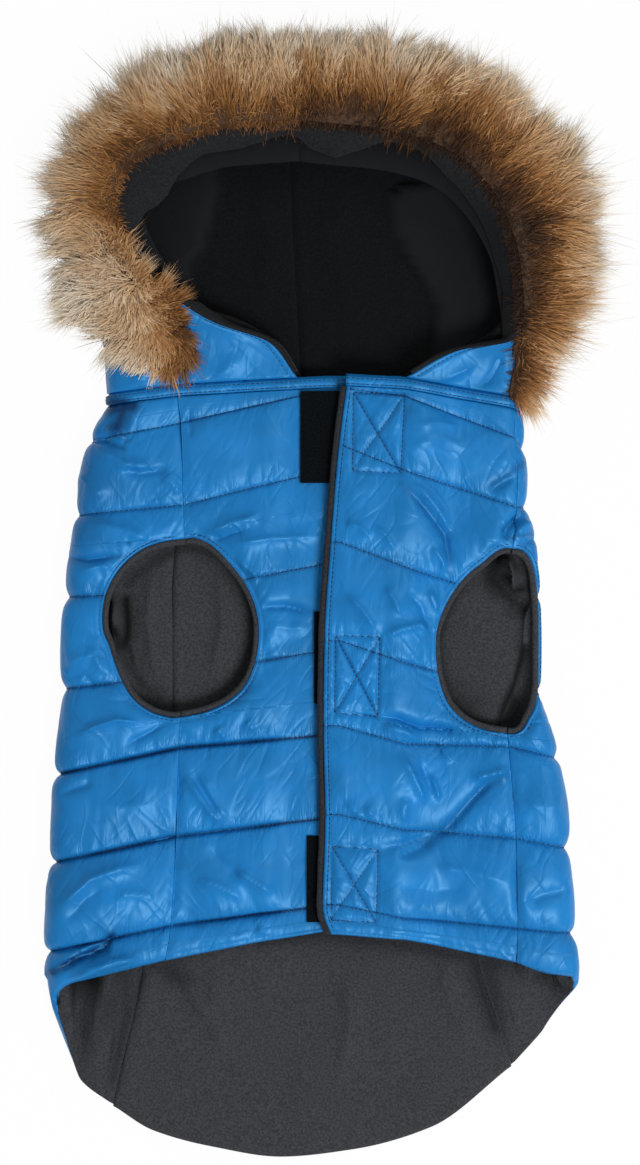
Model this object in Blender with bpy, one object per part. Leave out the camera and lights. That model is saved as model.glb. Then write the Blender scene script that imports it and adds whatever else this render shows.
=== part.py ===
"""A dog coat, laid flat with its belly side up: a quilted nylon vest with a fleece lining,
an overlapping chest closure, two armholes, a rounded tail, a hood and a fur trim.

X runs across the coat, +Y towards the hood and +Z up from the surface that it lies on.
Sizes are in millimetres, and MM turns them into Blender's metres.

The body is a flattened tube. Quilt rows count from 0 at the neck to 8 at the hem. The upper
layer is the belly and the lower layer is the back. Both meet at a side fold.
"""

import math

import bpy
import numpy as np

MM = 0.001
FRAME_SHIFT = (0.3, 0.7)  # puts the middle of the coat's box on the origin

GAP = 0.3  # between neighbouring pieces
SHELL = 3.0  # quilted shell at a stitched line
SHELL_UNDER = 6.0  # the same, padded all over, where the coat's weight flattens it
LINING = 1.5
PUFF = 5.0  # how far a full quilt channel stands proud of its stitched lines
FULL_CHANNEL = 30.0  # a channel this wide puffs fully
PILLOW = 0.65  # exponent of a channel's profile: 1 is a parabola and less is fuller
SEAM_PUFF = 0.35  # share of the puff that is left beside a seam
FOLD_PUFF = 0.5  # and at the side fold

# The tube's cross-section
LAST_ROW = 8.0
HEM_FROM = 7.0  # past this row the hem swings from the front to the tail
FOLD_Z = 10.5  # height of the side fold
ROLL = 9.5  # rise from the fold to the upper layer
TURN = 15.0  # width over which the upper layer turns into the fold
TURN_UNDER = 15.0
SETTLE = 60.0  # width over which the roll settles to the level of the middle
UNDER_FROM = 10.0  # past this distance under the fold the shell grows to SHELL_UNDER
UNDER_BLEND = 25.0
LEVEL = (18.5, 18.5, 18.5, 18.5, 18.5, 18.5, 18.5, 18.0, 17.5)  # of the middle, row by row
ARC = math.pi / 2 * math.hypot(TURN, ROLL) / math.sqrt(2)
ARC_UNDER = math.pi / 2 * math.hypot(TURN_UNDER, FOLD_Z) / math.sqrt(2)

# The closure
LOOP_RISE = 1.3  # over front_left's stitched surface
TAPE = 1.2
HOOK_RISE = LOOP_RISE + TAPE + GAP
LIFT = HOOK_RISE + TAPE + 2 * GAP + LINING + GAP + SHELL
LAP_CLEAR = 2.0  # past front_left's edge, before front_right comes down again
LAP_BLEND = 28.0  # width over which it comes down
LINING_SHOWS = 3.0  # of fleece past front_right's edge
TAPE_PUFF = 0.15  # share of front_left's puff that is left under the tapes
TAPE_PUFF_FROM = -34.0
TAPE_PUFF_BLEND = 16.0
LAP_PUFF = 0.55  # share of front_right's puff that is left over the tapes
LAP_PUFF_FROM = 30.0
LAP_PUFF_BLEND = 20.0

BINDING_WIDTH = 5.5
BINDING_PROUD = 0.6
NECK = GAP + BINDING_WIDTH + 1.0  # from a panel's top edge to the hood's bottom edge

# Quilt rows 0 to 8 on each side. A row crosses the upper layer at four stations.
CLOSURE_Y, MID_Y, SEAM_X, SEAM_Y, FOLD_X, FOLD_Y, BACK_X = range(7)
LEFT = {
    "inward": 1,
    "closure_x": 0.0,
    "mid_x": -40.0,
    # closure_y  mid_y  seam_x  seam_y  fold_x  fold_y  back_x
    "rows": [
        (108.0, 106.0, -81.0, 103.5, -120.0, 98.5, -73.0),
        (106.5, 98.0, -79.0, 89.0, -130.5, 79.0, -76.5),
        (62.5, 53.5, -77.5, 44.0, -137.0, 38.5, -81.0),
        (11.5, 4.0, -76.0, -4.0, -143.0, -6.5, -84.0),
        (-36.0, -42.5, -78.0, -49.5, -144.5, -57.0, -84.0),
        (-82.5, -86.0, -80.0, -89.5, -147.5, -104.0, -85.0),
        (-128.0, -133.0, -81.5, -138.0, -150.0, -152.5, -91.0),
        (-176.0, -181.0, -84.5, -187.0, -153.0, -201.5, -99.0),
        (-190.5, -197.0, -87.5, -206.5, -152.0, -218.5, -117.0),
    ],
    # The armhole's first and last row, and its reach to either side of the princess seam
    "hole": {"first": 2.39, "last": 4.58, "inner": 40.0, "outer": 44.5},
    # The hem from the front seam (-1) round the fold (0) to the back seam (1)
    "hem": [
        (-0.55, -121.0, -214.5, 19.5),
        (-0.25, -144.5, -221.5, 16.5),
        (0.0, -151.0, -230.0, 9.5),
        (0.25, -146.0, -247.5, 3.5),
        (0.55, -136.0, -272.0, 0.0),
        (1.0, -117.0, -286.5, 0.0),
    ],
}
RIGHT = {
    "inward": -1,
    "closure_x": 8.0,
    "mid_x": 44.0,
    "rows": [
        (109.0, 107.0, 103.0, 97.0, 108.0, 95.0, 56.5),
        (108.0, 103.0, 104.0, 81.0, 109.5, 74.0, 56.5),
        (77.0, 62.5, 105.0, 43.0, 111.5, 42.5, 56.5),
        (23.5, 10.0, 99.0, -8.0, 118.5, -6.5, 56.5),
        (-30.5, -42.5, 98.5, -58.0, 118.5, -58.0, 58.0),
        (-77.0, -87.0, 100.5, -88.5, 128.0, -95.0, 63.5),
        (-125.5, -134.0, 104.5, -139.0, 133.0, -144.5, 73.0),
        (-175.0, -182.5, 105.5, -188.5, 136.0, -191.5, 81.5),
        (-191.5, -194.5, 105.0, -207.5, 140.0, -215.5, 103.0),
    ],
    "hole": {"first": 2.47, "last": 4.79, "inner": 40.0, "outer": 17.0},
    "hem": [
        (-0.5, 122.0, -213.5, 19.0),
        (-0.2, 138.0, -215.5, 16.0),
        (0.0, 140.5, -219.5, 9.5),
        (0.25, 133.0, -229.5, 3.0),
        (0.55, 121.0, -245.0, 0.0),
        (1.0, 103.0, -264.5, 0.0),
    ],
}
ROW_NUMBERS = np.arange(9.0)
LAP_EDGE_X = (11.5, 11.5, 7.5, 3.0, -0.5, -1.0, 0.0, -1.5, 3.0)  # of front_right, row by row
UNDER_EDGE_X = (45.5, 45.5, 44.5, 36.0, 34.5, 34.5, 34.5, 34.5, 33.5)  # of front_left
HOLE_ROUND = 2.2  # exponent of the armhole's outline: 2 is an ellipse
# The tail's edge across the back panel: share of its width, y
TAIL = (
    (0.0, -286.5),
    (0.1, -300.0),
    (0.25, -309.0),
    (0.42, -314.5),
    (0.6, -310.5),
    (0.8, -298.0),
    (1.0, -264.5),
)

# Tapes: name, low x, high x, low y, high y
LOOP_TAPES = (
    ("loop_tape_neck", -13.5, 42.0, 56.0, 106.5),
    ("loop_tape_chest", -6.0, 31.0, -65.0, -14.5),
    ("loop_tape_belly", -10.0, 30.0, -185.0, -137.5),
)
HOOK_TAPES = (
    ("hook_tape_neck", 15.5, 43.5, 60.5, 105.5),
    ("hook_tape_chest", 5.5, 29.5, -71.5, -27.0),
    ("hook_tape_belly", 4.0, 28.5, -184.0, -143.5),
)

# The hood: stations 0 at the neck to 8 at the crown. A row runs from the rim out over the top,
# round the side and back underneath to the centre seam.
RIM_X, RIM_Y, RIM_Z, SIDE_X, SIDE_Y, FUR_FROM, FUR_REACH = range(7)
HOOD_LEFT = [
    # rim_x  rim_y  rim_z  side_x  side_y  fur_from  fur_reach
    (-15.0, 113.5, 19.0, -120.0, 104.5, 0.36, 3.5),
    (-34.5, 129.0, 22.0, -121.5, 128.0, 0.34, 5.0),
    (-66.0, 143.0, 28.0, -130.5, 148.5, 0.02, 15.0),
    (-96.5, 170.5, 36.0, -136.5, 173.0, 0.0, 16.0),
    (-115.5, 206.5, 42.0, -137.0, 203.5, 0.0, 23.0),
    (-107.5, 228.5, 44.0, -123.0, 240.0, 0.0, 29.0),
    (-85.0, 240.5, 44.0, -96.0, 266.0, 0.0, 25.0),
    (-52.5, 250.5, 43.0, -57.0, 290.0, 0.0, 17.0),
    (-14.0, 252.5, 42.0, -14.0, 302.0, 0.0, 10.0),
]
HOOD_RIGHT = [
    (44.0, 113.0, 27.4, 108.0, 102.0, 0.93, 19.0),
    (71.5, 128.0, 27.0, 111.0, 122.5, 0.9, 29.0),
    (103.5, 136.0, 31.0, 115.5, 141.5, 0.3, 36.0),
    (108.0, 151.0, 37.0, 122.5, 162.0, 0.0, 35.0),
    (105.5, 177.5, 42.0, 132.0, 190.0, 0.0, 30.0),
    (96.5, 204.5, 44.0, 126.0, 224.0, 0.0, 31.0),
    (74.0, 232.0, 44.0, 98.0, 254.0, 0.0, 25.0),
    (36.0, 247.0, 43.0, 54.0, 285.0, 0.0, 18.0),
    (-14.0, 252.5, 42.0, -14.0, 302.0, 0.0, 10.0),
]
CENTRE_X, CENTRE_Y, FACING, DROP = range(4)
CROWN = [
    # centre_x  centre_y  facing  drop
    (-12.0, 103.0, 0.8, 3.6),
    (-14.0, 128.0, 3.0, 5.0),
    (-15.5, 153.5, 8.0, 7.0),
    (-17.0, 177.5, 12.0, 9.0),
    (-18.0, 196.5, 13.0, 9.0),
    (-18.5, 213.5, 16.0, 9.0),
    (-18.5, 231.0, 19.0, 9.0),
    (-18.0, 249.0, 20.0, 9.0),
    (-16.0, 268.0, 19.0, 9.0),
]
HOOD_SHELL = 1.5
RIM_TURN = 1.8  # from the shell's edge to the facing
FACING_CURL = 1.6  # exponent of the facing's drop
HOOD_FOLD_Z = 14.0
HOOD_ROUND = 2.2  # exponent of the hood's side: 2 is an ellipse
FOLD_FADE = 2.0  # stations over which the side fold rises from the body's to the hood's
NECK_FADE = 1.5  # stations over which the hood takes on its own shape
BAG_FADE = 2.5  # stations over which the lining comes loose from the neck
# Between the hood's shell and its lining, from the rim (-1) to the centre seam (1)
BAG = (
    (-1.0, 13.0),
    (-0.7, 13.0),
    (-0.4, 9.0),
    (-0.18, 6.0),
    (0.0, 4.0),
    (0.2, 3.0),
    (0.45, 1.8),
    (1.0, 1.8),
)

# The fur trim lies on the hood from FUR_FROM to the side fold, and then hangs free. Its free
# points stand out from the fold by a length and a share of the reach. Their height is a length,
# a share of the fold's height and a share of the rise from the fold to the trim's inner edge.
FUR_CLEAR = 2.0
FUR_RISE = 12.0
FUR_NOSE = 4.0  # how far the inner edge bulges over the hood's opening
FUR_NOSE_DROP = 2.0
FUR_ON_HOOD = (1.0, 0.7, 0.4, 0.18, 0.0)
FUR_FREE = (
    # out  of_reach  height  of_fold  of_rise
    (2.5, 0.35, 7.0, 0.0, 0.0),
    (0.0, 0.85, 6.0, 0.0, 0.0),
    (0.0, 1.0, 12.0, 0.0, 0.0),
    (0.0, 0.7, 5.0, 1.0, 0.25),
    (0.0, 0.0, 8.4, 1.0, 0.7),
)

# Grid lines of the faceted panels
PLAIN_ROWS = (0.0, 0.5, 1.0, 1.5, 2.0)
HOLE_TURNS = (-1.0, -0.866, -0.5, 0.0, 0.5, 0.866, 1.0)
LOWER_ROWS = (5.0, 5.5, 6.0, 6.5, 7.0, 7.5, 8.0)
FRONT_COLUMNS = (0.0, 0.13, 0.28, 0.45, 0.6, 0.75, 0.88, 1.0)
SIDE_COLUMNS = (-1.0, -0.7, -0.4, -0.18, 0.0, 0.2, 0.45, 0.72, 1.0)
BACK_COLUMNS = (0.0, 0.1, 0.27, 0.5, 0.73, 0.9, 1.0)
HOOD_ROWS = (0.0, 0.6, 1.3, 2.0, 2.7, 3.4, 4.0, 4.6, 5.2, 5.9, 6.6, 7.3, 8.0)
SPREAD = 1.5  # exponent that gathers a panel's columns near its fold
ON_TOP_TO = 0.1  # columns up to here puff: those past it are under the coat
STEP = 1e-3  # for slopes
ON_GROUND = 1e-6
SHARP_ANGLE = math.radians(50)

NYLON_BLUE = (0.020, 0.215, 0.52)
FLEECE_GREY = (0.038, 0.041, 0.048)
HOOD_GREY = (0.016, 0.017, 0.02)
TAPE_BLACK = (0.005, 0.007, 0.009)
FUR_TAN = (0.24, 0.13, 0.058)

# Colour and roughness
NYLON = (NYLON_BLUE, 0.35)
FLEECE = (FLEECE_GREY, 0.95)
HOOD_FLEECE = (HOOD_GREY, 0.95)
TAPE_LOOK = (TAPE_BLACK, 0.8)
FUR_LOOK = (FUR_TAN, 0.9)


# ---------------------------------------------------------------- curves

def ease(t):
    """0 to 1 with a flat start and end."""
    t = np.clip(t, 0.0, 1.0)
    return t * t * (3.0 - 2.0 * t)


def quarter(t):
    """A quarter circle's height over its width, flat at 1 and beyond."""
    t = np.clip(t, 0.0, 1.0)
    return np.sqrt(1.0 - (1.0 - t) ** 2)


def glide(knots, values, t):
    """A smooth curve through a table that never overshoots its values."""
    knots = np.asarray(knots, float)
    values = np.asarray(values, float)
    width = np.diff(knots)
    slope = np.diff(values) / width
    tangent = np.concatenate([slope[:1], np.zeros(len(slope) - 1), slope[-1:]])
    for k in range(1, len(slope)):
        if slope[k - 1] * slope[k] > 0:
            tangent[k] = 2.0 * slope[k - 1] * slope[k] / (slope[k - 1] + slope[k])
    t = np.clip(np.asarray(t, float), knots[0], knots[-1])
    i = np.clip(np.searchsorted(knots, t, side="right") - 1, 0, len(slope) - 1)
    u = (t - knots[i]) / width[i]
    rise = values[i + 1] - values[i]
    start = tangent[i] * width[i]
    end = tangent[i + 1] * width[i]
    bend = start + end - 2 * rise
    return values[i] + u * (start + u * (rise - start - bend + u * bend))


def column(table, which, t):
    return glide(np.arange(len(table)), [row[which] for row in table], t)


def unit(vectors):
    length = np.linalg.norm(vectors, axis=-1, keepdims=True)
    return vectors / np.maximum(length, 1e-12)


# ---------------------------------------------------------------- the body's surfaces

def row_y(side, q, x):
    """Where quilt row q crosses the upper layer at x. Past the closure it runs level."""
    rows = side["rows"]
    inward = side["inward"]
    fold_x = column(rows, FOLD_X, q)
    reach = np.minimum((x - fold_x) * inward, (side["closure_x"] - fold_x) * inward)
    stations = [
        (0.0, column(rows, FOLD_Y, q)),
        ((column(rows, SEAM_X, q) - fold_x) * inward, column(rows, SEAM_Y, q)),
        ((side["mid_x"] - fold_x) * inward, column(rows, MID_Y, q)),
        ((side["closure_x"] - fold_x) * inward, column(rows, CLOSURE_Y, q)),
    ]
    y = stations[0][1]
    for k, ((near, near_y), (far, far_y)) in enumerate(zip(stations, stations[1:])):
        on_line = near_y + (far_y - near_y) * (reach - near) / (far - near)
        y = np.where((reach >= near) | (k == 0), on_line, y)
    return y


def row_at(side, x, y):
    """The quilt row that crosses the point x, y: row_y turned round."""
    low = np.zeros_like(x)
    high = np.full_like(x, LAST_ROW)
    for _ in range(30):
        middle = (low + high) / 2
        above = row_y(side, middle, x) > y
        low = np.where(above, middle, low)
        high = np.where(above, high, middle)
    return (low + high) / 2


def fold_line_x(side, y):
    """The side fold's outline."""
    rows = side["rows"]
    return glide([-row[FOLD_Y] for row in rows], [row[FOLD_X] for row in rows], -y)


def under_y(q, x):
    """Where row q crosses the lower layer: straight from fold to fold."""
    left_x = column(LEFT["rows"], FOLD_X, q)
    right_x = column(RIGHT["rows"], FOLD_X, q)
    left_y = column(LEFT["rows"], FOLD_Y, q)
    right_y = column(RIGHT["rows"], FOLD_Y, q)
    return left_y + (right_y - left_y) * (x - left_x) / (right_x - left_x)


def upper_z(q, from_fold):
    """Height of the upper layer's stitched surface at a distance in from the fold."""
    crest = FOLD_Z + ROLL
    level = glide(ROW_NUMBERS, LEVEL, q)
    roll = FOLD_Z + ROLL * quarter(from_fold / TURN)
    return roll + (level - crest) * ease((from_fold - TURN) / SETTLE)


def lap_lift(q, x):
    """How far front_right stands up where it laps over front_left and the tapes."""
    edge = glide(ROW_NUMBERS, UNDER_EDGE_X, q) + LAP_CLEAR
    return LIFT * (1.0 - ease((x - edge) / LAP_BLEND))


def upper_point(side, q, x):
    """The upper layer's stitched surface."""
    y = row_y(side, q, x)
    from_fold = np.maximum((x - fold_line_x(side, y)) * side["inward"], 0.0)
    z = upper_z(q, from_fold)
    if side is RIGHT:
        z = z + lap_lift(q, x)
    return np.stack([x, y, z], axis=-1)


def hole_reach(side, q):
    """0 outside the armhole's rows, rising to 1 at its widest row."""
    hole = side["hole"]
    middle = (hole["first"] + hole["last"]) / 2
    half = (hole["last"] - hole["first"]) / 2
    t = np.clip(np.abs(q - middle) / half, 0.0, 1.0)
    return (1.0 - t ** HOLE_ROUND) ** (1.0 / HOLE_ROUND)


def front_x(side, edge_x, q, v):
    """Across a front panel, from its closure edge (v 0) to the princess seam (v 1)."""
    start = glide(ROW_NUMBERS, edge_x, q)
    seam = column(side["rows"], SEAM_X, q) + side["inward"] * GAP / 2
    end = seam + side["inward"] * side["hole"]["inner"] * hole_reach(side, q)
    return start + (end - start) * v


def tube_point(side, q, along):
    """The tube's stitched surface at a distance along its section from the fold: over 0 on the
    upper layer and under 0 on the lower layer."""
    inward = side["inward"]
    above = np.maximum(along, 0.0)
    below = np.maximum(-along, 0.0)
    angle_above = np.minimum(above / ARC, 1) * math.pi / 2
    in_above = TURN * (1 - np.cos(angle_above)) + np.maximum(above - ARC, 0)
    angle_below = np.minimum(below / ARC_UNDER, 1) * math.pi / 2
    in_below = TURN_UNDER * (1 - np.cos(angle_below)) + np.maximum(below - ARC_UNDER, 0)
    is_upper = along >= 0
    from_fold = np.where(is_upper, in_above, in_below)
    x = column(side["rows"], FOLD_X, q) + inward * from_fold
    for _ in range(3):
        y = np.where(is_upper, row_y(side, q, x), under_y(q, x))
        x = fold_line_x(side, y) + inward * from_fold
    flat = below >= ARC_UNDER
    z_below = np.where(flat, 0.0, FOLD_Z * (1 - np.sin(angle_below)))
    z = np.where(is_upper, upper_z(q, in_above), z_below)
    return np.stack([x, y, z], axis=-1)


def side_along(side, q, f):
    """Distance along the section for column f, from the front seam (-1) to the back seam (1)."""
    inward = side["inward"]
    rows = side["rows"]
    seam_x = column(rows, SEAM_X, q) - inward * side["hole"]["outer"] * hole_reach(side, q)
    in_seam = np.maximum((seam_x - fold_line_x(side, row_y(side, q, seam_x))) * inward, 0.5)
    turned = np.arccos(1 - np.minimum(in_seam / TURN, 1)) / (math.pi / 2)
    seam_along = ARC * turned + np.maximum(in_seam - TURN, 0) - GAP / 2
    back_x = column(rows, BACK_X, q)
    in_back = (back_x - fold_line_x(side, under_y(q, back_x))) * inward
    back_along = ARC_UNDER + in_back - TURN_UNDER - GAP / 2
    share = np.abs(f) ** SPREAD
    return np.where(f < 0, seam_along * share, -back_along * share)


def side_point(side, q, f):
    """A side panel's stitched surface."""
    q, f = np.broadcast_arrays(np.asarray(q, float), np.asarray(f, float))
    point = tube_point(side, q, side_along(side, q, f))
    last = np.full_like(f, LAST_ROW)
    tube_end = tube_point(side, last, side_along(side, last, f))
    corner_row = np.array([LAST_ROW])
    corner = tube_point(side, corner_row, side_along(side, corner_row, np.array([-1.0])))[0]
    stations = np.array([(-1.0, *corner)] + side["hem"])
    hem = np.stack([glide(stations[:, 0], stations[:, k], f) for k in (1, 2, 3)], axis=-1)
    share = np.clip(q - HEM_FROM, 0.0, 1.0)[..., None]
    return point + (hem - tube_end) * share


def back_point(q_left, q_right, v):
    """The back panel's underside, flat on the ground, from the left seam (v 0) to the right."""
    left = side_point(LEFT, q_left, np.ones_like(v))
    right = side_point(RIGHT, q_right, np.ones_like(v))
    left[..., 0] += GAP
    right[..., 0] -= GAP
    point = left + (right - left) * v[..., None]
    tail = np.array(TAIL)
    tail_y = glide(tail[:, 0], tail[:, 1], v)
    last_y = tail[0, 1] + (tail[-1, 1] - tail[0, 1]) * v
    share = np.clip(q_left + (q_right - q_left) * v - HEM_FROM, 0.0, 1.0)
    point[..., 1] += (tail_y - last_y) * share
    point[..., 2] = 0.0
    return point


def channel_puff(side, q, x):
    """How far the shell stands proud of its stitched surface at row q."""
    above = np.clip(np.floor(q), 0, 7)
    width = row_y(side, above, x) - row_y(side, above + 1, x)
    across = q - above
    pillow = np.maximum(1 - (2 * across - 1) ** 2, 0) ** PILLOW
    return PUFF * ease(width / FULL_CHANNEL) * pillow


# ---------------------------------------------------------------- the hood's surfaces

def hood_plain(table, j, f):
    """The hood without its fit to the neck: f runs from the rim (-1) over the side (0) to the
    centre seam underneath (1)."""
    rim = np.stack([column(table, RIM_X, j), column(table, RIM_Y, j)], axis=-1)
    fold = np.stack([column(table, SIDE_X, j), column(table, SIDE_Y, j)], axis=-1)
    centre = np.stack([column(CROWN, CENTRE_X, j), column(CROWN, CENTRE_Y, j)], axis=-1)
    share = (np.abs(f) ** SPREAD)[..., None]
    upper = f < 0
    plan = np.where(upper[..., None], fold + (rim - fold) * share, fold + (centre - fold) * share)
    fold_z = FOLD_Z + (HOOD_FOLD_Z - FOLD_Z) * ease(j / FOLD_FADE)
    out = np.maximum(1.0 - share[..., 0], 0.0)
    rise = (1.0 - out ** HOOD_ROUND) ** (1.0 / HOOD_ROUND)
    from_fold = np.linalg.norm(centre - fold, axis=-1) * share[..., 0]
    z_upper = fold_z + (column(table, RIM_Z, j) - fold_z) * rise
    z_under = np.where(from_fold >= TURN_UNDER, 0.0, fold_z * (1 - quarter(from_fold / TURN_UNDER)))
    return np.concatenate([plan, np.where(upper, z_upper, z_under)[..., None]], axis=-1)


def neck_row(side, table, f):
    """The hood's bottom edge, which follows the body's neck line."""
    share = np.abs(f) ** SPREAD
    end = np.where(f < 0, table[0][RIM_X], CROWN[0][CENTRE_X])
    x = table[0][SIDE_X] + (end - table[0][SIDE_X]) * share
    zero = np.zeros_like(x)
    upper = upper_point(side, zero, x)
    y_under = under_y(zero, x)
    from_fold = (x - table[0][SIDE_X]) * side["inward"]
    z_under = np.where(from_fold >= TURN_UNDER, 0.0, FOLD_Z * (1 - quarter(from_fold / TURN_UNDER)))
    lower = np.stack([x, y_under, z_under], axis=-1)
    point = np.where((f < 0)[..., None], upper, lower)
    point[..., 1] += NECK
    return point


def hood_point(side, table, j, f):
    j, f = np.broadcast_arrays(np.asarray(j, float), np.asarray(f, float))
    plain = hood_plain(table, j, f)
    fit = neck_row(side, table, f) - hood_plain(table, np.zeros_like(j), f)
    point = plain + fit * (1.0 - ease(j / NECK_FADE))[..., None]
    point[..., 0] -= side["inward"] * GAP / 2
    return point


# ---------------------------------------------------------------- meshes

def outward(surface, a, b, sign):
    """Unit normals of surface(a, b), pointing out of the coat, and straight down where it is flat
    on the ground."""
    along_a = surface(a + STEP, b) - surface(a - STEP, b)
    along_b = surface(a, b + STEP) - surface(a, b - STEP)
    normal = unit(np.cross(along_b, along_a)) * sign
    on_ground = surface(a, b)[..., 2] < ON_GROUND
    normal[on_ground] = (0.0, 0.0, -1.0)
    return normal


def upper_normal(side, q, x):
    """Normals of the upper layer's stitched surface, square to the neck's edge in row 0."""
    def surface(a, b):
        return upper_point(side, a, b)

    normal = outward(surface, q, x, -1)
    normal[..., 1] *= q > 0
    return unit(normal)


def side_normal(side, q, f):
    """Normals of a side panel, which at its front seam are the front panel's."""
    def hem_surface(a, b):
        return side_point(side, a, b)

    def tube_surface(a, b):
        return tube_point(side, a, b)

    along = side_along(side, q, f)
    on_tube = outward(tube_surface, q, along, -side["inward"])
    on_hem = outward(hem_surface, q, f, side["inward"])
    normal = np.where((q > HEM_FROM)[..., None], on_hem, on_tube)
    front = upper_normal(side, q, side_point(side, q, f)[..., 0])
    normal = np.where((f == -1.0)[..., None], front, normal)
    normal[..., 1] *= q > 0
    return unit(normal)


def hood_normal(side, table, j, f):
    """Normals of the hood, square to its neck edge and to its centre seam."""
    def surface(a, b):
        return hood_point(side, table, a, b)

    normal = outward(surface, j, f, -side["inward"])
    normal[..., 1] *= j > 0
    normal[..., 0] *= j < LAST_ROW
    return unit(normal)


def material(name, colour, roughness):
    made = bpy.data.materials.new(name)
    made.use_nodes = True
    shader = made.node_tree.nodes["Principled BSDF"]
    shader.inputs["Base Color"].default_value = (*colour, 1.0)
    shader.inputs["Roughness"].default_value = roughness
    shader.inputs["Metallic"].default_value = 0.0
    return made


def add_object(name, points, faces, look):
    """One closed mesh, with its faces pointing out, in metres and in the part's frame."""
    points = np.asarray(points, float) + (*FRAME_SHIFT, 0.0)
    faces = np.asarray(faces)
    corners = points[faces]
    volume = np.einsum("ij,ij->i", corners[:, 0], np.cross(corners[:, 1], corners[:, 2])).sum()
    if volume < 0:
        faces = faces[:, ::-1]
    mesh = bpy.data.meshes.new(name)
    mesh.from_pydata((points * MM).tolist(), [], faces.tolist())
    mesh.materials.append(material(name, *look))
    mesh.shade_smooth()
    mesh.set_sharp_from_angle(angle=SHARP_ANGLE)
    thing = bpy.data.objects.new(name, mesh)
    bpy.context.scene.collection.objects.link(thing)
    return thing


def wall_faces(rows, columns):
    """Triangles of a wall made of an outer grid, an inner grid and the rim that joins them."""
    at = np.arange(rows * columns).reshape(rows, columns)
    inner = rows * columns
    a, b, c, d = at[:-1, :-1], at[:-1, 1:], at[1:, 1:], at[1:, :-1]
    halves = [np.stack([a, b, c], -1), np.stack([a, c, d], -1)]
    front = np.concatenate([half.reshape(-1, 3) for half in halves])
    back = front[:, ::-1] + inner
    rim = np.concatenate([at[0, :-1], at[:-1, -1], at[-1, :0:-1], at[:0:-1, 0]])
    after = np.roll(rim, -1)
    edge = np.concatenate([
        np.stack([after, rim, rim + inner], -1),
        np.stack([after, rim + inner, after + inner], -1),
    ])
    return np.concatenate([front, back, edge])


def add_wall(name, outer, inner, look):
    rows, columns = outer.shape[:2]
    points = np.concatenate([outer.reshape(-1, 3), inner.reshape(-1, 3)])
    return add_object(name, points, wall_faces(rows, columns), look)


def add_ring(name, sections, look):
    """A solid through closed sections of an even number of points. A strip closes each end, from
    the section's first half to its second."""
    sections = np.asarray(sections)
    count, around = sections.shape[:2]
    at = np.arange(count * around).reshape(count, around)
    turned = np.roll(at, -1, axis=1)
    a, b, c, d = at[:-1], turned[:-1], turned[1:], at[1:]
    faces = [np.stack([a, b, c], -1).reshape(-1, 3), np.stack([a, c, d], -1).reshape(-1, 3)]
    near = np.arange(around // 2 - 1)
    far = around - 1 - near
    first = np.concatenate([
        np.stack([at[0, near + 1], at[0, near], at[0, far]], -1),
        np.stack([at[0, near + 1], at[0, far], at[0, far - 1]], -1),
    ])
    last = first[:, ::-1] + (count - 1) * around
    return add_object(name, sections.reshape(-1, 3), np.concatenate(faces + [first, last]), look)


# ---------------------------------------------------------------- the body's pieces

def panel_rows(side):
    hole = side["hole"]
    middle = (hole["first"] + hole["last"]) / 2
    half = (hole["last"] - hole["first"]) / 2
    return np.array(PLAIN_ROWS + tuple(middle + half * turn for turn in HOLE_TURNS) + LOWER_ROWS)


def grid(first, second):
    return np.meshgrid(first, np.array(second), indexing="ij")


def add_front(name, side, edge_x, lining_shows, puff_of_x):
    """A front panel's shell, and the lining under it on the same points."""
    q, v = grid(panel_rows(side), FRONT_COLUMNS)
    x = front_x(side, edge_x, q, v)
    base = upper_point(side, q, x)
    normal = upper_normal(side, q, x)
    at_edges = np.where((v == 0.0) | (v == 1.0), SEAM_PUFF, 1.0)
    puff = channel_puff(side, q, x) * puff_of_x(x) * at_edges
    add_wall(name, base + normal * puff[..., None], base - normal * SHELL, NYLON)

    x[:, 0] -= lining_shows
    base = upper_point(side, q, x)
    outer = base - normal * (SHELL + GAP)
    add_wall("lining_" + name, outer, outer - normal * LINING, FLEECE)


def under_thickness(q, f, side):
    """The shell's thickness: stitched down on top, full underneath."""
    along = side_along(side, q, f)
    return SHELL + (SHELL_UNDER - SHELL) * ease((-along - UNDER_FROM) / UNDER_BLEND)


def add_side(name, side):
    """A side panel's shell and lining, round the fold from the front seam to the back seam."""
    q, f = grid(panel_rows(side), SIDE_COLUMNS)
    base = side_point(side, q, f)
    normal = side_normal(side, q, f)
    stands = np.where(f > ON_TOP_TO, 0.0, 1.0)
    stands = np.where(f == -1.0, SEAM_PUFF, stands)
    stands = np.where(f == 0.0, FOLD_PUFF, stands)
    puff = channel_puff(side, q, base[..., 0]) * stands
    thickness = under_thickness(q, f, side)[..., None]
    add_wall(name, base + normal * puff[..., None], base - normal * thickness, NYLON)
    outer = base - normal * (thickness + GAP)
    add_wall("lining_" + name, outer, outer - normal * LINING, FLEECE)


def add_back():
    """The back panel: padded, flat on the ground, with the fleece on top of it."""
    left_q, v = grid(panel_rows(LEFT), BACK_COLUMNS)
    right_q, _ = grid(panel_rows(RIGHT), BACK_COLUMNS)
    base = back_point(left_q, right_q, v)
    up = np.array([0.0, 0.0, 1.0])
    add_wall("back", base, base + up * SHELL_UNDER, NYLON)
    lower = base + up * (SHELL_UNDER + GAP)
    add_wall("lining_back", lower, lower + up * LINING, FLEECE)


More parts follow.
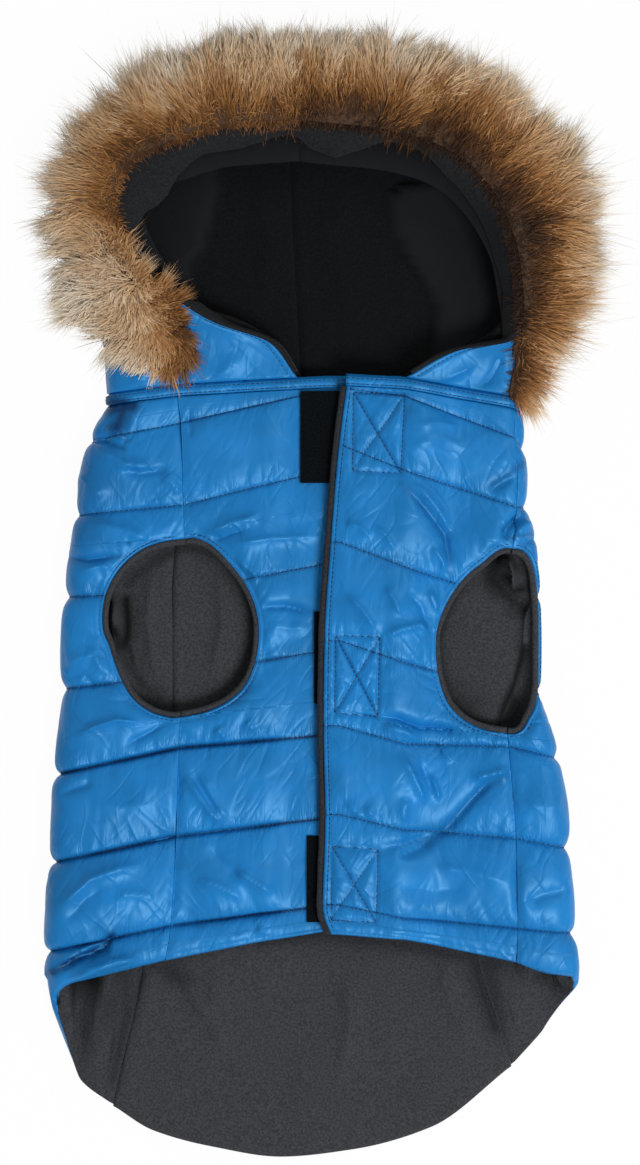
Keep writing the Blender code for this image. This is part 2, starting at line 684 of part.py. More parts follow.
def add_neck_binding():
    """One strip round the neck, from front_left's edge under the lap to front_right's edge."""
    def front_run(side, edge_x, columns):
        v = np.array(columns)
        zero = np.zeros_like(v)
        x = front_x(side, edge_x, zero, v)
        return upper_point(side, zero, x), upper_normal(side, zero, x), np.full_like(v, SHELL)

    def side_run(side, columns):
        f = np.array(columns)
        zero = np.zeros_like(f)
        return side_point(side, zero, f), side_normal(side, zero, f), under_thickness(zero, f, side)

    v = np.array(BACK_COLUMNS[1:-1])
    back = back_point(np.zeros_like(v), np.zeros_like(v), v)
    down = np.tile([0.0, 0.0, -1.0], (len(v), 1))
    runs = [
        front_run(LEFT, UNDER_EDGE_X, FRONT_COLUMNS[:-1]),
        side_run(LEFT, SIDE_COLUMNS),
        (back, down, np.full_like(v, SHELL_UNDER)),
        side_run(RIGHT, SIDE_COLUMNS[::-1]),
        front_run(RIGHT, LAP_EDGE_X, FRONT_COLUMNS[-2::-1]),
    ]
    base = np.concatenate([run[0] for run in runs])
    normal = np.concatenate([run[1] for run in runs])
    thickness = np.concatenate([run[2] for run in runs])[:, None]
    outer = base + normal * BINDING_PROUD * ease(base[:, 2:] / FOLD_Z)
    inner = base - normal * (thickness + GAP + LINING)
    low = np.array([0.0, GAP, 0.0])
    high = np.array([0.0, GAP + BINDING_WIDTH, 0.0])
    outer = np.stack([outer + low, outer + high])
    inner = np.stack([inner + low, inner + high])
    add_wall("neck_binding", outer, inner, NYLON)


def add_tapes(tapes, side, rise):
    """Hook or loop tapes, laid on front_left's stitched surface at a height above it."""
    for name, low_x, high_x, low_y, high_y in tapes:
        x, y = grid(np.linspace(low_x, high_x, 4), np.linspace(low_y, high_y, 4))
        z = upper_z(row_at(side, x, y), np.full_like(x, SETTLE + TURN)) + rise
        lower = np.stack([x, y, z], axis=-1)
        add_wall(name, lower + (0.0, 0.0, TAPE), lower, TAPE_LOOK)


# ---------------------------------------------------------------- the hood's pieces

def lining_gap(j, f):
    """Between the hood's outer surface and its lining: loose under the rim, close on the floor."""
    at_neck = np.where(f < 0, SHELL, SHELL_UNDER) + GAP
    bag = np.array(BAG)
    loose = glide(bag[:, 0], bag[:, 1], f)
    return at_neck + (loose - at_neck) * ease(j / BAG_FADE)


def add_hood(side_name, side, table):
    j, f = grid(np.array(HOOD_ROWS), SIDE_COLUMNS)
    base = hood_point(side, table, j, f)
    normal = hood_normal(side, table, j, f)
    add_wall("hood_" + side_name, base, base - normal * HOOD_SHELL, NYLON)

    lining = base - normal * lining_gap(j, f)[..., None]
    back_of_lining = lining - normal * LINING
    tip = facing_point(side, table, j[:, :1], np.ones((len(HOOD_ROWS), 1)))
    tip_low = tip - (0.0, 0.0, LINING + GAP)  # the lining ends under the facing
    outer = np.concatenate([tip_low, lining], axis=1)
    inner = np.concatenate([tip_low - (0.0, 0.0, LINING), back_of_lining], axis=1)
    add_wall("hood_lining_" + side_name, outer, inner, HOOD_FLEECE)


def facing_point(side, table, j, w):
    """The strip turned in at the rim: w runs from the rim (0) to its inner edge (1)."""
    j, w = np.broadcast_arrays(np.asarray(j, float), np.asarray(w, float))
    minus = np.full_like(j, -1.0)
    rim = hood_point(side, table, j, minus)
    fold = hood_point(side, table, j, np.zeros_like(j))
    inward = unit((rim - fold) * (1.0, 1.0, 0.0))
    width = column(CROWN, FACING, j)
    drop = column(CROWN, DROP, j)
    point = rim + inward * (RIM_TURN + width * w)[..., None]
    point[..., 2] -= drop * w ** FACING_CURL
    return point


def add_hood_facing():
    halves = ((LEFT, HOOD_LEFT, HOOD_ROWS[1:]), (RIGHT, HOOD_RIGHT, HOOD_ROWS[-2:0:-1]))
    outer = []
    for side, table, rows in halves:
        j, w = grid(np.array(rows), (0.0, 0.5, 1.0))
        outer.append(facing_point(side, table, j, w))
    outer = np.concatenate(outer)
    add_wall("hood_facing", outer, outer - (0.0, 0.0, LINING), HOOD_FLEECE)


def fur_section(side, table, j):
    """The trim's cross-section at a hood row, from its inner edge under it and back over it."""
    reach = float(column(table, FUR_REACH, j))
    inner_f = -((1.0 - float(column(table, FUR_FROM, j))) ** (1.0 / SPREAD))
    f = inner_f * np.array(FUR_ON_HOOD)
    row = np.full_like(f, j)
    on_hood = hood_point(side, table, row, f)
    fold = on_hood[-1]
    out = unit((fold - hood_point(side, table, j, -1.0)) * (1.0, 1.0, 0.0))
    up = np.array([0.0, 0.0, 1.0])
    points = list(on_hood + hood_normal(side, table, row, f) * FUR_CLEAR)
    rise = on_hood[0, 2] - fold[2]
    for away, of_reach, height, of_fold, of_rise in FUR_FREE:
        level = height + of_fold * fold[2] + of_rise * rise
        points.append(fold * (1.0, 1.0, 0.0) + out * (away + of_reach * reach) + up * level)
    points.append(on_hood[1] + up * FUR_RISE)
    points.append(on_hood[0] - out * FUR_NOSE + up * (FUR_RISE - FUR_NOSE_DROP))
    return np.array(points)


def add_fur():
    rows = [(LEFT, HOOD_LEFT, j) for j in HOOD_ROWS[1:]]
    rows += [(RIGHT, HOOD_RIGHT, j) for j in HOOD_ROWS[-2:0:-1]]
    add_ring("fur_trim", [fur_section(*row) for row in rows], FUR_LOOK)


def left_puff(x):
    """front_left is stitched flat where the tapes and the lap lie on it."""
    return 1.0 - (1.0 - TAPE_PUFF) * ease((x - TAPE_PUFF_FROM) / TAPE_PUFF_BLEND)


def right_puff(x):
    """front_right is flatter over the tapes."""
    return LAP_PUFF + (1.0 - LAP_PUFF) * ease((x - LAP_PUFF_FROM) / LAP_PUFF_BLEND)


def build():
    for thing in list(bpy.data.objects):
        bpy.data.objects.remove(thing, do_unlink=True)
    add_back()
    add_side("side_left", LEFT)
    add_side("side_right", RIGHT)
    add_front("front_left", LEFT, UNDER_EDGE_X, 0.0, left_puff)
    add_front("front_right", RIGHT, LAP_EDGE_X, LINING_SHOWS, right_puff)
    add_neck_binding()
    add_tapes(LOOP_TAPES, LEFT, LOOP_RISE)
    add_tapes(HOOK_TAPES, LEFT, HOOK_RISE)
    add_hood("left", LEFT, HOOD_LEFT)
    add_hood("right", RIGHT, HOOD_RIGHT)
    add_hood_facing()
    add_fur()


build()
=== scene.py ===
"""Looks of the dog coat: quilted nylon, fleece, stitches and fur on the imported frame.

The surfaces repeat the part's own sizes and sections, in millimetres in the part's frame, and
MM turns them into metres. Each piece stands for the CAD node that it names.
"""

import itertools
import math

import bpy
import numpy as np
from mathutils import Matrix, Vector


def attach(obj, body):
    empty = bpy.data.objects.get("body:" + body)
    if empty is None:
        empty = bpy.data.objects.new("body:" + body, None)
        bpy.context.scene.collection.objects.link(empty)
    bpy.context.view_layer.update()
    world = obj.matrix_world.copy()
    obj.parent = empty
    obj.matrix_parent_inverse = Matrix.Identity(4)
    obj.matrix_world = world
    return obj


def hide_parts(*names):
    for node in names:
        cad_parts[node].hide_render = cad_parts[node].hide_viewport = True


# ---------------------------------------------------------------- the part's sizes

MM = 0.001
FRAME_SHIFT = (0.3, 0.7)  # puts the middle of the coat's box on the origin

GAP = 0.3  # between neighbouring pieces
SHELL = 3.0  # quilted shell at a stitched line
SHELL_UNDER = 6.0  # the same, padded all over, where the coat's weight flattens it
LINING = 1.5
PUFF = 5.0  # how far a full quilt channel stands proud of its stitched lines
FULL_CHANNEL = 30.0  # a channel this wide puffs fully
PILLOW = 0.65  # exponent of a channel's profile: 1 is a parabola and less is fuller
FOLD_PUFF = 0.5  # share of the puff that is left at the side fold

# The tube's cross-section
LAST_ROW = 8.0
HEM_FROM = 7.0  # past this row the hem swings from the front to the tail
FOLD_Z = 10.5  # height of the side fold
ROLL = 9.5  # rise from the fold to the upper layer
TURN = 15.0  # width over which the upper layer turns into the fold
TURN_UNDER = 15.0
SETTLE = 60.0  # width over which the roll settles to the level of the middle
UNDER_FROM = 10.0  # past this distance under the fold the shell grows to SHELL_UNDER
UNDER_BLEND = 25.0
LEVEL = (18.5, 18.5, 18.5, 18.5, 18.5, 18.5, 18.5, 18.0, 17.5)  # of the middle, row by row
ARC = math.pi / 2 * math.hypot(TURN, ROLL) / math.sqrt(2)
ARC_UNDER = math.pi / 2 * math.hypot(TURN_UNDER, FOLD_Z) / math.sqrt(2)

# The closure
LOOP_RISE = 1.3  # over front_left's stitched surface
TAPE = 1.2
HOOK_RISE = LOOP_RISE + TAPE + GAP
LIFT = HOOK_RISE + TAPE + 2 * GAP + LINING + GAP + SHELL
LAP_CLEAR = 2.0  # past front_left's edge, before front_right comes down again
LAP_BLEND = 28.0  # width over which it comes down
LINING_SHOWS = 3.0  # of fleece past front_right's edge
TAPE_PUFF = 0.15  # share of front_left's puff that is left under the tapes
TAPE_PUFF_FROM = -34.0
TAPE_PUFF_BLEND = 16.0
LAP_PUFF = 0.55  # share of front_right's puff that is left over the tapes
LAP_PUFF_FROM = 30.0
LAP_PUFF_BLEND = 20.0

BINDING_WIDTH = 5.5
BINDING_PROUD = 0.6
NECK = GAP + BINDING_WIDTH + 1.0  # from a panel's top edge to the hood's bottom edge

# Quilt rows 0 to 8 on each side. A row crosses the upper layer at four stations.
CLOSURE_Y, MID_Y, SEAM_X, SEAM_Y, FOLD_X, FOLD_Y, BACK_X = range(7)
LEFT = {
    "inward": 1,
    "closure_x": 0.0,
    "mid_x": -40.0,
    # closure_y  mid_y  seam_x  seam_y  fold_x  fold_y  back_x
    "rows": [
        (108.0, 106.0, -81.0, 103.5, -120.0, 98.5, -73.0),
        (106.5, 98.0, -79.0, 89.0, -130.5, 79.0, -76.5),
        (62.5, 53.5, -77.5, 44.0, -137.0, 38.5, -81.0),
        (11.5, 4.0, -76.0, -4.0, -143.0, -6.5, -84.0),
        (-36.0, -42.5, -78.0, -49.5, -144.5, -57.0, -84.0),
        (-82.5, -86.0, -80.0, -89.5, -147.5, -104.0, -85.0),
        (-128.0, -133.0, -81.5, -138.0, -150.0, -152.5, -91.0),
        (-176.0, -181.0, -84.5, -187.0, -153.0, -201.5, -99.0),
        (-190.5, -197.0, -87.5, -206.5, -152.0, -218.5, -117.0),
    ],
    # The armhole's first and last row, and its reach to either side of the princess seam
    "hole": {"first": 2.39, "last": 4.58, "inner": 40.0, "outer": 44.5},
    # The hem from the front seam (-1) round the fold (0) to the back seam (1)
    "hem": [
        (-0.55, -121.0, -214.5, 19.5),
        (-0.25, -144.5, -221.5, 16.5),
        (0.0, -151.0, -230.0, 9.5),
        (0.25, -146.0, -247.5, 3.5),
        (0.55, -136.0, -272.0, 0.0),
        (1.0, -117.0, -286.5, 0.0),
    ],
}
RIGHT = {
    "inward": -1,
    "closure_x": 8.0,
    "mid_x": 44.0,
    "rows": [
        (109.0, 107.0, 103.0, 97.0, 108.0, 95.0, 56.5),
        (108.0, 103.0, 104.0, 81.0, 109.5, 74.0, 56.5),
        (77.0, 62.5, 105.0, 43.0, 111.5, 42.5, 56.5),
        (23.5, 10.0, 99.0, -8.0, 118.5, -6.5, 56.5),
        (-30.5, -42.5, 98.5, -58.0, 118.5, -58.0, 58.0),
        (-77.0, -87.0, 100.5, -88.5, 128.0, -95.0, 63.5),
        (-125.5, -134.0, 104.5, -139.0, 133.0, -144.5, 73.0),
        (-175.0, -182.5, 105.5, -188.5, 136.0, -191.5, 81.5),
        (-191.5, -194.5, 105.0, -207.5, 140.0, -215.5, 103.0),
    ],
    "hole": {"first": 2.47, "last": 4.79, "inner": 40.0, "outer": 17.0},
    "hem": [
        (-0.5, 122.0, -213.5, 19.0),
        (-0.2, 138.0, -215.5, 16.0),
        (0.0, 140.5, -219.5, 9.5),
        (0.25, 133.0, -229.5, 3.0),
        (0.55, 121.0, -245.0, 0.0),
        (1.0, 103.0, -264.5, 0.0),
    ],
}
ROW_NUMBERS = np.arange(9.0)
LAP_EDGE_X = (11.5, 11.5, 7.5, 3.0, -0.5, -1.0, 0.0, -1.5, 3.0)  # of front_right, row by row
UNDER_EDGE_X = (45.5, 45.5, 44.5, 36.0, 34.5, 34.5, 34.5, 34.5, 33.5)  # of front_left
HOLE_ROUND = 2.2  # exponent of the armhole's outline: 2 is an ellipse
# The tail's edge across the back panel: share of its width, y
TAIL = (
    (0.0, -286.5),
    (0.1, -300.0),
    (0.25, -309.0),
    (0.42, -314.5),
    (0.6, -310.5),
    (0.8, -298.0),
    (1.0, -264.5),
)

TAPES = (
    "loop_tape_neck", "loop_tape_chest", "loop_tape_belly",
    "hook_tape_neck", "hook_tape_chest", "hook_tape_belly",
)

# The hood: stations 0 at the neck to 8 at the crown. A row runs from the rim out over the top,
# round the side and back underneath to the centre seam.
RIM_X, RIM_Y, RIM_Z, SIDE_X, SIDE_Y = range(5)
HOOD_LEFT = [
    # rim_x  rim_y  rim_z  side_x  side_y
    (-15.0, 113.5, 19.0, -120.0, 104.5),
    (-30.5, 133.5, 22.0, -121.5, 128.0),
    (-62.0, 145.0, 28.0, -130.5, 148.5),
    (-96.5, 170.5, 36.0, -136.5, 173.0),
    (-115.5, 206.5, 42.0, -137.0, 203.5),
    (-107.5, 228.5, 44.0, -123.0, 240.0),
    (-85.0, 240.5, 44.0, -96.0, 266.0),
    (-52.5, 250.5, 43.0, -57.0, 290.0),
    (-14.0, 252.5, 42.0, -14.0, 302.0),
]
HOOD_RIGHT = [
    (44.0, 113.0, 27.4, 108.0, 102.0),
    (71.5, 128.0, 27.0, 111.0, 122.5),
    (103.5, 136.0, 31.0, 115.5, 141.5),
    (108.0, 151.0, 37.0, 122.5, 162.0),
    (105.5, 177.5, 42.0, 132.0, 190.0),
    (96.5, 204.5, 44.0, 126.0, 224.0),
    (74.0, 232.0, 44.0, 98.0, 254.0),
    (36.0, 247.0, 43.0, 54.0, 285.0),
    (-14.0, 252.5, 42.0, -14.0, 302.0),
]
CENTRE_X, CENTRE_Y, FACING, DROP = range(4)
CROWN = [
    # centre_x  centre_y  facing  drop
    (-12.0, 103.0, 0.8, 3.6),
    (-14.0, 128.0, 3.0, 5.0),
    (-15.5, 153.5, 8.0, 7.0),
    (-17.0, 177.5, 12.0, 9.0),
    (-18.0, 196.5, 13.0, 9.0),
    (-18.5, 213.5, 16.0, 9.0),
    (-18.5, 231.0, 19.0, 9.0),
    (-18.0, 249.0, 20.0, 9.0),
    (-16.0, 268.0, 19.0, 9.0),
]
HOOD_SHELL = 1.5
RIM_TURN = 1.8  # from the shell's edge to the facing
FACING_CURL = 1.6  # exponent of the facing's drop
HOOD_FOLD_Z = 14.0
HOOD_ROUND = 2.2  # exponent of the hood's side: 2 is an ellipse
FOLD_FADE = 2.0  # stations over which the side fold rises from the body's to the hood's
NECK_FADE = 1.5  # stations over which the hood takes on its own shape
BAG_FADE = 2.5  # stations over which the lining comes loose from the neck
# Between the hood's shell and its lining, from the rim (-1) to the centre seam (1)
BAG = (
    (-1.0, 13.0),
    (-0.7, 13.0),
    (-0.4, 9.0),
    (-0.18, 6.0),
    (0.0, 4.0),
    (0.2, 3.0),
    (0.45, 1.8),
    (1.0, 1.8),
)

# Rows of the part's own lofts
PLAIN_ROWS = (0.0, 0.5, 1.0, 1.5, 2.0)
HOLE_TURNS = (-1.0, -0.866, -0.5, 0.0, 0.5, 0.866, 1.0)
LOWER_ROWS = (5.0, 5.5, 6.0, 6.5, 7.0, 7.5, 8.0)
SPREAD = 1.5  # exponent that gathers a panel's columns near its fold
STEP = 1e-3  # for slopes
ON_GROUND = 1e-6  # below this height a surface counts as lying flat

# ---------------------------------------------------------------- sizes of the looks

# Steps of the fine grids
FINE = 1.25  # the quilted fronts
SIDE_FINE = 1.5
BACK_STEP = 3.0
LINING_STEP = 3.5
SIDE_LINING_STEP = 2.4
HOOD_STEP = 2.4
ROW_PITCH = 49.0  # between quilt rows
TAIL_LENGTH = 110.0
HOOD_LENGTH = 240.0
HOOD_ROUND_LENGTH = 200.0
INNER_SKIP = 4  # a panel's hidden inner grid keeps every fourth line
HOOD_SKIP = 3
EDGE_LINES = (0.0, 0.3, 0.8, 1.5, 2.6)  # grid columns beside a panel's edge
BACK_COLUMNS = 70
BACK_LINING_COLUMNS = 110
BACK_WIDTH = 190.0
TAIL_FROM_Y = -217.0  # where the back panel goes over into the tail
TAIL_PITCH = 45.0  # between quilt rows on the tail
END_CHANNEL = 14.0  # height of the first and the last channel
HEM_ROWS = (7.93, 7.97, 8.0)  # grid rows at a panel's hem
TAIL_ROWS = (7.975, 7.988, 7.996, 8.0)  # and at the tail's
COARSE = 2.0  # a grid with a longer step has no rows beside the quilt lines
LINE_NEAR = (-2.3, -1.3, -0.6, 0.0, 0.6, 1.3, 2.3)  # grid rows round a quilt line
CLOSE_GAP = 0.28  # neighbouring panels come this much closer than in the part
HEM_EVEN_TO = 7.86  # a panel's even rows end here
LINE_CLEAR = 0.4  # between the rows round a quilt line and the even ones
FAR = 1e9  # farther than anything
TINY = 1e-9

# Seeds of the noise, by side where there are two
FRONT_SEED = {1: 100, -1: 300}
SIDE_SEED = {1: 200, -1: 400}
SHADE_SEED = 466
BOX_SEED = 470
BACK_LINING_SEED = 610
FRONT_RIM_SEED = 620
EDGE_SEED = 625
SIDE_LINING_SEED = 630
SIDE_RIM_SEED = 640
BINDING_SEED = 650
HOOD_SEED = {1: 700, -1: 800}
HOOD_LINING_SEED = {1: 720, -1: 820}
FACING_SEED = 745
TUFT_SEED = {1: 900, -1: 950}
HAIR_SEED = 11

# Quilting
CHANNEL_PUFF = (0.4, 0.6, 0.62, 0.66, 0.7, 0.95, 1.0, 0.8)  # share of PUFF, channel by channel
LINE_PUCKER = (0.0, 0.5, 0.6, 0.7, 0.7, 0.9, 0.9, 0.8, 0.3)  # strength of the puckers, by line
VALLEY = {  # depth of each quilt line's valley, by side
    1: (0.0, 0.5, 0.6, 0.8, 1.2, 2.6, 2.4, 1.9, 0.0),
    -1: (0.0, 0.5, 0.5, 0.6, 0.6, 0.6, 0.6, 0.7, 0.0),
}
VALLEY_WIDTH = 1.15
VALLEY_UNEVEN = 0.35
NOTCH = 1.5  # how deep each quilt line cuts into the outline
NOTCH_WIDTH = 3.5
NOTCH_REACH = 14.0
GROOVE = 2.2  # the same on the underside
GROOVE_WIDTH = 3.0
SWELL = 0.2  # unevenness of the puff along a channel
SWELL_WAVE = (26.0, 3.7)  # size of a noise along a quilt line, and its step from line to line
LEAN_WAVE = (21.0, 5.3)
REACH_WAVE = (7.0, 2.9)
VALLEY_WAVE = (20.0, 1.7)
SHADE_WAVE = (24.0, 2.3)
SHADE_UNEVEN = 0.5
LEAN = 0.8  # how far the puckers lean
PUCKER = 1.1
PUCKER_REACH = 3.6
REACH_UNEVEN = 0.6
PUCKER_AT_LINE = 0.25  # share of a pucker's depth right at the line
PUCKER_AT_LINE_WIDTH = 1.5
PUCKER_PITCH = 5.5
PUCKER_STEP = (3.1, 0.4)  # from line to line, and from one side of it to the other
PUCKER_SHARP = 3
PUCKER_CHANNEL = 18.0  # a channel this wide puckers fully
FOLD_PUFF_BLEND = 14.0  # width over which the puff fades round the side fold
SEAM_DIP = (0.35, 2.5)  # share of the puff lost at a panel's seam, and how far in from it
HOLE_DIP = (0.6, 5.0)  # the same at the armhole
CLOSURE_PUFF = 0.35  # share of the puff that is left at the closure's edge
CLOSURE_PUFF_WIDTH = 11.0
CLOSURE_CREASES = 0.3  # share of the creases that is left there
CLOSURE_CREASES_WIDTH = 8.0
HOLE_FLAT = 1.0  # no crease comes nearer to the armhole
HOLE_FLAT_BLEND = 5.0
ON_TOP_FROM = -6.0  # past this place along a side panel it is creased like the top
ON_TOP_BLEND = 10.0
LAST_PUFF = 0.5  # share of the last channel's puff that goes on round the fold
LAST_PUFF_FROM = -40.0
LAST_PUFF_BLEND = 30.0
NOTCH_MARGIN = 0.3  # rows at the neck and at the hem without a notch
UNDER_GROOVE_FROM = 2.0  # past this distance under the fold the grooves start
UNDER_GROOVE_BLEND = 12.0
SIDE_SHADE_FROM = -30.0  # the painted shade of the valleys starts here along a side panel
SIDE_SHADE_BLEND = 20.0
SOFT_RISE = 1.3  # slow swells of the shell
CRINKLE = 0.38  # sharp ridges
FINE_CRINKLE = 0.05
CRUMPLE_CHANNEL = 20.0  # a channel this wide crumples fully
CRUMPLE_BEND = 3.0  # how far the crinkles wander
BEND_SIZES = ((17.0, 19.0), (15.0, 21.0))  # of their wandering, across and up
SOFT_SIZE = (17.0, 22.0)  # of the slow swells, across and up
SHARP_SIZE = (13.0, 27.0)  # and of the other crinkles
CROSS_SIZE = (15.0, 24.0)
FINE_SIZE = (4.5, 6.5)
PATCH_SIZE = (30.0, 26.0)
SOFT_LEAN = 0.35
SHARP_LEAN = 0.5
CROSS_LEAN = 0.7
SHARP_POWER = 5  # narrows the ridges
CROSS_POWER = 6
RIDGE_TOP = 0.003  # rounds the top of a ridge
CREASE_FADE = 0.3  # share of a crease's length over which it starts and ends
CREASE_GAIN = 2.4
CREASE_NARROW = 0.65
CREASE_SHARP = 1.15
EDGE_SOFT = 1.6  # half width of a folded edge's step

# Edges and stitched lines: each stitch is a distance in from its edge
PIPING = 0.5
PIPING_AT = 0.8
PIPING_WIDTH = 0.7
HEM_PIPING = 0.5
HEM_PIPING_AT = 1.2
HEM_PIPING_WIDTH = 0.8
HOLE_STITCH = 1.8
HOLE_PUCKER = 0.9
HOLE_PUCKER_REACH = 3.5
HOLE_PUCKER_SIZE = (6.0, 30.0)  # round the armhole and away from it
HOLE_PUCKER_LEAN = 0.1
EDGE_STITCH = 2.5
HEM_STITCH = 2.6
HOOD_STITCH = 4.0
HOLE_GROOVE = (0.9, 0.7)  # depth and half width of the groove that a line of stitches pulls
EDGE_GROOVE = (0.55, 0.8)
HEM_GROOVE = (0.6, 0.8)
HOOD_GROOVE = (0.5, 0.9)
HOLE_ROUNDING = (1.2, 1.5)  # radius of an edge's rounding, and how far it drops
SEAM_ROUNDING = (0.5, 0.45)
CLOSURE_ROUNDING = (2.2, 2.0)
FRONT_HEM_ROUNDING = (1.8, 1.6)
SIDE_HEM_ROUNDING = (2.5, 2.2)
HOOD_ROUNDING = (1.3, 1.2)
BACK_ROUNDING = (3.2, 2.8)
BACK_LINING_ROUNDING = (2.6, 1.8)
STITCH_FROM_SEAM = 0.8  # a line of stitches ends this far from a seam
HOLE_POINTS = 120  # of the lines that stitches are spaced along
LINE_POINTS = 260
OUTLINE_POINTS = 64
RIM_POINTS = 70
BOX_POINTS = 200
EDGE_STITCH_POINTS = 600
EDGE_STITCH_ROWS = (0.05, 7.9)
HOOD_STITCH_POINTS = 150
HOOD_STITCH_FROM = 0.06  # rows of the hood
HOOD_STITCH_TO = {1: 2.0, -1: 2.6}
UNDER_STITCHED = 0.9  # share of the turn under the fold with stitches
STITCH_PITCH = 2.6
STITCH_LENGTH = 2.3
STITCH_THICK = 0.42
STITCH_RISE = 0.12
DASH_PLACES = (-0.5, -0.36, 0.36, 0.5)  # of a dash's four rings, as shares of its length
DASH_SIZES = (0.35, 1.0, 1.0, 0.35)  # shares of its thickness there
DASH_HEIGHTS = (-0.35, 0.1, 0.1, -0.35)
BOX_DEPTH = 1.3  # of the lines stitched over the hook tapes
BOX_PULL = 0.55  # share of the puff that they take away
BOX_PULL_WIDTH = 4.5
BOX_PUCKER = 0.6
BOX_PUCKER_REACH = 2.5
BOX_PUCKER_SIZE = (4.5, 20.0)  # along the line and away from it
BOX_PUCKER_FROM = 0.6
BOX_LINE_WIDTH = 1.0
BOX_APART = 40  # keeps the puckers of one line unlike those of the next
# Painted shade along the lines stitched over the hook tapes, and its half width
BOX_SHADE = 0.35
BOX_SHADE_WIDTH = 0.7
FULL_SHADE_DEPTH = 2.4  # a valley this deep gets full painted shade
VALLEY_SHADE_WIDTH = 1.0
SEAM_PULL_REACH = 5.0  # of the fine creases that a quilt line pulls into the nylon
LINE_APART = 400.0  # keeps the creases of one quilt line unlike those of the next

# The hood's nylon
HOOD_RIM_COLUMNS = (-1.0, -0.995, -0.985, -0.97)
HOOD_CRUMPLE = 0.8  # share of the body's crinkles
HOOD_SMOOTH = 6.0  # width over which they start at the rim
HOOD_SMOOTH_ROWS = 0.25  # the same at the neck, in rows
HOOD_TOP_BLEND = 0.25  # share of the underside over which the relief ends
HOOD_SWELL = 0.35  # between the rim and its stitches
HOOD_SWELL_AT = 1.8
HOOD_SWELL_WIDTH = 1.2

# Linings
RIM_DEPTH = 1.9  # the fleece that rolls out past an armhole's edge
RIM_OUT = 1.4
RIM_RADIUS = 1.8
EDGE_ROLL = 1.7  # radius of the fleece edge beside the closure
# Painted shade on the rolled fleece edge beside the closure
EDGE_SHADE = 0.35
LINING_PAST_TAIL = 1.2
PAST_TAIL_FROM = 7.8  # row from which the lining reaches past the tail
PAST_TAIL_BLEND = 0.2
ON_TAIL_BLEND = 0.1
TAIL_FREE = 12.0  # the lining's waves start over this width at the tail's edge
TAIL_SHORTEST = 10.0
TAIL_EVEN_TO = 7.96  # the tail's even rows end here
WAVES_FROM = 6.0  # past this distance under the fold a side's lining waves
WAVES_BLEND = 16.0
FOLDS_FROM = 1.0  # and past this one it has its folds
FOLDS_BLEND = 5.0
BACK_SEAM_WIDTH = 1.5
FLEECE_WAVES = ((0.9, (33.0, 37.0)), (0.35, (12.0, 14.0)))  # rise, and size across and up
TROUGH_FROM = 2.5  # a trough this deep starts to get painted shade, as though in its own shade
TROUGH_BLEND = 5.0
TROUGH_SHADE = 0.6
RIM_WAVES = 14.0  # of the rolled edge, round the armhole
RIM_UNEVEN = 0.10
RIM_SIDES = 12
EDGE_WAVES = 9.0  # the same beside the closure, in each row
EDGE_UNEVEN = 0.08
EDGE_MARGIN = 0.02
EDGE_POINTS = 200
EDGE_INSIDE = 0.4
EDGE_SIDES = 10
EDGE_SQUASH = 0.9
BINDING_PUCKER = 0.25
BINDING_PUCKER_PITCH = 7.0
BINDING_POINTS = {"left": 70, "side": 81, "back": 60, "right": 60}
BINDING_PROFILE = (  # share of the width, height
    (0.0, -1.1),
    (0.06, -0.2),
    (0.15, 0.25),
    (0.22, 0.0),
    (0.35, 0.5),
    (0.5, 0.7),
    (0.65, 0.5),
    (0.78, 0.0),
    (0.85, 0.25),
    (0.94, -0.2),
    (1.0, -1.1),
    (1.2, -1.6),
)
BINDING_STITCHED = (3, 7)  # the profile's two stitched places
LINING_SEAM = ((-1.1, 0.0, 1.6), (0.5, 4.0, 3.0))  # rise, place and half width beside a seam
DEEPEST = 0.7  # no trough of a lining goes deeper than this
FULL_LIGHT_RISE = 4.0  # a fold of the hood's lining raised this far gets full painted light
HOOD_WAVE = 0.9  # slow unevenness of the hood's lining
HOOD_WAVE_SIZE = (30.0, 34.0)
HOOD_RIDGE = 0.6
HOOD_RIDGE_SIZE = (26.0, 50.0)
HOOD_RIDGE_LEAN = 0.3
HOOD_DIP = 0.8  # no deeper than this
LOOSE_FROM = -0.85  # column from which it lies loose
LOOSE_BLEND = 0.4
LOOSE_ROWS = 0.8  # rows at the neck over which it comes loose
CROWN_HELD = 0.04  # the same at the edges of the columns
CROWN_LOOSE = 0.3
FOLDED_FROM = -0.9  # column from which it has folded edges
FOLDED_BLEND = 0.25
HOOD_MIDDLE = (-5.0, 165.0)
FACING_RAISED = 3.0
# Painted shade on the facing towards the hood's right, where its raise also flattens
FACING_PAINTED_SHADE = 0.38
FACING_DIM_X = (50.0, 30.0)  # where the painted shade on the facing starts, and the width over which it grows
FACING_DIM_Y = (232.0, 40.0)
FACING_DIM_FLAT = 0.8  # share of FACING_RAISED that it loses there
FACING_FROM = 0.15  # row
FACING_GRID = (190, 13)
FACING_SWELL = 1.2
FACING_WAVE = 0.5
FACING_WAVES = (4.0, 1.5)  # in each row, and across
BEARING_FROM = -1.6  # bearings from the hood's middle are counted up from here
BEARING_BLEND = 0.2
FACING_ROLL = 1.35  # radius of the rolled edge at the rim
FACING_ROLL_IN = 1.0
FACING_ROLL_DOWN = 0.9
ROLL_SIDES = 10

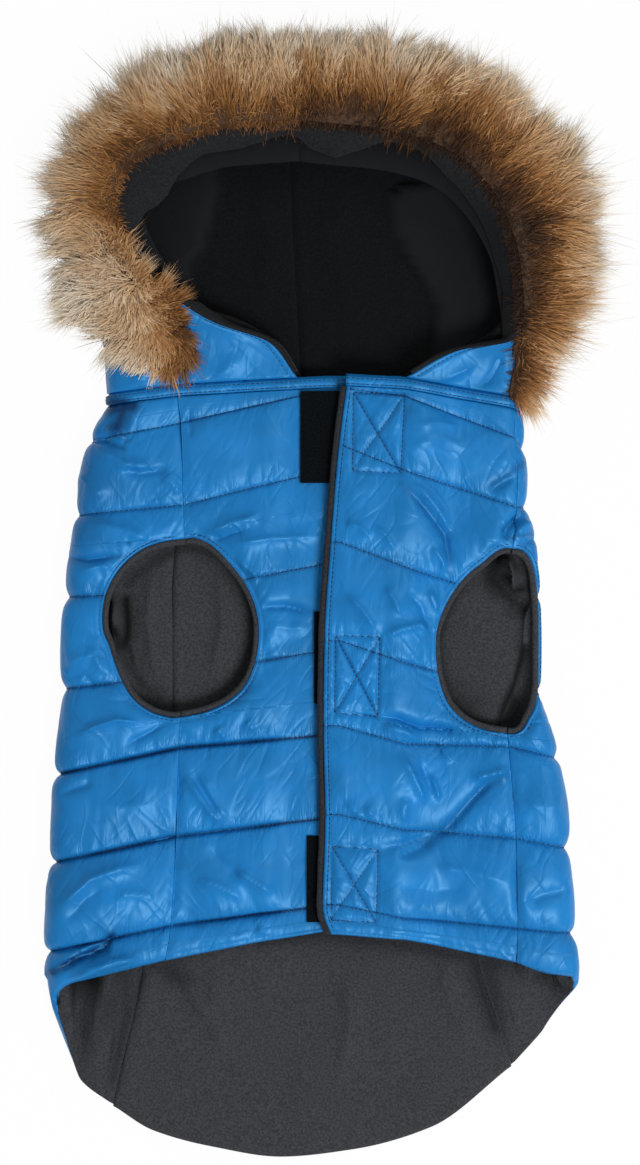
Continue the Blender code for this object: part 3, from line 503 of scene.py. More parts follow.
# How the armhole's reach departs from an even round, over its height (-1 top, 1 bottom)
HOLE_SKEW = {
    (1, "inner"): ((-1.0, -0.7, -0.4, 0.0, 0.5, 0.8, 1.0), (0.6, 0.72, 0.86, 1.0, 1.1, 1.2, 1.25)),
    (1, "outer"): ((-1.0, -0.85, -0.35, -0.1, 0.1, 0.4, 0.7, 0.88, 1.0),
                   (1.25, 1.13, 1.07, 1.02, 0.92, 0.83, 0.76, 0.66, 0.5)),
    (-1, "inner"): ((-1.0, -0.84, -0.7, -0.48, -0.27, 0.0, 0.4, 0.8, 1.0),
                    (0.47, 0.52, 0.64, 0.77, 0.87, 0.95, 0.96, 1.03, 1.05)),
    (-1, "outer"): ((-1.0, -0.88, -0.7, -0.4, 0.0, 0.3, 0.5, 0.75, 1.0),
                    (1.4, 1.38, 1.3, 1.2, 1.17, 1.17, 1.12, 0.97, 1.0)),
}

# The boxes stitched over the hook tapes, corner by corner
BOXES = (
    ((15.5, 105.5), (43.5, 104.0), (41.5, 61.0), (15.0, 62.5)),
    ((5.8, -27.5), (30.0, -28.5), (28.8, -71.8), (5.2, -70.0)),
    ((3.9, -143.0), (29.0, -144.5), (27.8, -184.6), (3.2, -183.4)),
)

# The fur, station by station along the hood: the pelt's reach from the side fold (0) to the rim
# (1), the way that the inner and the outer hairs point in degrees, their lengths, how far they
# stand up and how far their tips drop
(
    FUR_FROM, FUR_TO, FUR_ANGLE_IN, FUR_ANGLE_OUT,
    FUR_LONG_IN, FUR_LONG_OUT, FUR_LIFT, FUR_DROP,
) = range(1, 9)
FUR_LEFT = (
    # station  from  to  angle_in  angle_out  long_in  long_out  lift  drop
    (0.6, 0.26, 0.45, 272.0, 255.0, 23.0, 18.0, 7.0, 4.0),
    (1.0, 0.14, 0.50, 285.0, 238.0, 18.0, 18.0, 8.0, 4.0),
    (1.6, 0.08, 0.60, 318.0, 205.0, 16.0, 23.0, 9.0, 5.0),
    (2.1, 0.0, 0.75, 352.0, 190.0, 14.0, 26.0, 10.0, 6.0),
    (2.6, 0.0, 0.95, 395.0, 182.0, 14.0, 26.0, 10.0, 8.0),
    (2.9, 0.0, 1.0, 58.0, 178.0, 16.0, 26.0, 10.0, 9.0),
    (3.3, 0.0, 1.0, 78.0, 172.0, 15.0, 26.0, 10.0, 10.0),
    (3.8, 0.0, 1.0, 160.0, 174.0, 34.0, 27.0, 9.0, 12.0),
    (4.5, 0.0, 1.0, 160.0, 163.0, 40.0, 27.0, 9.0, 14.0),
    (5.0, 0.0, 1.0, 142.0, 148.0, 40.0, 28.0, 9.0, 15.0),
    (6.0, 0.05, 1.0, 117.0, 115.0, 40.0, 28.0, 9.0, 15.0),
    (7.0, 0.1, 1.0, 98.0, 98.0, 40.0, 22.0, 9.0, 15.0),
    (8.0, 0.25, 1.0, 90.0, 92.0, 40.0, 18.0, 9.0, 15.0),
)
FUR_RIGHT = (
    (0.0, -0.05, 0.12, -60.0, -42.0, 18.0, 20.0, 7.0, 5.0),
    (1.0, -0.05, 0.16, -40.0, -20.0, 26.0, 28.0, 8.0, 6.0),
    (1.7, 0.0, 0.55, -15.0, -5.0, 34.0, 34.0, 9.0, 8.0),
    (2.4, 0.0, 0.95, -2.0, 0.0, 42.0, 34.0, 10.0, 12.0),
    (3.0, 0.0, 1.0, 5.0, 8.0, 44.0, 31.0, 10.0, 14.0),
    (4.0, 0.0, 1.0, 20.0, 22.0, 46.0, 27.0, 9.0, 15.0),
    (5.0, 0.0, 1.0, 33.0, 32.0, 46.0, 29.0, 9.0, 15.0),
    (6.0, 0.05, 1.0, 45.0, 42.0, 42.0, 30.0, 9.0, 15.0),
    (7.0, 0.1, 1.0, 66.0, 65.0, 40.0, 24.0, 9.0, 15.0),
    (8.0, 0.25, 1.0, 90.0, 88.0, 40.0, 18.0, 9.0, 15.0),
)
HAIRS = 50000  # on each side
HAIR_WIDE = 0.40
RIBBON_ROLL = 24.0
RIBBON_TAPER = (1.0, 0.85)  # share of the width at the root and in the middle
RIBBON_UNEVEN = (0.7, 0.6)  # least share of the width, and its range
PELT_GRID = (60, 7)
PELT_TOP = 2.2
PELT_UNDER = 0.7
PELT_LINE = 0.4  # from the fold (0) to the rim (1), where the hairs are counted out
PELT_NARROW = 9.0  # a narrower pelt gets as many hairs as this
ROOT_STATIONS = 400
UPRIGHT = 0.5  # leans the roots' normals upwards
FUR_TOP = 57.0  # no tip stands higher
FUR_REACH = 173.0  # and none lies further out
OVER_RIM = 6.0  # how far the last roots lie inside the rim
TUFT = 7.0  # size of a tuft
TUFT_ACROSS = 30.0  # width of the trim, in which tufts are laid out
TUFT_MARGIN = 0.15  # a tuft's middle stays this far inside its cell
TUFT_POINT = (1.14, 0.5)  # share of the length at a tuft's middle, and what its edge loses
CLUMP = 0.85  # how far a tuft's tips are pulled together
UNDERCOAT_CLUMP = 0.4  # share of that pull on the undercoat
MIDDLE_CLUMP = 0.35  # and on the middle of a hair
TUFT_TURN = 24.0  # degrees that one tuft turns from the next
TUFT_GROWTH = 0.18  # share by which its length differs
WAVE_TURN = 18.0
WAVE_SIZE = (26.0, 22.0)  # along the trim and across it
HAIR_TURN = 9.0
HAIR_GROWTH = 0.12
ANGLE_FROM = 0.3  # share of the pelt from which the outer angle goes over into the inner one
ANGLE_BLEND = 0.6
LIFT_UNEVEN = (0.25, 0.15)  # from tuft to tuft, and from hair to hair
DROP_UNEVEN = 0.2
CURL = 0.10  # share of the length by which a tip turns aside
CURL_UNEVEN = 0.4
MIDDLE_OUT = 0.42  # share of the length at which the middle of a hair lies
MIDDLE_LIFT = 0.7  # shares of its lift, square to the hood and upwards
MIDDLE_UP = 0.5
TIP_OUT = 0.93
TIP_LOW = 1.0  # no tip lies lower
TIP_UNEVEN = 3.0  # softens the two limits of the tips
MIDDLE_OVER_TOP = 4.0
HAIR_WIGGLE = (0.0, 0.4, 0.7)  # at the root, the middle and the tip
UNDERCOAT = (0.3, 0.55)  # share of short hairs, and their share of the length
GUARD = (0.03, 1.3)  # the same for the long ones
FRINGE = 0.03  # share of hairs that grow over the rim into the hood
FRINGE_LONG = 9.0
FRINGE_FROM = {1: 3.2, -1: 2.3}  # first hood row with fringe, by side
FRINGE_TURN = 30.0
FRINGE_ROOTS = (0.78, 0.22)  # where on the pelt they start, and how wide their strip is
FRINGE_UNEVEN = 0.25
FRINGE_BACK = -0.3  # share of OVER_RIM
FRINGE_SHOWN = 0.5  # they show the lower half of the colours
OVER_FROM = 0.6  # share of the pelt from which roots lie over the rim
OVER_BLEND = 0.4
OVER_ROWS = 0.6  # rows before the fringe in which they do too
FILLER = 0.33  # share of short hairs that lie every way
FILLER_LONG = 15.0
FILLER_TURN = 70.0
FILLER_SHARE = 0.6  # of the length
FILLER_NEAR_RIM = 0.7  # share of the pelt from which they grow
FILLER_TO = {1: 3.5, -1: 1.6}  # last hood row with them all over
FILLER_TONE = {1: (0.12, 0.5), -1: (0.0, 0.42)}  # at the root, and gained by the tip
PALER_FROM = 0.3
PALER_BLEND = 0.4
FUR_PALER = {  # how much paler the inner hairs are, by hood row
    1: ((0.0, 1.6, 2.4, 2.9, 3.4, 3.9, 8.0), (-0.2, -0.15, 0.1, 0.4, 0.3, 0.0, 0.05)),
    -1: ((0.0, 2.0, 3.0, 8.0), (0.15, 0.1, 0.0, 0.05)),
}
RIGHT_FROM = 1000.0  # the places of the right side's hairs start here
BAKE_LONG, BAKE_BANDS, BAKE_HALF = 520.0, 14, 0.0016  # the hairs' chart for baked colour
BAKE_TONES = (-0.5, 1.5)  # the lowest tone of the chart, and the range of the tones
BAKE_MARGIN = 0.04  # of each band
BAKE_RANGE = (0.001, 0.999)
RIM_STEP = 0.05  # rows, to find the way along the rim

# Colours
NYLON_BLUE = (0.011, 0.205, 0.56)
GLOSS_TINT = (0.35, 0.72, 1.0)
# Painted shade of the nylon's valleys, box lines, folds and tucks
PAINTED_SHADE_BLUE = (0.0015, 0.026, 0.115)
FLEECE_GREY = (0.046, 0.048, 0.054)
# Painted shade of the fleece's troughs, folds and armholes
PAINTED_SHADE_GREY = (0.003, 0.0032, 0.0038)
# Painted shade inside the hood: darker copies of the grey fleece for its lining and its facing, and a
# lighter one as painted light on the lining's raised folds
HOOD_SHADED_GREY = (0.0058, 0.0063, 0.0072)
FOLD_LIT_GREY = (0.0115, 0.0125, 0.0145)
FACING_SHADED_GREY = (0.0165, 0.0175, 0.0195)
TAPE_BLACK = (0.005, 0.007, 0.009)
THREAD_NAVY = (0.004, 0.024, 0.10)
FUR_TAN = (0.24, 0.13, 0.058)
FUR_STOPS = (  # from root to tip
    (0.0, (0.028, 0.013, 0.007)),
    (0.22, (0.13, 0.054, 0.018)),
    (0.45, (0.45, 0.205, 0.065)),
    (0.68, (0.76, 0.50, 0.27)),
    (1.0, (0.95, 0.84, 0.68)),
)
FUR_DARK = (0.045, 0.032, 0.027)
FUR_BACKING = (0.07, 0.034, 0.016)

# How much lighter the fur gets towards its tips and towards the hood's outside
FUR_START = 0.08
FUR_TO_TIP = 0.48
FUR_TO_OUTSIDE = 0.74
FUR_RIGHT_DARKER = 0.26

NYLON_ROUGHNESS = 0.40
NYLON_SPECULAR = 0.6
NYLON_PATCHES = (0.03, 0.02, 0.03)  # size each way in metres, and so with the others
NYLON_TONES = (0.86, 1.08)  # shares of the colour, and so with the others
NYLON_WAVES = (0.009, 0.022, 0.02)
NYLON_WAVE_TURN = 25.0
NYLON_WAVE = 0.7
NYLON_WEAVE = (0.0008, 0.0008, 0.0008)
NYLON_WEAVE_BUMP = (0.12, 0.0001)  # strength and height, and so with the others
PULL_SIZE = (3.2, 26.0, 1.0)  # in millimetres along a quilt line, away from it
PULL_WIDTH = 0.12
RIDGE_POWER = 1.6
WRINKLE_UPWARD = 0.02
WRINKLE_PATCH = (0.46, 0.6)  # where a patch starts to show them, and shows them fully
FLEECE_ROUGHNESS = 0.95
FLEECE_SPECULAR = 0.1
FLEECE_SHEEN = 0.05
NAP_SIZE = (0.0012, 0.0012, 0.0012)
NAP_DETAIL = 3.0
NAP_TONES = (0.72, 1.28)
NAP_STOPS = (0.35, 0.65)
NAP_BUMP = (0.5, 0.0009)
PILE_ROUGHNESS = 0.9
PILE_SPECULAR = 0.05
PILE_SCALE = 1100.0
PILE_TONES = (0.3, 1.2)
PILE_UNEVEN = 0.6
PILE_BUMP = (0.7, 0.0008)
FUR_ROUGHNESS = 0.62
FUR_SPECULAR = 0.15
ON_RIGHT = (600.0, 900.0)  # between the places of the left side's hairs and the right side's
AT_ROOT = (0.9, 0.1)
NEAR_TIP = (0.68, 0.95)
HAIR_STREAKS = (0.48, 0.017, 1.7)  # sizes along the trim, across it and down a hair
HAIR_SWING = 0.46
LOCK_STREAKS = (34.0, 0.8, 5.0)
LOCK_SWING = 0.8
DARK_TIP_STREAKS = (8.0, 0.33, 3.3)
DARK_TIP_FROM = (0.5, 0.6)
DARK_TIP = 0.8
STRAND_STREAKS = (0.31, 0.011, 9.0)
STRAND_FROM = (0.58, 0.67)
DARK_STRAND = 0.75
WRINKLE_HEIGHT = 0.0003
SEAM_PULL = 1.0
# Fine creases of the nylon: size across and along in metres, turn in degrees, width of a line,
# height and the size of the patches that show them
WRINKLES = (
    ((0.011, 0.040), -38.0, 0.10, 0.9, 0.040),
    ((0.010, 0.036), 34.0, 0.10, -0.8, 0.036),
    ((0.009, 0.030), 4.0, 0.10, 0.45, 0.034),
)

# Light and camera
FLOOR_GLOW = 0.97
FLOOR_SIZE = 24.0
FLOOR_WHITE = (0.9, 0.9, 0.9)
FLOOR_ROUGHNESS = 0.9
WORLD_LIGHT = 0.32
LIGHTS = (
    # name  place  size  power
    ("key", (0.85, -1.1, 2.0), 1.0, 36.0),
    ("left", (-1.5, 0.7, 1.8), 1.0, 1.2),
    ("right", (1.5, 0.8, 1.8), 1.0, 7.5),
)
VIEW_X = -0.00245
VIEW_Y = 0.0021
VIEW_Z = 0.015
VIEW_HEIGHT = 0.64075
CAMERA_DISTANCE = 2.2
SENSOR = 36.0
NEAR_CLIP = 0.1
FAR_CLIP = 20.0

# ---------------------------------------------------------------- creases and shade by place

# Ridges and troughs of the shell: height, half width and the points that each one passes
CREASES = (
    (1.6, 5.0, ((-127.0, 78.0), (-111.5, 66.5), (-90.0, 64.0))),
    (-1.4, 3.0, ((-114.0, 63.5), (-102.0, 61.5), (-85.0, 63.5))),
    (1.2, 6.0, ((-134.0, 62.5), (-128.0, 55.0), (-122.0, 46.0))),
    (1.0, 4.0, ((-90.0, 60.5), (-84.0, 56.5), (-79.0, 49.5))),
    (1.4, 6.0, ((-130.5, 35.0), (-111.5, 30.5), (-92.5, 24.0))),
    (-1.6, 4.0, ((-143.5, 15.5), (-129.0, 14.0), (-111.5, 16.5))),
    (1.0, 5.0, ((-135.0, 7.0), (-124.0, 10.5), (-114.0, 9.5))),
    (1.3, 4.0, ((-69.0, 26.5), (-52.5, 33.5), (-40.0, 37.0), (-36.5, 31.5))),
    (-1.0, 4.0, ((-65.5, 22.5), (-51.0, 28.5), (-41.0, 31.0))),
    (1.1, 5.0, ((-54.5, 22.0), (-30.5, 25.5), (0.5, 27.0))),
    (1.2, 5.0, ((-51.0, 14.0), (-41.0, 8.0), (-34.5, 1.5))),
    (-1.6, 3.0, ((-38.0, -12.5), (-22.0, -11.5), (-6.0, -15.0))),
    (1.0, 6.0, ((-34.5, -20.5), (-19.0, -23.5), (-7.0, -22.5))),
    (1.0, 5.0, ((-142.5, -43.5), (-127.0, -37.5), (-120.5, -51.0))),
    (-0.9, 4.0, ((-143.5, -52.5), (-132.5, -48.0), (-125.0, -58.0))),
    (1.6, 4.0, ((-138.5, -84.0), (-126.5, -77.5), (-114.0, -73.5), (-98.0, -76.0))),
    (-1.2, 3.5, ((-111.0, -88.5), (-97.5, -81.5), (-85.0, -74.0))),
    (1.7, 3.5, ((-78.5, -102.0), (-70.5, -113.0), (-62.0, -125.5), (-54.5, -133.0))),
    (1.4, 4.0, ((-70.0, -102.5), (-61.0, -116.5), (-52.5, -130.5))),
    (-1.1, 4.0, ((-74.0, -100.5), (-66.0, -114.5), (-58.0, -128.5))),
    (1.0, 4.0, ((-59.5, -77.5), (-54.5, -85.0))),
    (0.9, 4.0, ((-43.5, -74.0), (-38.0, -80.5))),
    (1.9, 5.0, ((-146.0, -181.5), (-139.0, -171.0), (-129.0, -161.0), (-114.0, -155.5), (-97.0, -153.0))),
    (-1.0, 6.0, ((-142.5, -187.0), (-132.5, -173.0), (-118.5, -163.5))),
    (1.0, 4.0, ((-115.5, -174.5), (-110.0, -169.0), (-100.5, -169.5), (-91.5, -172.0))),
    (-1.3, 7.0, ((-64.5, -141.5), (-56.5, -152.5), (-44.0, -162.0))),
    (1.4, 4.0, ((-51.0, -155.5), (-40.0, -162.0), (-27.0, -169.5))),
    (1.2, 4.0, ((-74.0, -161.0), (-60.5, -164.0), (-49.5, -169.0), (-44.0, -175.0))),
    (1.1, 3.0, ((-38.0, -181.5), (-34.5, -187.0), (-36.0, -193.0))),
    (-1.1, 4.0, ((-144.5, -115.0), (-136.0, -111.0), (-126.0, -108.0))),
    (-3.4, 3.0, ((-117.0, -192.0), (-121.0, -198.8), (-128.6, -202.0), (-137.0, -204.9), (-149.5, -213.5))),
    (1.8, 3.0, ((-119.0, -194.5), (-130.3, -198.2), (-138.8, -202.9), (-146.5, -208.5))),
    (2.8, 5.0, ((-98.0, -204.0), (-115.0, -206.5), (-129.0, -211.5), (-142.0, -218.0))),
    (0.8, 8.0, ((-129.0, -118.5), (-113.0, -121.5), (-91.0, -120.0))),
    (-0.6, 5.0, ((-110.0, 102.0), (-114.5, 90.0), (-114.5, 84.0))),
    (1.4, 3.0, ((-121.0, 87.0), (-114.0, 83.5), (-108.0, 79.5))),
    (-1.6, 2.0, ((-133.0, 80.5), (-121.0, 79.5), (-110.0, 74.5))),
    (-0.8, 1.8, ((-75.5, 97.5), (-74.0, 88.5), (-73.0, 80.0))),
    (-1.6, 5.0, ((40.5, 58.0), (54.5, 42.5), (65.5, 28.0), (70.0, 6.5))),
    (1.2, 4.0, ((47.0, 58.0), (60.0, 42.5), (70.0, 27.0))),
    (1.1, 4.0, ((56.5, 22.0), (63.5, 14.0), (66.5, 5.5))),
    (1.1, 4.0, ((10.0, 34.0), (19.0, 32.0), (26.0, 25.0))),
    (1.0, 4.0, ((26.0, 33.5), (33.5, 27.0), (39.0, 18.0))),
    (1.3, 4.5, ((11.0, -4.0), (20.5, -14.0), (29.0, -26.0))),
    (1.1, 4.0, ((32.5, 0.0), (37.5, -8.0), (41.0, -17.0))),
    (-1.2, 5.0, ((43.5, -3.0), (52.5, -11.5), (56.5, -23.5))),
    (1.5, 3.5, ((31.0, -28.5), (41.0, -24.0), (50.5, -21.5), (58.0, -28.5))),
    (1.0, 4.0, ((54.5, -1.5), (60.0, -10.0), (64.0, -19.0))),
    (0.9, 6.0, ((47.0, 87.0), (60.5, 88.5), (75.5, 86.5))),
    (0.8, 5.0, ((45.5, 76.5), (63.5, 80.0), (81.0, 74.0))),
    (-1.6, 3.5, ((88.5, 51.0), (96.5, 55.5), (106.0, 61.0))),
    (-2.2, 3.0, ((97.0, 23.0), (100.0, 31.5), (109.5, 40.0))),
    (1.4, 4.0, ((103.0, 27.5), (107.5, 32.5), (112.0, 36.0))),
    (-1.8, 2.5, ((103.0, 20.5), (109.5, 23.0), (115.5, 26.0))),
    (-2.2, 3.5, ((27.0, -71.5), (40.0, -73.0), (52.5, -78.0), (61.0, -78.0), (80.0, -81.5))),
    (1.4, 4.0, ((30.5, -76.5), (42.5, -80.0), (51.0, -85.0))),
    (1.6, 3.5, ((40.0, -89.5), (43.0, -97.5), (47.0, -107.5), (53.0, -121.5))),
    (1.4, 3.5, ((55.5, -103.0), (59.0, -110.5), (62.0, -119.0))),
    (-1.1, 3.5, ((50.0, -94.0), (54.5, -104.5), (58.0, -115.5))),
    (1.1, 3.0, ((61.0, -85.0), (65.5, -92.0), (71.5, -97.5))),
    (-2.2, 4.5, ((100.5, -104.0), (89.5, -108.5), (80.0, -118.5), (69.0, -131.5), (56.5, -141.5))),
    (-1.8, 4.5, ((62.0, -137.5), (52.0, -144.0), (37.0, -149.0))),
    (1.6, 4.0, ((80.0, -106.5), (89.5, -104.0), (102.0, -100.5))),
    (-1.6, 3.5, ((28.0, -144.5), (41.0, -142.0), (54.5, -138.0), (64.0, -136.5))),
    (1.2, 7.0, ((55.5, -154.5), (75.5, -156.0), (104.0, -163.5))),
    (-1.4, 6.0, ((108.5, -174.5), (120.5, -169.5), (132.5, -167.0))),
    (1.2, 3.0, ((43.5, -116.0), (42.0, -122.5), (42.5, -130.5))),
    (1.0, 4.0, ((11.0, -118.5), (16.0, -123.0), (21.0, -128.0))),
    (1.0, 4.0, ((21.5, -121.5), (27.0, -126.5))),
    (-1.0, 10.0, ((37.0, -164.5), (58.0, -168.0), (80.0, -165.5))),
    (0.9, 8.0, ((107.5, -118.5), (118.5, -121.5), (129.0, -120.0))),
    (1.2, 5.0, ((59.0, -204.0), (74.0, -205.0), (91.0, -210.5))),
)
FLEECE_CREASES = (
    (2.0, 6.0, ((-108.0, -222.0), (-120.0, -238.0), (-133.0, -256.0))),
    (1.6, 7.0, ((-60.0, -205.0), (-62.0, -232.0), (-56.0, -262.0))),
    (1.4, 8.0, ((10.0, -208.0), (14.0, -240.0), (6.0, -280.0))),
    (1.5, 7.0, ((62.0, -205.0), (70.0, -232.0), (84.0, -255.0))),
    (-5.0, 2.6, ((-109.0, 0.0), (-108.0, -14.0), (-109.0, -30.0), (-106.5, -42.0), (-101.0, -52.0))),
    (6.0, 4.0, ((-116.0, -2.0), (-115.5, -28.0), (-113.0, -42.0), (-106.0, -54.0))),
    (9.0, 5.5, ((95.0, 17.0), (103.0, 6.0), (110.0, -1.0), (117.0, -5.0))),
    (-7.0, 4.0, ((88.0, 14.0), (95.0, 1.0), (103.0, -8.5), (112.0, -12.5), (121.0, -10.0))),
    (-2.4, 3.5, ((-108.0, -214.0), (-112.0, -236.0), (-118.0, -258.0), (-122.0, -284.0))),
    (3.5, 6.0, ((-120.0, -214.0), (-124.0, -232.0), (-132.0, -254.0))),
    (-3.6, 5.0, ((-134.0, -212.0), (-138.0, -226.0), (-143.0, -240.0))),
    (2.0, 8.0, ((-84.0, -206.0), (-72.0, -226.0), (-62.0, -244.0))),
    (-3.6, 4.0, ((80.0, -200.0), (86.0, -222.0), (94.0, -244.0), (99.0, -256.0))),
    (3.2, 7.0, ((92.0, -203.0), (99.0, -224.0), (108.0, -242.0))),
    (-4.6, 3.5, ((116.0, -206.0), (125.0, -217.0), (134.0, -226.0))),
    (3.4, 5.0, ((124.0, -204.0), (131.0, -213.0), (139.0, -220.0))),
    (-3.0, 4.0, ((-150.0, -208.0), (-128.0, -212.0), (-104.0, -210.0), (-90.0, -206.0))),
    (-3.0, 4.0, ((70.0, -196.0), (92.0, -202.0), (112.0, -208.0), (132.0, -214.0))),
    (1.6, 6.0, ((-95.0, 14.0), (-98.0, -20.0), (-92.0, -58.0))),
    (1.6, 6.0, ((-60.0, 8.0), (-56.0, -20.0), (-62.0, -52.0))),
)
HOOD_CREASES = (
    (1.5, 5.0, ((-108.0, 107.0), (-96.0, 118.0), (-84.0, 126.0))),
    (-1.3, 4.0, ((-90.0, 108.0), (-78.0, 118.0), (-70.0, 130.0))),
    (1.2, 5.0, ((-62.0, 110.0), (-52.0, 120.0), (-48.0, 128.0))),
    (1.2, 5.0, ((60.0, 108.0), (70.0, 116.0), (84.0, 122.0))),
    (-1.2, 4.0, ((84.0, 106.0), (92.0, 116.0), (98.0, 128.0))),
)
HOOD_FOLDS = (
    (-1.4, 1.6, ((-15.0, 236.0), (-18.0, 190.0), (-15.0, 150.0), (-13.0, 118.0))),
    (1.6, 8.0, ((-40.0, 226.0), (-30.0, 190.0), (-34.0, 150.0))),
    (2.0, 9.0, ((6.0, 222.0), (2.0, 190.0), (14.0, 160.0), (20.0, 135.0))),
)
# Folded edges: height, fade of the fold behind the edge, side on which the cloth is raised (1 is
# to the left of the way that the points run), and the edge's points
SHELL_EDGES = (
    (1.3, 14.0, 1.0, ((-101.0, 108.0), (-104.0, 99.0), (-107.5, 91.0), (-109.0, 81.0))),
    (2.0, 9.0, -1.0, ((-117.0, -192.0), (-121.0, -198.8), (-128.6, -202.0), (-137.0, -204.9),
                      (-149.5, -213.5))),
)
FLEECE_EDGES = (
    (5.0, 26.0, -1.0, ((122.0, -22.0), (114.0, -37.0), (106.5, -56.0), (96.5, -76.0))),
)
LINING_EDGES = (
    (7.0, 45.0, 1.0, ((74.0, 226.0), (63.8, 224.0), (52.0, 221.5), (40.0, 218.5), (36.0, 212.0),
                      (36.5, 205.0), (43.5, 186.5), (55.0, 168.0), (61.5, 157.0), (62.5, 139.0),
                      (60.0, 120.0))),
    (5.0, 30.0, -1.0, ((-56.0, 240.0), (-58.3, 232.0), (-64.0, 205.0), (-66.6, 186.5),
                       (-74.5, 179.5), (-78.5, 160.0), (-80.0, 140.0))),
)
# Painted shade where a fold lies in its own shade: strength, half width, path
SHELL_SHADE = (
    (1.0, 4.4, ((-119.0, 97.0), (-112.0, 97.0), (-105.5, 98.5))),
    (0.9, 5.2, ((-110.5, 98.0), (-112.5, 91.0), (-114.5, 86.5))),
    (0.28, 14.0, ((-128.0, 72.0), (-124.0, 52.0), (-132.0, 30.0))),
    (0.12, 14.0, ((-140.0, -95.0), (-144.0, -130.0), (-140.0, -172.0))),
    (0.45, 1.2, ((-133.0, 80.5), (-121.0, 79.5), (-110.0, 74.5))),
    (1.0, 2.4, ((-149.5, -213.5), (-143.8, -208.8), (-137.0, -204.9), (-128.6, -202.0), (-121.0, -198.8),
                 (-117.0, -192.0))),
    (0.45, 2.4, ((91.7, 55.6), (103.4, 63.2), (108.0, 67.0))),
    (0.5, 1.2, ((98.0, 30.0), (103.5, 36.0), (109.5, 41.5))),
    (0.4, 1.2, ((99.0, 25.0), (105.0, 26.5), (112.0, 27.5))),
    (0.35, 3.0, ((99.0, -105.5), (89.0, -110.5), (79.0, -120.0), (68.0, -132.5), (56.0, -142.5))),
    (0.28, 2.4, ((41.0, 56.0), (54.5, 41.0), (65.0, 26.5), (69.5, 6.5))),
    (0.25, 1.6, ((-132.5, 86.0), (-118.5, 84.5), (-108.0, 79.0))),
    (0.3, 1.8, ((-143.5, 14.5), (-129.0, 13.0), (-111.5, 15.5))),
)
FLEECE_SHADE = (
    (0.95, 3.2, ((-109.8, -8.0), (-108.6, -20.0), (-109.2, -29.5), (-112.2, -35.0))),
    (0.95, 2.6, ((-116.0, -24.0), (-113.3, -30.0), (-112.2, -35.0))),
    (0.45, 3.2, ((-108.6, 0.4), (-102.6, 6.3), (-93.0, 13.5), (-82.3, 18.9), (-75.1, 20.7), (-64.3, 18.3),
                 (-54.8, 11.1), (-47.6, 0.4), (-42.8, -10.4), (-39.2, -21.2), (-39.8, -33.1), (-44.0, -43.9),
                 (-50.0, -53.4), (-59.5, -61.8), (-69.1, -67.2), (-78.7, -69.0), (-87.0, -66.6),
                 (-96.6, -59.4), (-103.8, -51.1), (-109.8, -41.5), (-113.3, -34.3))),
    (0.5, 7.0, ((-96.0, -62.0), (-78.0, -72.0), (-58.0, -66.0))),
    (0.85, 3.0, ((101.0, 14.5), (100.0, 5.0), (105.0, -1.9), (110.0, -3.1), (115.0, -1.9))),
    (0.7, 5.5, ((92.0, 12.0), (92.0, 4.0), (97.0, -1.0))),
    (0.6, 2.2, ((101.0, 13.8), (107.5, 9.9))),
    (0.3, 3.5, ((103.7, -14.9), (110.0, -12.5), (116.0, -8.8))),
    (0.9, 2.4, ((114.6, -34.0), (110.6, -42.4), (105.8, -52.5), (99.0, -66.3), (95.4, -77.0))),
    (0.7, 5.0, ((104.0, -64.0), (100.0, -74.0))),
    (0.5, 2.6, ((85.0, 11.3), (80.0, 6.3), (71.3, -6.3), (66.3, -17.5), (63.1, -28.8), (63.1, -40.0),
                (66.3, -52.5), (71.3, -62.5), (77.5, -71.3), (85.0, -75.6), (93.8, -76.3))),
    (0.4, 7.0, ((72.0, -62.0), (80.0, -70.0))),
    (0.95, 3.4, ((-141.0, -217.5), (-133.0, -219.0), (-125.0, -217.5))),
    (0.35, 5.5, ((-110.0, -214.0), (-118.5, -234.4), (-130.3, -251.0))),
    (0.45, 2.6, ((-101.0, -216.0), (-106.0, -231.0), (-109.8, -241.5), (-113.5, -258.0), (-116.0, -272.0))),
    (0.35, 5.0, ((-90.0, -211.0), (-84.0, -216.0), (-76.0, -218.0))),
    (0.45, 6.0, ((80.0, -203.0), (86.0, -222.0), (94.0, -244.0))),
    (0.45, 4.0, ((118.0, -212.0), (126.0, -219.0), (136.0, -222.0))),
    (0.4, 4.0, ((-36.0, -196.0), (0.0, -192.0), (40.0, -198.0), (80.0, -206.0), (104.0, -212.0))),
)
# Painted shade at the neck seam's left end, where it curls under itself
BINDING_SHADE = (
    (0.95, 3.6, ((-124.0, 100.5), (-118.0, 101.0), (-110.0, 100.0))),
)
# The facing's free edge, from the neck's left round to its right
FACING_EDGE = (
    (-115.0, 172.0), (-108.0, 188.0), (-102.3, 196.0), (-98.0, 203.0), (-91.0, 207.0),
    (-86.0, 212.0), (-80.0, 223.0), (-73.0, 230.0), (-66.5, 234.5), (-57.0, 236.0),
    (-47.0, 237.5), (-36.0, 241.0), (-20.5, 245.5), (-14.0, 243.5), (-8.0, 237.5),
    (6.0, 232.5), (20.0, 237.0), (32.0, 241.5), (44.0, 240.0), (55.0, 234.5),
    (64.0, 224.5), (76.0, 212.0), (86.0, 196.0), (92.0, 178.0), (97.0, 160.0),
)


# ---------------------------------------------------------------- curves

def ease(t):
    """0 to 1 with a flat start and end."""
    t = np.clip(t, 0.0, 1.0)
    return t * t * (3.0 - 2.0 * t)


def quarter(t):
    """A quarter circle's height over its width, flat at 1 and beyond."""
    t = np.clip(t, 0.0, 1.0)
    return np.sqrt(1.0 - (1.0 - t) ** 2)


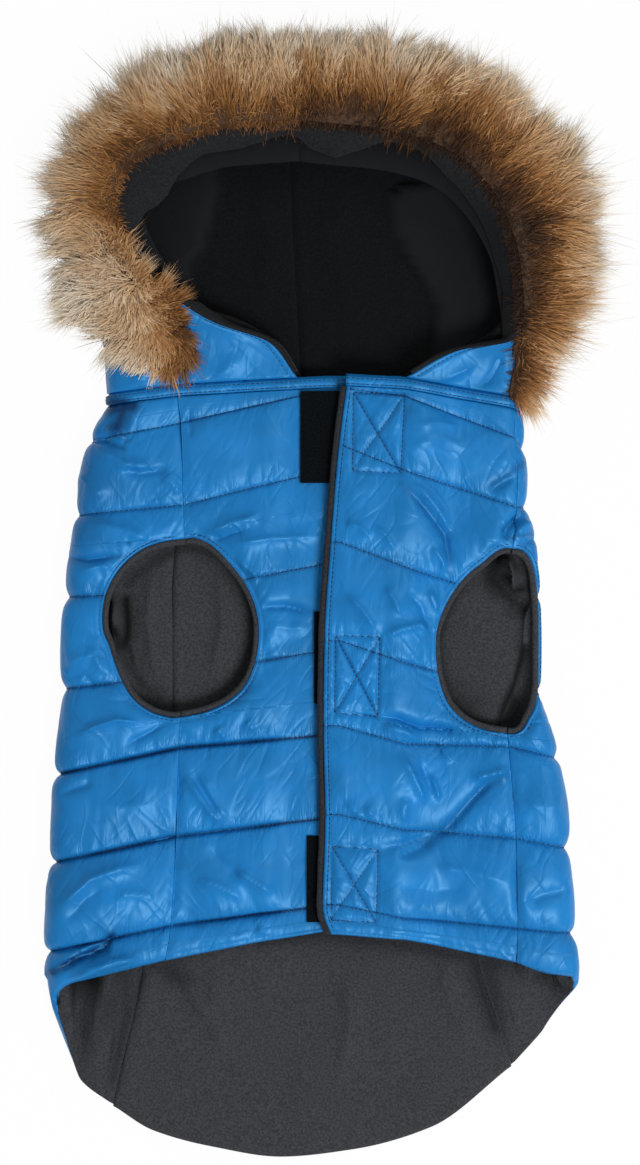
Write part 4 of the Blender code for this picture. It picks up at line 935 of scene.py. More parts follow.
def glide(knots, values, t):
    """A smooth curve through a table that never overshoots its values."""
    knots = np.asarray(knots, float)
    values = np.asarray(values, float)
    width = np.diff(knots)
    slope = np.diff(values) / width
    tangent = np.concatenate([slope[:1], np.zeros(len(slope) - 1), slope[-1:]])
    for k in range(1, len(slope)):
        if slope[k - 1] * slope[k] > 0:
            tangent[k] = 2.0 * slope[k - 1] * slope[k] / (slope[k - 1] + slope[k])
    t = np.clip(np.asarray(t, float), knots[0], knots[-1])
    i = np.clip(np.searchsorted(knots, t, side="right") - 1, 0, len(slope) - 1)
    u = (t - knots[i]) / width[i]
    rise = values[i + 1] - values[i]
    start = tangent[i] * width[i]
    end = tangent[i + 1] * width[i]
    bend = start + end - 2 * rise
    return values[i] + u * (start + u * (rise - start - bend + u * bend))


def column(table, which, t):
    """A column of a table of rows, at any row t."""
    return glide(np.arange(len(table)), [row[which] for row in table], t)


def unit(vectors):
    """Vectors of the same direction and of length 1."""
    length = np.linalg.norm(vectors, axis=-1, keepdims=True)
    return vectors / np.maximum(length, 1e-12)


# ---------------------------------------------------------------- the body's surfaces

def row_y(side, q, x):
    """Where quilt row q crosses the upper layer at x. Past the closure it runs level."""
    rows = side["rows"]
    inward = side["inward"]
    fold_x = column(rows, FOLD_X, q)
    reach = np.minimum((x - fold_x) * inward, (side["closure_x"] - fold_x) * inward)
    stations = [
        (0.0, column(rows, FOLD_Y, q)),
        ((column(rows, SEAM_X, q) - fold_x) * inward, column(rows, SEAM_Y, q)),
        ((side["mid_x"] - fold_x) * inward, column(rows, MID_Y, q)),
        ((side["closure_x"] - fold_x) * inward, column(rows, CLOSURE_Y, q)),
    ]
    y = stations[0][1]
    for k, ((near, near_y), (far, far_y)) in enumerate(zip(stations, stations[1:])):
        on_line = near_y + (far_y - near_y) * (reach - near) / (far - near)
        y = np.where((reach >= near) | (k == 0), on_line, y)
    return y


def row_at(side, x, y):
    """The quilt row that crosses the point x, y: row_y turned round."""
    low = np.zeros_like(x)
    high = np.full_like(x, LAST_ROW)
    for _ in range(30):
        middle = (low + high) / 2
        above = row_y(side, middle, x) > y
        low = np.where(above, middle, low)
        high = np.where(above, high, middle)
    return (low + high) / 2


def fold_line_x(side, y):
    """The side fold's outline."""
    rows = side["rows"]
    return glide([-row[FOLD_Y] for row in rows], [row[FOLD_X] for row in rows], -y)


def under_y(q, x):
    """Where row q crosses the lower layer: straight from fold to fold."""
    left_x = column(LEFT["rows"], FOLD_X, q)
    right_x = column(RIGHT["rows"], FOLD_X, q)
    left_y = column(LEFT["rows"], FOLD_Y, q)
    right_y = column(RIGHT["rows"], FOLD_Y, q)
    return left_y + (right_y - left_y) * (x - left_x) / (right_x - left_x)


def upper_z(q, from_fold):
    """Height of the upper layer's stitched surface at a distance in from the fold."""
    crest = FOLD_Z + ROLL
    level = glide(ROW_NUMBERS, LEVEL, q)
    roll = FOLD_Z + ROLL * quarter(from_fold / TURN)
    return roll + (level - crest) * ease((from_fold - TURN) / SETTLE)


def lap_lift(q, x):
    """How far front_right stands up where it laps over front_left and the tapes."""
    edge = glide(ROW_NUMBERS, UNDER_EDGE_X, q) + LAP_CLEAR
    return LIFT * (1.0 - ease((x - edge) / LAP_BLEND))


def upper_point(side, q, x):
    """The upper layer's stitched surface."""
    y = row_y(side, q, x)
    from_fold = np.maximum((x - fold_line_x(side, y)) * side["inward"], 0.0)
    z = upper_z(q, from_fold)
    if side is RIGHT:
        z = z + lap_lift(q, x)
    return np.stack([x, y, z], axis=-1)


def hole_span(side):
    """The armhole's middle row, and half its height in rows."""
    hole = side["hole"]
    return (hole["first"] + hole["last"]) / 2, (hole["last"] - hole["first"]) / 2


def hole_rows(side, count):
    """Rows down the armhole, closer where its outline turns."""
    middle, half = hole_span(side)
    return middle + half * np.sin(np.linspace(-math.pi / 2, math.pi / 2, count))


def hole_reach(side, q, part):
    """0 outside the armhole's rows, rising to 1 at its widest row."""
    middle, half = hole_span(side)
    t = np.clip((q - middle) / half, -1.0, 1.0)
    skew = glide(*HOLE_SKEW[(side["inward"], part)], t)
    return skew * (1.0 - np.abs(t) ** HOLE_ROUND) ** (1.0 / HOLE_ROUND)


def hole_edge_x(side, q):
    """Where the armhole's edge lies on the front panel."""
    seam = column(side["rows"], SEAM_X, q)
    reach = side["hole"]["inner"] * hole_reach(side, q, "inner")
    return seam + side["inward"] * (GAP / 2 + reach)


def front_x(side, edge_x, q, v):
    """Across a front panel, from its closure edge (v 0) to the princess seam (v 1)."""
    start = glide(ROW_NUMBERS, edge_x, q)
    seam = column(side["rows"], SEAM_X, q) + side["inward"] * GAP / 2
    end = seam + side["inward"] * side["hole"]["inner"] * hole_reach(side, q, "inner")
    return start + (end - start) * v


def tube_point(side, q, along):
    """The tube's stitched surface at a distance along its section from the fold: over 0 on the
    upper layer and under 0 on the lower layer."""
    inward = side["inward"]
    above = np.maximum(along, 0.0)
    below = np.maximum(-along, 0.0)
    angle_above = np.minimum(above / ARC, 1) * math.pi / 2
    in_above = TURN * (1 - np.cos(angle_above)) + np.maximum(above - ARC, 0)
    angle_below = np.minimum(below / ARC_UNDER, 1) * math.pi / 2
    in_below = TURN_UNDER * (1 - np.cos(angle_below)) + np.maximum(below - ARC_UNDER, 0)
    is_upper = along >= 0
    from_fold = np.where(is_upper, in_above, in_below)
    x = column(side["rows"], FOLD_X, q) + inward * from_fold
    for _ in range(3):
        y = np.where(is_upper, row_y(side, q, x), under_y(q, x))
        x = fold_line_x(side, y) + inward * from_fold
    flat = below >= ARC_UNDER
    z_below = np.where(flat, 0.0, FOLD_Z * (1 - np.sin(angle_below)))
    z = np.where(is_upper, upper_z(q, in_above), z_below)
    return np.stack([x, y, z], axis=-1)


def side_along(side, q, f):
    """Distance along the section for column f, from the front seam (-1) to the back seam (1)."""
    inward = side["inward"]
    rows = side["rows"]
    seam_x = column(rows, SEAM_X, q) - inward * side["hole"]["outer"] * hole_reach(side, q, "outer")
    in_seam = np.maximum((seam_x - fold_line_x(side, row_y(side, q, seam_x))) * inward, 0.5)
    turned = np.arccos(1 - np.minimum(in_seam / TURN, 1)) / (math.pi / 2)
    seam_along = ARC * turned + np.maximum(in_seam - TURN, 0) - GAP / 2
    back_x = column(rows, BACK_X, q)
    in_back = (back_x - fold_line_x(side, under_y(q, back_x))) * inward
    back_along = ARC_UNDER + in_back - TURN_UNDER - GAP / 2
    share = np.abs(f) ** SPREAD
    return np.where(f < 0, seam_along * share, -back_along * share)


def side_point(side, q, f):
    """A side panel's stitched surface."""
    q, f = np.broadcast_arrays(np.asarray(q, float), np.asarray(f, float))
    point = tube_point(side, q, side_along(side, q, f))
    last = np.full_like(f, LAST_ROW)
    tube_end = tube_point(side, last, side_along(side, last, f))
    corner_row = np.array([LAST_ROW])
    corner = tube_point(side, corner_row, side_along(side, corner_row, np.array([-1.0])))[0]
    stations = np.array([(-1.0, *corner)] + side["hem"])
    hem = np.stack([glide(stations[:, 0], stations[:, k], f) for k in (1, 2, 3)], axis=-1)
    share = np.clip(q - HEM_FROM, 0.0, 1.0)[..., None]
    return point + (hem - tube_end) * share


def back_point(q_left, q_right, v):
    """The back panel's underside, flat on the ground, from the left seam (v 0) to the right."""
    left = side_point(LEFT, q_left, np.ones_like(v))
    right = side_point(RIGHT, q_right, np.ones_like(v))
    left[..., 0] += GAP
    right[..., 0] -= GAP
    point = left + (right - left) * v[..., None]
    tail = np.array(TAIL)
    tail_y = glide(tail[:, 0], tail[:, 1], v)
    last_y = tail[0, 1] + (tail[-1, 1] - tail[0, 1]) * v
    share = np.clip(q_left + (q_right - q_left) * v - HEM_FROM, 0.0, 1.0)
    point[..., 1] += (tail_y - last_y) * share
    point[..., 2] = 0.0
    return point


# ---------------------------------------------------------------- the hood's surfaces

def hood_plain(table, j, f):
    """The hood without its fit to the neck: f runs from the rim (-1) over the side (0) to the
    centre seam underneath (1)."""
    rim = np.stack([column(table, RIM_X, j), column(table, RIM_Y, j)], axis=-1)
    fold = np.stack([column(table, SIDE_X, j), column(table, SIDE_Y, j)], axis=-1)
    centre = np.stack([column(CROWN, CENTRE_X, j), column(CROWN, CENTRE_Y, j)], axis=-1)
    share = (np.abs(f) ** SPREAD)[..., None]
    upper = f < 0
    plan = np.where(upper[..., None], fold + (rim - fold) * share, fold + (centre - fold) * share)
    fold_z = FOLD_Z + (HOOD_FOLD_Z - FOLD_Z) * ease(j / FOLD_FADE)
    out = np.maximum(1.0 - share[..., 0], 0.0)
    rise = (1.0 - out ** HOOD_ROUND) ** (1.0 / HOOD_ROUND)
    from_fold = np.linalg.norm(centre - fold, axis=-1) * share[..., 0]
    z_upper = fold_z + (column(table, RIM_Z, j) - fold_z) * rise
    z_under = np.where(from_fold >= TURN_UNDER, 0.0, fold_z * (1 - quarter(from_fold / TURN_UNDER)))
    return np.concatenate([plan, np.where(upper, z_upper, z_under)[..., None]], axis=-1)


def neck_row(side, table, f):
    """The hood's bottom edge, which follows the body's neck line."""
    share = np.abs(f) ** SPREAD
    end = np.where(f < 0, table[0][RIM_X], CROWN[0][CENTRE_X])
    x = table[0][SIDE_X] + (end - table[0][SIDE_X]) * share
    zero = np.zeros_like(x)
    upper = upper_point(side, zero, x)
    y_under = under_y(zero, x)
    from_fold = (x - table[0][SIDE_X]) * side["inward"]
    z_under = np.where(from_fold >= TURN_UNDER, 0.0, FOLD_Z * (1 - quarter(from_fold / TURN_UNDER)))
    lower = np.stack([x, y_under, z_under], axis=-1)
    point = np.where((f < 0)[..., None], upper, lower)
    point[..., 1] += NECK
    return point


def hood_point(side, table, j, f):
    """The hood's outer surface, fitted to the neck."""
    j, f = np.broadcast_arrays(np.asarray(j, float), np.asarray(f, float))
    plain = hood_plain(table, j, f)
    fit = neck_row(side, table, f) - hood_plain(table, np.zeros_like(j), f)
    point = plain + fit * (1.0 - ease(j / NECK_FADE))[..., None]
    point[..., 0] -= side["inward"] * GAP / 2
    return point


def outward(surface, a, b, sign):
    """Unit normals of surface(a, b), pointing out of the coat, and straight down where it is flat
    on the ground."""
    along_a = surface(a + STEP, b) - surface(a - STEP, b)
    along_b = surface(a, b + STEP) - surface(a, b - STEP)
    normal = unit(np.cross(along_b, along_a)) * sign
    on_ground = surface(a, b)[..., 2] < ON_GROUND
    normal[on_ground] = (0.0, 0.0, -1.0)
    return normal


def upper_normal(side, q, x):
    """Normals of the upper layer's stitched surface, square to the neck's edge in row 0."""
    def surface(a, b):
        return upper_point(side, a, b)

    normal = outward(surface, q, x, -1)
    normal[..., 1] *= q > 0
    return unit(normal)


def side_normal(side, q, f):
    """Normals of a side panel, which at its front seam are the front panel's."""
    def hem_surface(a, b):
        return side_point(side, a, b)

    def tube_surface(a, b):
        return tube_point(side, a, b)

    along = side_along(side, q, f)
    on_tube = outward(tube_surface, q, along, -side["inward"])
    on_hem = outward(hem_surface, q, f, side["inward"])
    normal = np.where((q > HEM_FROM)[..., None], on_hem, on_tube)
    front = upper_normal(side, q, side_point(side, q, f)[..., 0])
    normal = np.where((f == -1.0)[..., None], front, normal)
    normal[..., 1] *= q > 0
    return unit(normal)


def hood_normal(side, table, j, f):
    """Normals of the hood, square to its neck edge and to its centre seam."""
    def surface(a, b):
        return hood_point(side, table, a, b)

    normal = outward(surface, j, f, -side["inward"])
    normal[..., 1] *= j > 0
    normal[..., 0] *= j < LAST_ROW
    return unit(normal)


def panel_rows(side):
    """The rows through which the part's own panels are lofted."""
    middle, half = hole_span(side)
    return np.array(PLAIN_ROWS + tuple(middle + half * turn for turn in HOLE_TURNS) + LOWER_ROWS)


def under_thickness(q, f, side):
    """The shell's thickness: stitched down on top, full underneath."""
    along = side_along(side, q, f)
    return SHELL + (SHELL_UNDER - SHELL) * ease((-along - UNDER_FROM) / UNDER_BLEND)


def lining_gap(j, f):
    """Between the hood's outer surface and its lining: loose under the rim, close on the floor."""
    at_neck = np.where(f < 0, SHELL, SHELL_UNDER) + GAP
    bag = np.array(BAG)
    loose = glide(bag[:, 0], bag[:, 1], f)
    return at_neck + (loose - at_neck) * ease(j / BAG_FADE)


def rim_line(side, table, j):
    """The hood's rim, and the way from its side fold to it in plan."""
    rim = hood_point(side, table, j, -1.0)
    return rim, unit((rim - hood_point(side, table, j, 0.0)) * (1.0, 1.0, 0.0))


def facing_point(side, table, j, w):
    """The strip turned in at the rim: w runs from the rim (0) to its inner edge (1)."""
    j, w = np.broadcast_arrays(np.asarray(j, float), np.asarray(w, float))
    rim, inward = rim_line(side, table, j)
    width = column(CROWN, FACING, j)
    drop = column(CROWN, DROP, j)
    point = rim + inward * (RIM_TURN + width * w)[..., None]
    point[..., 2] -= drop * w ** FACING_CURL
    return point


def growing(share, distance, width):
    """A share at a line, which grows to 1 over a width beside it."""
    return share + (1.0 - share) * ease(distance / width)


def left_puff(x):
    """front_left is stitched flat where the tapes and the lap lie on it."""
    return 1.0 - (1.0 - TAPE_PUFF) * ease((x - TAPE_PUFF_FROM) / TAPE_PUFF_BLEND)


def right_puff(x):
    """front_right is flatter over the tapes."""
    return growing(LAP_PUFF, x - LAP_PUFF_FROM, LAP_PUFF_BLEND)


# ---------------------------------------------------------------- relief of the quilted shell

def noise(seed, *places):
    """Smooth noise from -1 to 1 in as many dimensions as there are places."""
    places = np.broadcast_arrays(*places)
    cells = [np.floor(place) for place in places]
    shares = [ease(place - cell) for place, cell in zip(places, cells)]
    total = np.zeros(places[0].shape)
    for corner in itertools.product((0, 1), repeat=len(places)):
        weight = np.ones(places[0].shape)
        for step, share in zip(corner, shares):
            weight = weight * (share if step else 1.0 - share)
        total += weight * lattice(seed, [cell + step for cell, step in zip(cells, corner)])
    return 2.0 * total - 1.0


def lattice(seed, cells):
    """A fixed number from 0 to 1 for each cell of a whole-number grid."""
    mixed = np.full(cells[0].shape, seed * 7919 + 1, np.uint32)
    for cell in cells:
        mixed = mixed ^ (cell.astype(np.int64).astype(np.uint32) * np.uint32(0x9E3779B1))
        mixed = (mixed ^ (mixed >> np.uint32(15))) * np.uint32(0x85EBCA6B)
        mixed = (mixed ^ (mixed >> np.uint32(13))) * np.uint32(0xC2B2AE35)
        mixed = mixed ^ (mixed >> np.uint32(16))
    return mixed / 2.0 ** 32


def cells_of(size, *places):
    """Places counted in cells of a size each way."""
    return [place / cell for place, cell in zip(places, size)]


def ridged(seed, *places):
    """Noise that is 1 along wandering lines and falls to 0 away from them."""
    value = noise(seed, *places)
    return 1.0 - np.sqrt(value * value + RIDGE_TOP)


def bell(distance, width):
    """1 on a line, falling to 0 beside it."""
    return np.exp(-((distance / width) ** 2))


def hump(distance, reach):
    """0 on a line, 1 at its reach and falling to 0 beyond."""
    return distance / reach * np.exp(1.0 - distance / reach)


def line_length(points):
    """The length of a broken line."""
    return float(np.linalg.norm(np.diff(np.asarray(points, float), axis=0), axis=1).sum())


def nearest_on_line(a, b, points):
    """Distance from a, b to a broken line, and the length along it to the nearest point."""
    points = np.asarray(points, float)
    best = np.full(np.shape(a), FAR)
    along = np.zeros(np.shape(a))
    start = 0.0
    for point, after in zip(points, points[1:]):
        span = after - point
        length = math.hypot(*span)
        if length < TINY:
            continue
        t = np.clip(((a - point[0]) * span[0] + (b - point[1]) * span[1]) / length ** 2, 0.0, 1.0)
        distance = np.hypot(a - point[0] - t * span[0], b - point[1] - t * span[1])
        nearer = distance < best
        best = np.where(nearer, distance, best)
        along = np.where(nearer, start + t * length, along)
        start += length
    return best, along


def creases(table, x, y):
    """Soft ridges and troughs laid along broken lines, each fading out at both ends."""
    height = np.zeros_like(x)
    for rise, width, points in table:
        low = np.min(points, axis=0) - 3 * width
        high = np.max(points, axis=0) + 3 * width
        near = (x > low[0]) & (x < high[0]) & (y > low[1]) & (y < high[1])
        if not near.any():
            continue
        distance, along = nearest_on_line(x[near], y[near], points)
        length = line_length(points)
        fade = ease(along / (CREASE_FADE * length)) * ease((length - along) / (CREASE_FADE * length))
        profile = np.exp(-(distance / (CREASE_NARROW * width)) ** CREASE_SHARP)
        height[near] += CREASE_GAIN * rise * fade * profile
    return height


def channel(side, q, x):
    """The quilt line above each place, the channel's width there and the share of it crossed."""
    above = np.clip(np.floor(q), 0, 7)
    width = row_y(side, above, x) - row_y(side, above + 1, x)
    return above.astype(int), width, q - above


def nearest_line(above, width, across):
    """The nearer of a channel's two stitched lines, the distance to it and whether it is lower."""
    lower = across > 0.5
    return above + lower, np.where(lower, 1.0 - across, across) * width, lower


def line_noise(seed, wave, along, line):
    """Noise along a quilt line, unlike the next line's."""
    size, step = wave
    return noise(seed, along / size, line * step)


def quilting(side, above, width, across, along):
    """The channel's puff, and the puckers that its two stitched lines pull into it."""
    seed = FRONT_SEED[side["inward"]]
    pillow = np.maximum(1 - (2 * across - 1) ** 2, 0) ** PILLOW
    swell = 1.0 + SWELL * line_noise(seed + 50, SWELL_WAVE, along, above)
    puff = PUFF * np.array(CHANNEL_PUFF)[above] * ease(width / FULL_CHANNEL) * pillow * swell
    line, distance, lower = nearest_line(above, width, across)
    strength = np.array(LINE_PUCKER)[line] * ease(width / PUCKER_CHANNEL)
    way = np.where(lower, 1.0, -1.0)
    lean = LEAN * line_noise(seed + 60, LEAN_WAVE, along, line)
    place = along + way * distance * lean
    longer = noise(seed + 61, place / REACH_WAVE[0], line * REACH_WAVE[1] + way)
    reach = PUCKER_REACH * (1.0 + REACH_UNEVEN * longer)
    step = line * PUCKER_STEP[0] + way * PUCKER_STEP[1]
    tight = ridged(seed + 62, place / PUCKER_PITCH, step) ** PUCKER_SHARP
    profile = PUCKER_AT_LINE * np.exp(-distance / PUCKER_AT_LINE_WIDTH) + hump(distance, reach)
    puckers = -PUCKER * strength * tight * profile
    uneven = 1.0 + VALLEY_UNEVEN * line_noise(seed + 63, VALLEY_WAVE, along, line)
    depth = np.array(VALLEY[side["inward"]])[line] * uneven
    return puff + puckers - depth * bell(distance, VALLEY_WIDTH)


def crumple(seed, along, y, width):
    """Uneven, mostly upright crinkles of a thin shell over loose padding."""
    bend_a = CRUMPLE_BEND * noise(seed + 1, *cells_of(BEND_SIZES[0], along, y))
    bend_b = CRUMPLE_BEND * noise(seed + 2, *cells_of(BEND_SIZES[1], along, y))
    soft = SOFT_RISE * noise(seed + 3, *cells_of(SOFT_SIZE, along + SOFT_LEAN * y, y + bend_b))
    sharp = ridged(seed + 4, *cells_of(SHARP_SIZE, along + SHARP_LEAN * y + bend_a, y + bend_b))
    cross = ridged(seed + 5, *cells_of(CROSS_SIZE, along - CROSS_LEAN * y + bend_b, y + bend_a))
    fine = noise(seed + 6, *cells_of(FINE_SIZE, along + bend_a, y + bend_b))
    patch = 0.5 + 0.5 * noise(seed + 7, *cells_of(PATCH_SIZE, along, y))
    sharp = CRINKLE * (sharp ** SHARP_POWER * patch - cross ** CROSS_POWER * (1.0 - patch))
    return (soft + sharp + FINE_CRINKLE * fine) * ease(width / CRUMPLE_CHANNEL)


def seam_pull(side, q, x, along):
    """For the shell's material: place along the nearest quilt line, distance and strength."""
    line, distance, _ = nearest_line(*channel(side, q, x))
    strength = np.array(LINE_PUCKER)[line] * np.exp(-distance / SEAM_PULL_REACH)
    return np.stack([along + LINE_APART * line, distance, strength], axis=-1)


def strokes(table, x, y):
    """Soft strokes of painted shade, the strongest winning."""
    shade = np.zeros_like(x)
    for strength, half_width, path in table:
        distance, _ = nearest_on_line(x, y, path)
        shade = np.maximum(shade, strength * bell(distance, half_width))
    return shade


def seam_painted_shade(side, q, x, y):
    """How much painted shade a quilt line's valley, a box's line or a deep tuck gets, as though in its own
    shade.
    """
    line, distance, _ = nearest_line(*channel(side, q, x))
    uneven = 1.0 + SHADE_UNEVEN * line_noise(SHADE_SEED, SHADE_WAVE, x, line)
    depth = np.array(VALLEY[side["inward"]])[line] * uneven
    shade = np.clip(depth / FULL_SHADE_DEPTH, 0.0, 1.0) * bell(distance, VALLEY_SHADE_WIDTH)
    shade = np.maximum(shade, strokes(SHELL_SHADE, x, y))
    if side is RIGHT:
        nearest, _ = nearest_box_line(x, y)
        shade = np.maximum(shade, BOX_SHADE * bell(nearest, BOX_SHADE_WIDTH))
    return shade


def folded_edges(table, x, y):
    """Cloth raised on one side of each edge, falling away slowly behind it."""
    height = np.zeros_like(x)
    for rise, fade, way, points in table:
        distance, _ = nearest_on_line(x, y, points)
        step = ease(0.5 + signed_side(x, y, points) * way * distance / (2 * EDGE_SOFT))
        height += rise * step * np.exp(-distance / fade)
    return height


def signed_side(x, y, points):
    """1 where a place lies to the left of the way that the points run, -1 to the right."""
    best = np.full(np.shape(x), FAR)
    sign = np.ones(np.shape(x))
    for (a, b), (c, d) in zip(points, points[1:]):
        length = math.hypot(c - a, d - b)
        t = np.clip(((x - a) * (c - a) + (y - b) * (d - b)) / length ** 2, 0.0, 1.0)
        away = np.hypot(x - a - t * (c - a), y - b - t * (d - b))
        turn = (c - a) * (y - b) - (d - b) * (x - a)
        nearer = away < best - TINY
        best = np.where(nearer, away, best)
        sign = np.where(nearer, np.sign(turn), sign)
    return sign


def edge_round(distance, radius, drop):
    """A rounded edge: drop at the edge, nothing past its radius."""
    return -drop * (1.0 - quarter(distance / radius))


def stitch_line(distance, depth, width):
    """The groove that a line of stitches pulls."""
    return -depth * bell(distance, width)


def hole_outline(side, part, count=OUTLINE_POINTS):
    """The armhole's edge in plan, on the front panel's side of the seam or on the side panel's."""
    q = hole_rows(side, count)
    if part == "front":
        x = hole_edge_x(side, q)
        return np.stack([x, row_y(side, q, x)], axis=-1)
    return side_point(side, q, -1.0)[:, :2]


def around_hole(side, part, x, y):
    """Distance to the armhole's edge, and the length along it."""
    return nearest_on_line(x, y, hole_outline(side, part))


def hole_relief(seed, distance, along):
    """A piped edge, the line stitched round it and the puckers outside that line."""
    piping = PIPING * bell(distance - PIPING_AT, PIPING_WIDTH)
    line = stitch_line(distance - HOLE_STITCH, *HOLE_GROOVE)
    outside = np.maximum(distance - HOLE_STITCH, 0.0)
    round_hole, away = cells_of(HOLE_PUCKER_SIZE, along, distance)
    pulled = ridged(seed + 70, round_hole + HOLE_PUCKER_LEAN * distance, away) ** PUCKER_SHARP
    pucker = -HOLE_PUCKER * pulled * hump(outside, HOLE_PUCKER_REACH)
    return piping + line + pucker + edge_round(distance, *HOLE_ROUNDING)


def box_lines(box):
    """A box's four sides and its two diagonals."""
    corners = [np.array(corner) for corner in box]
    ends = corners + corners[:1]
    lines = [(a, b) for a, b in zip(ends, ends[1:])]
    return lines + [(corners[0], corners[2]), (corners[1], corners[3])]


def nearest_box_line(x, y):
    """Distance to the nearest line of a box, and a place along it."""
    nearest = np.full_like(x, FAR)
    along = np.zeros_like(x)
    for box in BOXES:
        for line in box_lines(box):
            distance, place = nearest_on_line(x, y, line)
            along = np.where(distance < nearest, place + BOX_APART * line[0][0], along)
            nearest = np.minimum(nearest, distance)
    return nearest, along


def box_relief(x, y):
    """Down at the stitched boxes and their diagonals: added depth and the share of puff left."""
    nearest, along = nearest_box_line(x, y)
    pulled = ridged(BOX_SEED, *cells_of(BOX_PUCKER_SIZE, along, nearest)) ** PUCKER_SHARP
    outside = np.maximum(nearest - BOX_PUCKER_FROM, 0.0)
    pucker = BOX_PUCKER * pulled * hump(outside, BOX_PUCKER_REACH)
    depth = stitch_line(nearest, BOX_DEPTH, BOX_LINE_WIDTH) - pucker
    return depth, 1.0 - BOX_PULL * bell(nearest, BOX_PULL_WIDTH)


def pulled_in(puff, distance, dip, on=1.0):
    """The puff with a share of it lost beside a seam."""
    share, width = dip
    return puff * (1.0 - share * bell(distance, width) * on)


def off_hole(to_hole):
    """0 at the armhole's edge, 1 where the creases are free of it."""
    return ease((to_hole - HOLE_FLAT) / HOLE_FLAT_BLEND)


def seam_round(side, q, to_seam):
    """The rounding at a princess seam, which the armhole interrupts."""
    return edge_round(to_seam, *SEAM_ROUNDING) * (hole_reach(side, q, "inner") == 0)


def front_relief(side, edge_x, q, x):
    """How far a front panel's skin stands off its stitched surface."""
    start = front_x(side, edge_x, q, 0.0)
    end = front_x(side, edge_x, q, 1.0)
    is_right = side is RIGHT
    seed = FRONT_SEED[side["inward"]]
    point = upper_point(side, q, x)
    y = point[..., 1]
    above, width, across = channel(side, q, x)
    to_closure = np.abs(x - start)
    to_seam = np.abs(end - x)
    to_hole, round_hole = around_hole(side, "front", x, y)
    to_hem = (LAST_ROW - q) * width
    puff = quilting(side, above, width, across, x)
    puff = puff * growing(CLOSURE_PUFF, to_closure, CLOSURE_PUFF_WIDTH)
    puff = pulled_in(pulled_in(puff, to_seam, SEAM_DIP), to_hole, HOLE_DIP)
    if is_right:
        box_depth, box_share = box_relief(x, y)
        puff = puff * right_puff(x) * box_share + box_depth
    else:
        puff = puff * left_puff(x)
    free = off_hole(to_hole) * growing(CLOSURE_CREASES, to_closure, CLOSURE_CREASES_WIDTH)
    shape = puff + free * (crumple(seed, x, y, width) + creases(CREASES, x, y))
    shape = shape + folded_edges(SHELL_EDGES, x, y) + hole_relief(seed, to_hole, round_hole)
    if is_right:
        shape = shape + stitch_line(to_closure - EDGE_STITCH, *EDGE_GROOVE)
    shape = shape + HEM_PIPING * bell(to_hem - HEM_PIPING_AT, HEM_PIPING_WIDTH)
    shape = shape + stitch_line(to_hem - HEM_STITCH, *HEM_GROOVE)
    shape = shape + edge_round(to_closure, *CLOSURE_ROUNDING) + seam_round(side, q, to_seam)
    return shape + edge_round(to_hem, *FRONT_HEM_ROUNDING)


def front_skin(side, edge_x, q, x):
    """A front panel's visible surface."""
    base = upper_point(side, q, x)
    return base + upper_normal(side, q, x) * front_relief(side, edge_x, q, x)[..., None]


def side_columns_of(side, q, along):
    """The column f of a side panel at a distance along its section."""
    share = np.where(along > 0, along / side_along(side, q, -1.0), along / side_along(side, q, 1.0))
    f = np.clip(share, 0.0, 1.0) ** (1.0 / SPREAD)
    return np.where(along > 0, -f, f)


def side_relief(side, q, f):
    """How far a side panel's skin stands off its stitched surface."""
    seed = SIDE_SEED[side["inward"]]
    base = side_point(side, q, f)
    x, y = base[..., 0], base[..., 1]
    along = side_along(side, q, f)
    seam_along = side_along(side, q, -1.0)
    seam_x = side_point(side, q, -1.0)[..., 0]
    unrolled = seam_x - side["inward"] * (seam_along - along)
    above, width, across = channel(side, q, x)
    upper_line = side_point(side, above.astype(float), f)
    lower_line = side_point(side, above + 1.0, f)
    last_width = np.linalg.norm(upper_line - lower_line, axis=-1)
    in_last = above == LAST_ROW - 1
    width = np.where(in_last, last_width, width)
    stands = growing(FOLD_PUFF, along, FOLD_PUFF_BLEND)
    stands = stands * ease((along + FOLD_PUFF_BLEND) / FOLD_PUFF_BLEND)
    last = LAST_PUFF * ease((along - LAST_PUFF_FROM) / LAST_PUFF_BLEND)
    stands = np.where(in_last, np.maximum(stands, last), stands)
    to_seam = seam_along - along
    to_hole, round_hole = around_hole(side, "side", x, y)
    on_top = ease((along - ON_TOP_FROM) / ON_TOP_BLEND)
    to_hem = (LAST_ROW - q) * width
    puff = quilting(side, above, width, across, unrolled) * stands
    puff = pulled_in(pulled_in(puff, to_seam, SEAM_DIP), to_hole, HOLE_DIP, on_top)
    free = off_hole(to_hole) * on_top
    shape = puff + free * (crumple(seed, unrolled, y, width) + creases(CREASES, x, y))
    shape = shape + folded_edges(SHELL_EDGES, x, y)
    near_line = np.minimum(across, 1.0 - across) * width
    notch = NOTCH * bell(near_line, NOTCH_WIDTH) * bell(along, NOTCH_REACH)
    shape = shape - notch * (q > NOTCH_MARGIN) * (q < LAST_ROW - NOTCH_MARGIN)
    under = ease((-along - UNDER_GROOVE_FROM) / UNDER_GROOVE_BLEND)
    shape = shape - under * GROOVE * bell(near_line, GROOVE_WIDTH)
    shape = shape + hole_relief(seed, to_hole, round_hole) * on_top
    return shape + seam_round(side, q, to_seam) + edge_round(to_hem, *SIDE_HEM_ROUNDING)


def side_skin(side, q, f):
    """A side panel's visible surface, never below the ground."""
    base = side_point(side, q, f)
    skin = base + side_normal(side, q, f) * side_relief(side, q, f)[..., None]
    skin[..., 2] = np.maximum(skin[..., 2], 0.0)
    return skin


# ---------------------------------------------------------------- meshes

def facing_out(points, faces):
    """The faces of a closed mesh, turned so that they point out of it."""
    corners = points[faces]
    volume = np.einsum("ij,ij->i", corners[:, 0], np.cross(corners[:, 1], corners[:, 2])).sum()
    return faces[:, ::-1] if volume < 0 else faces


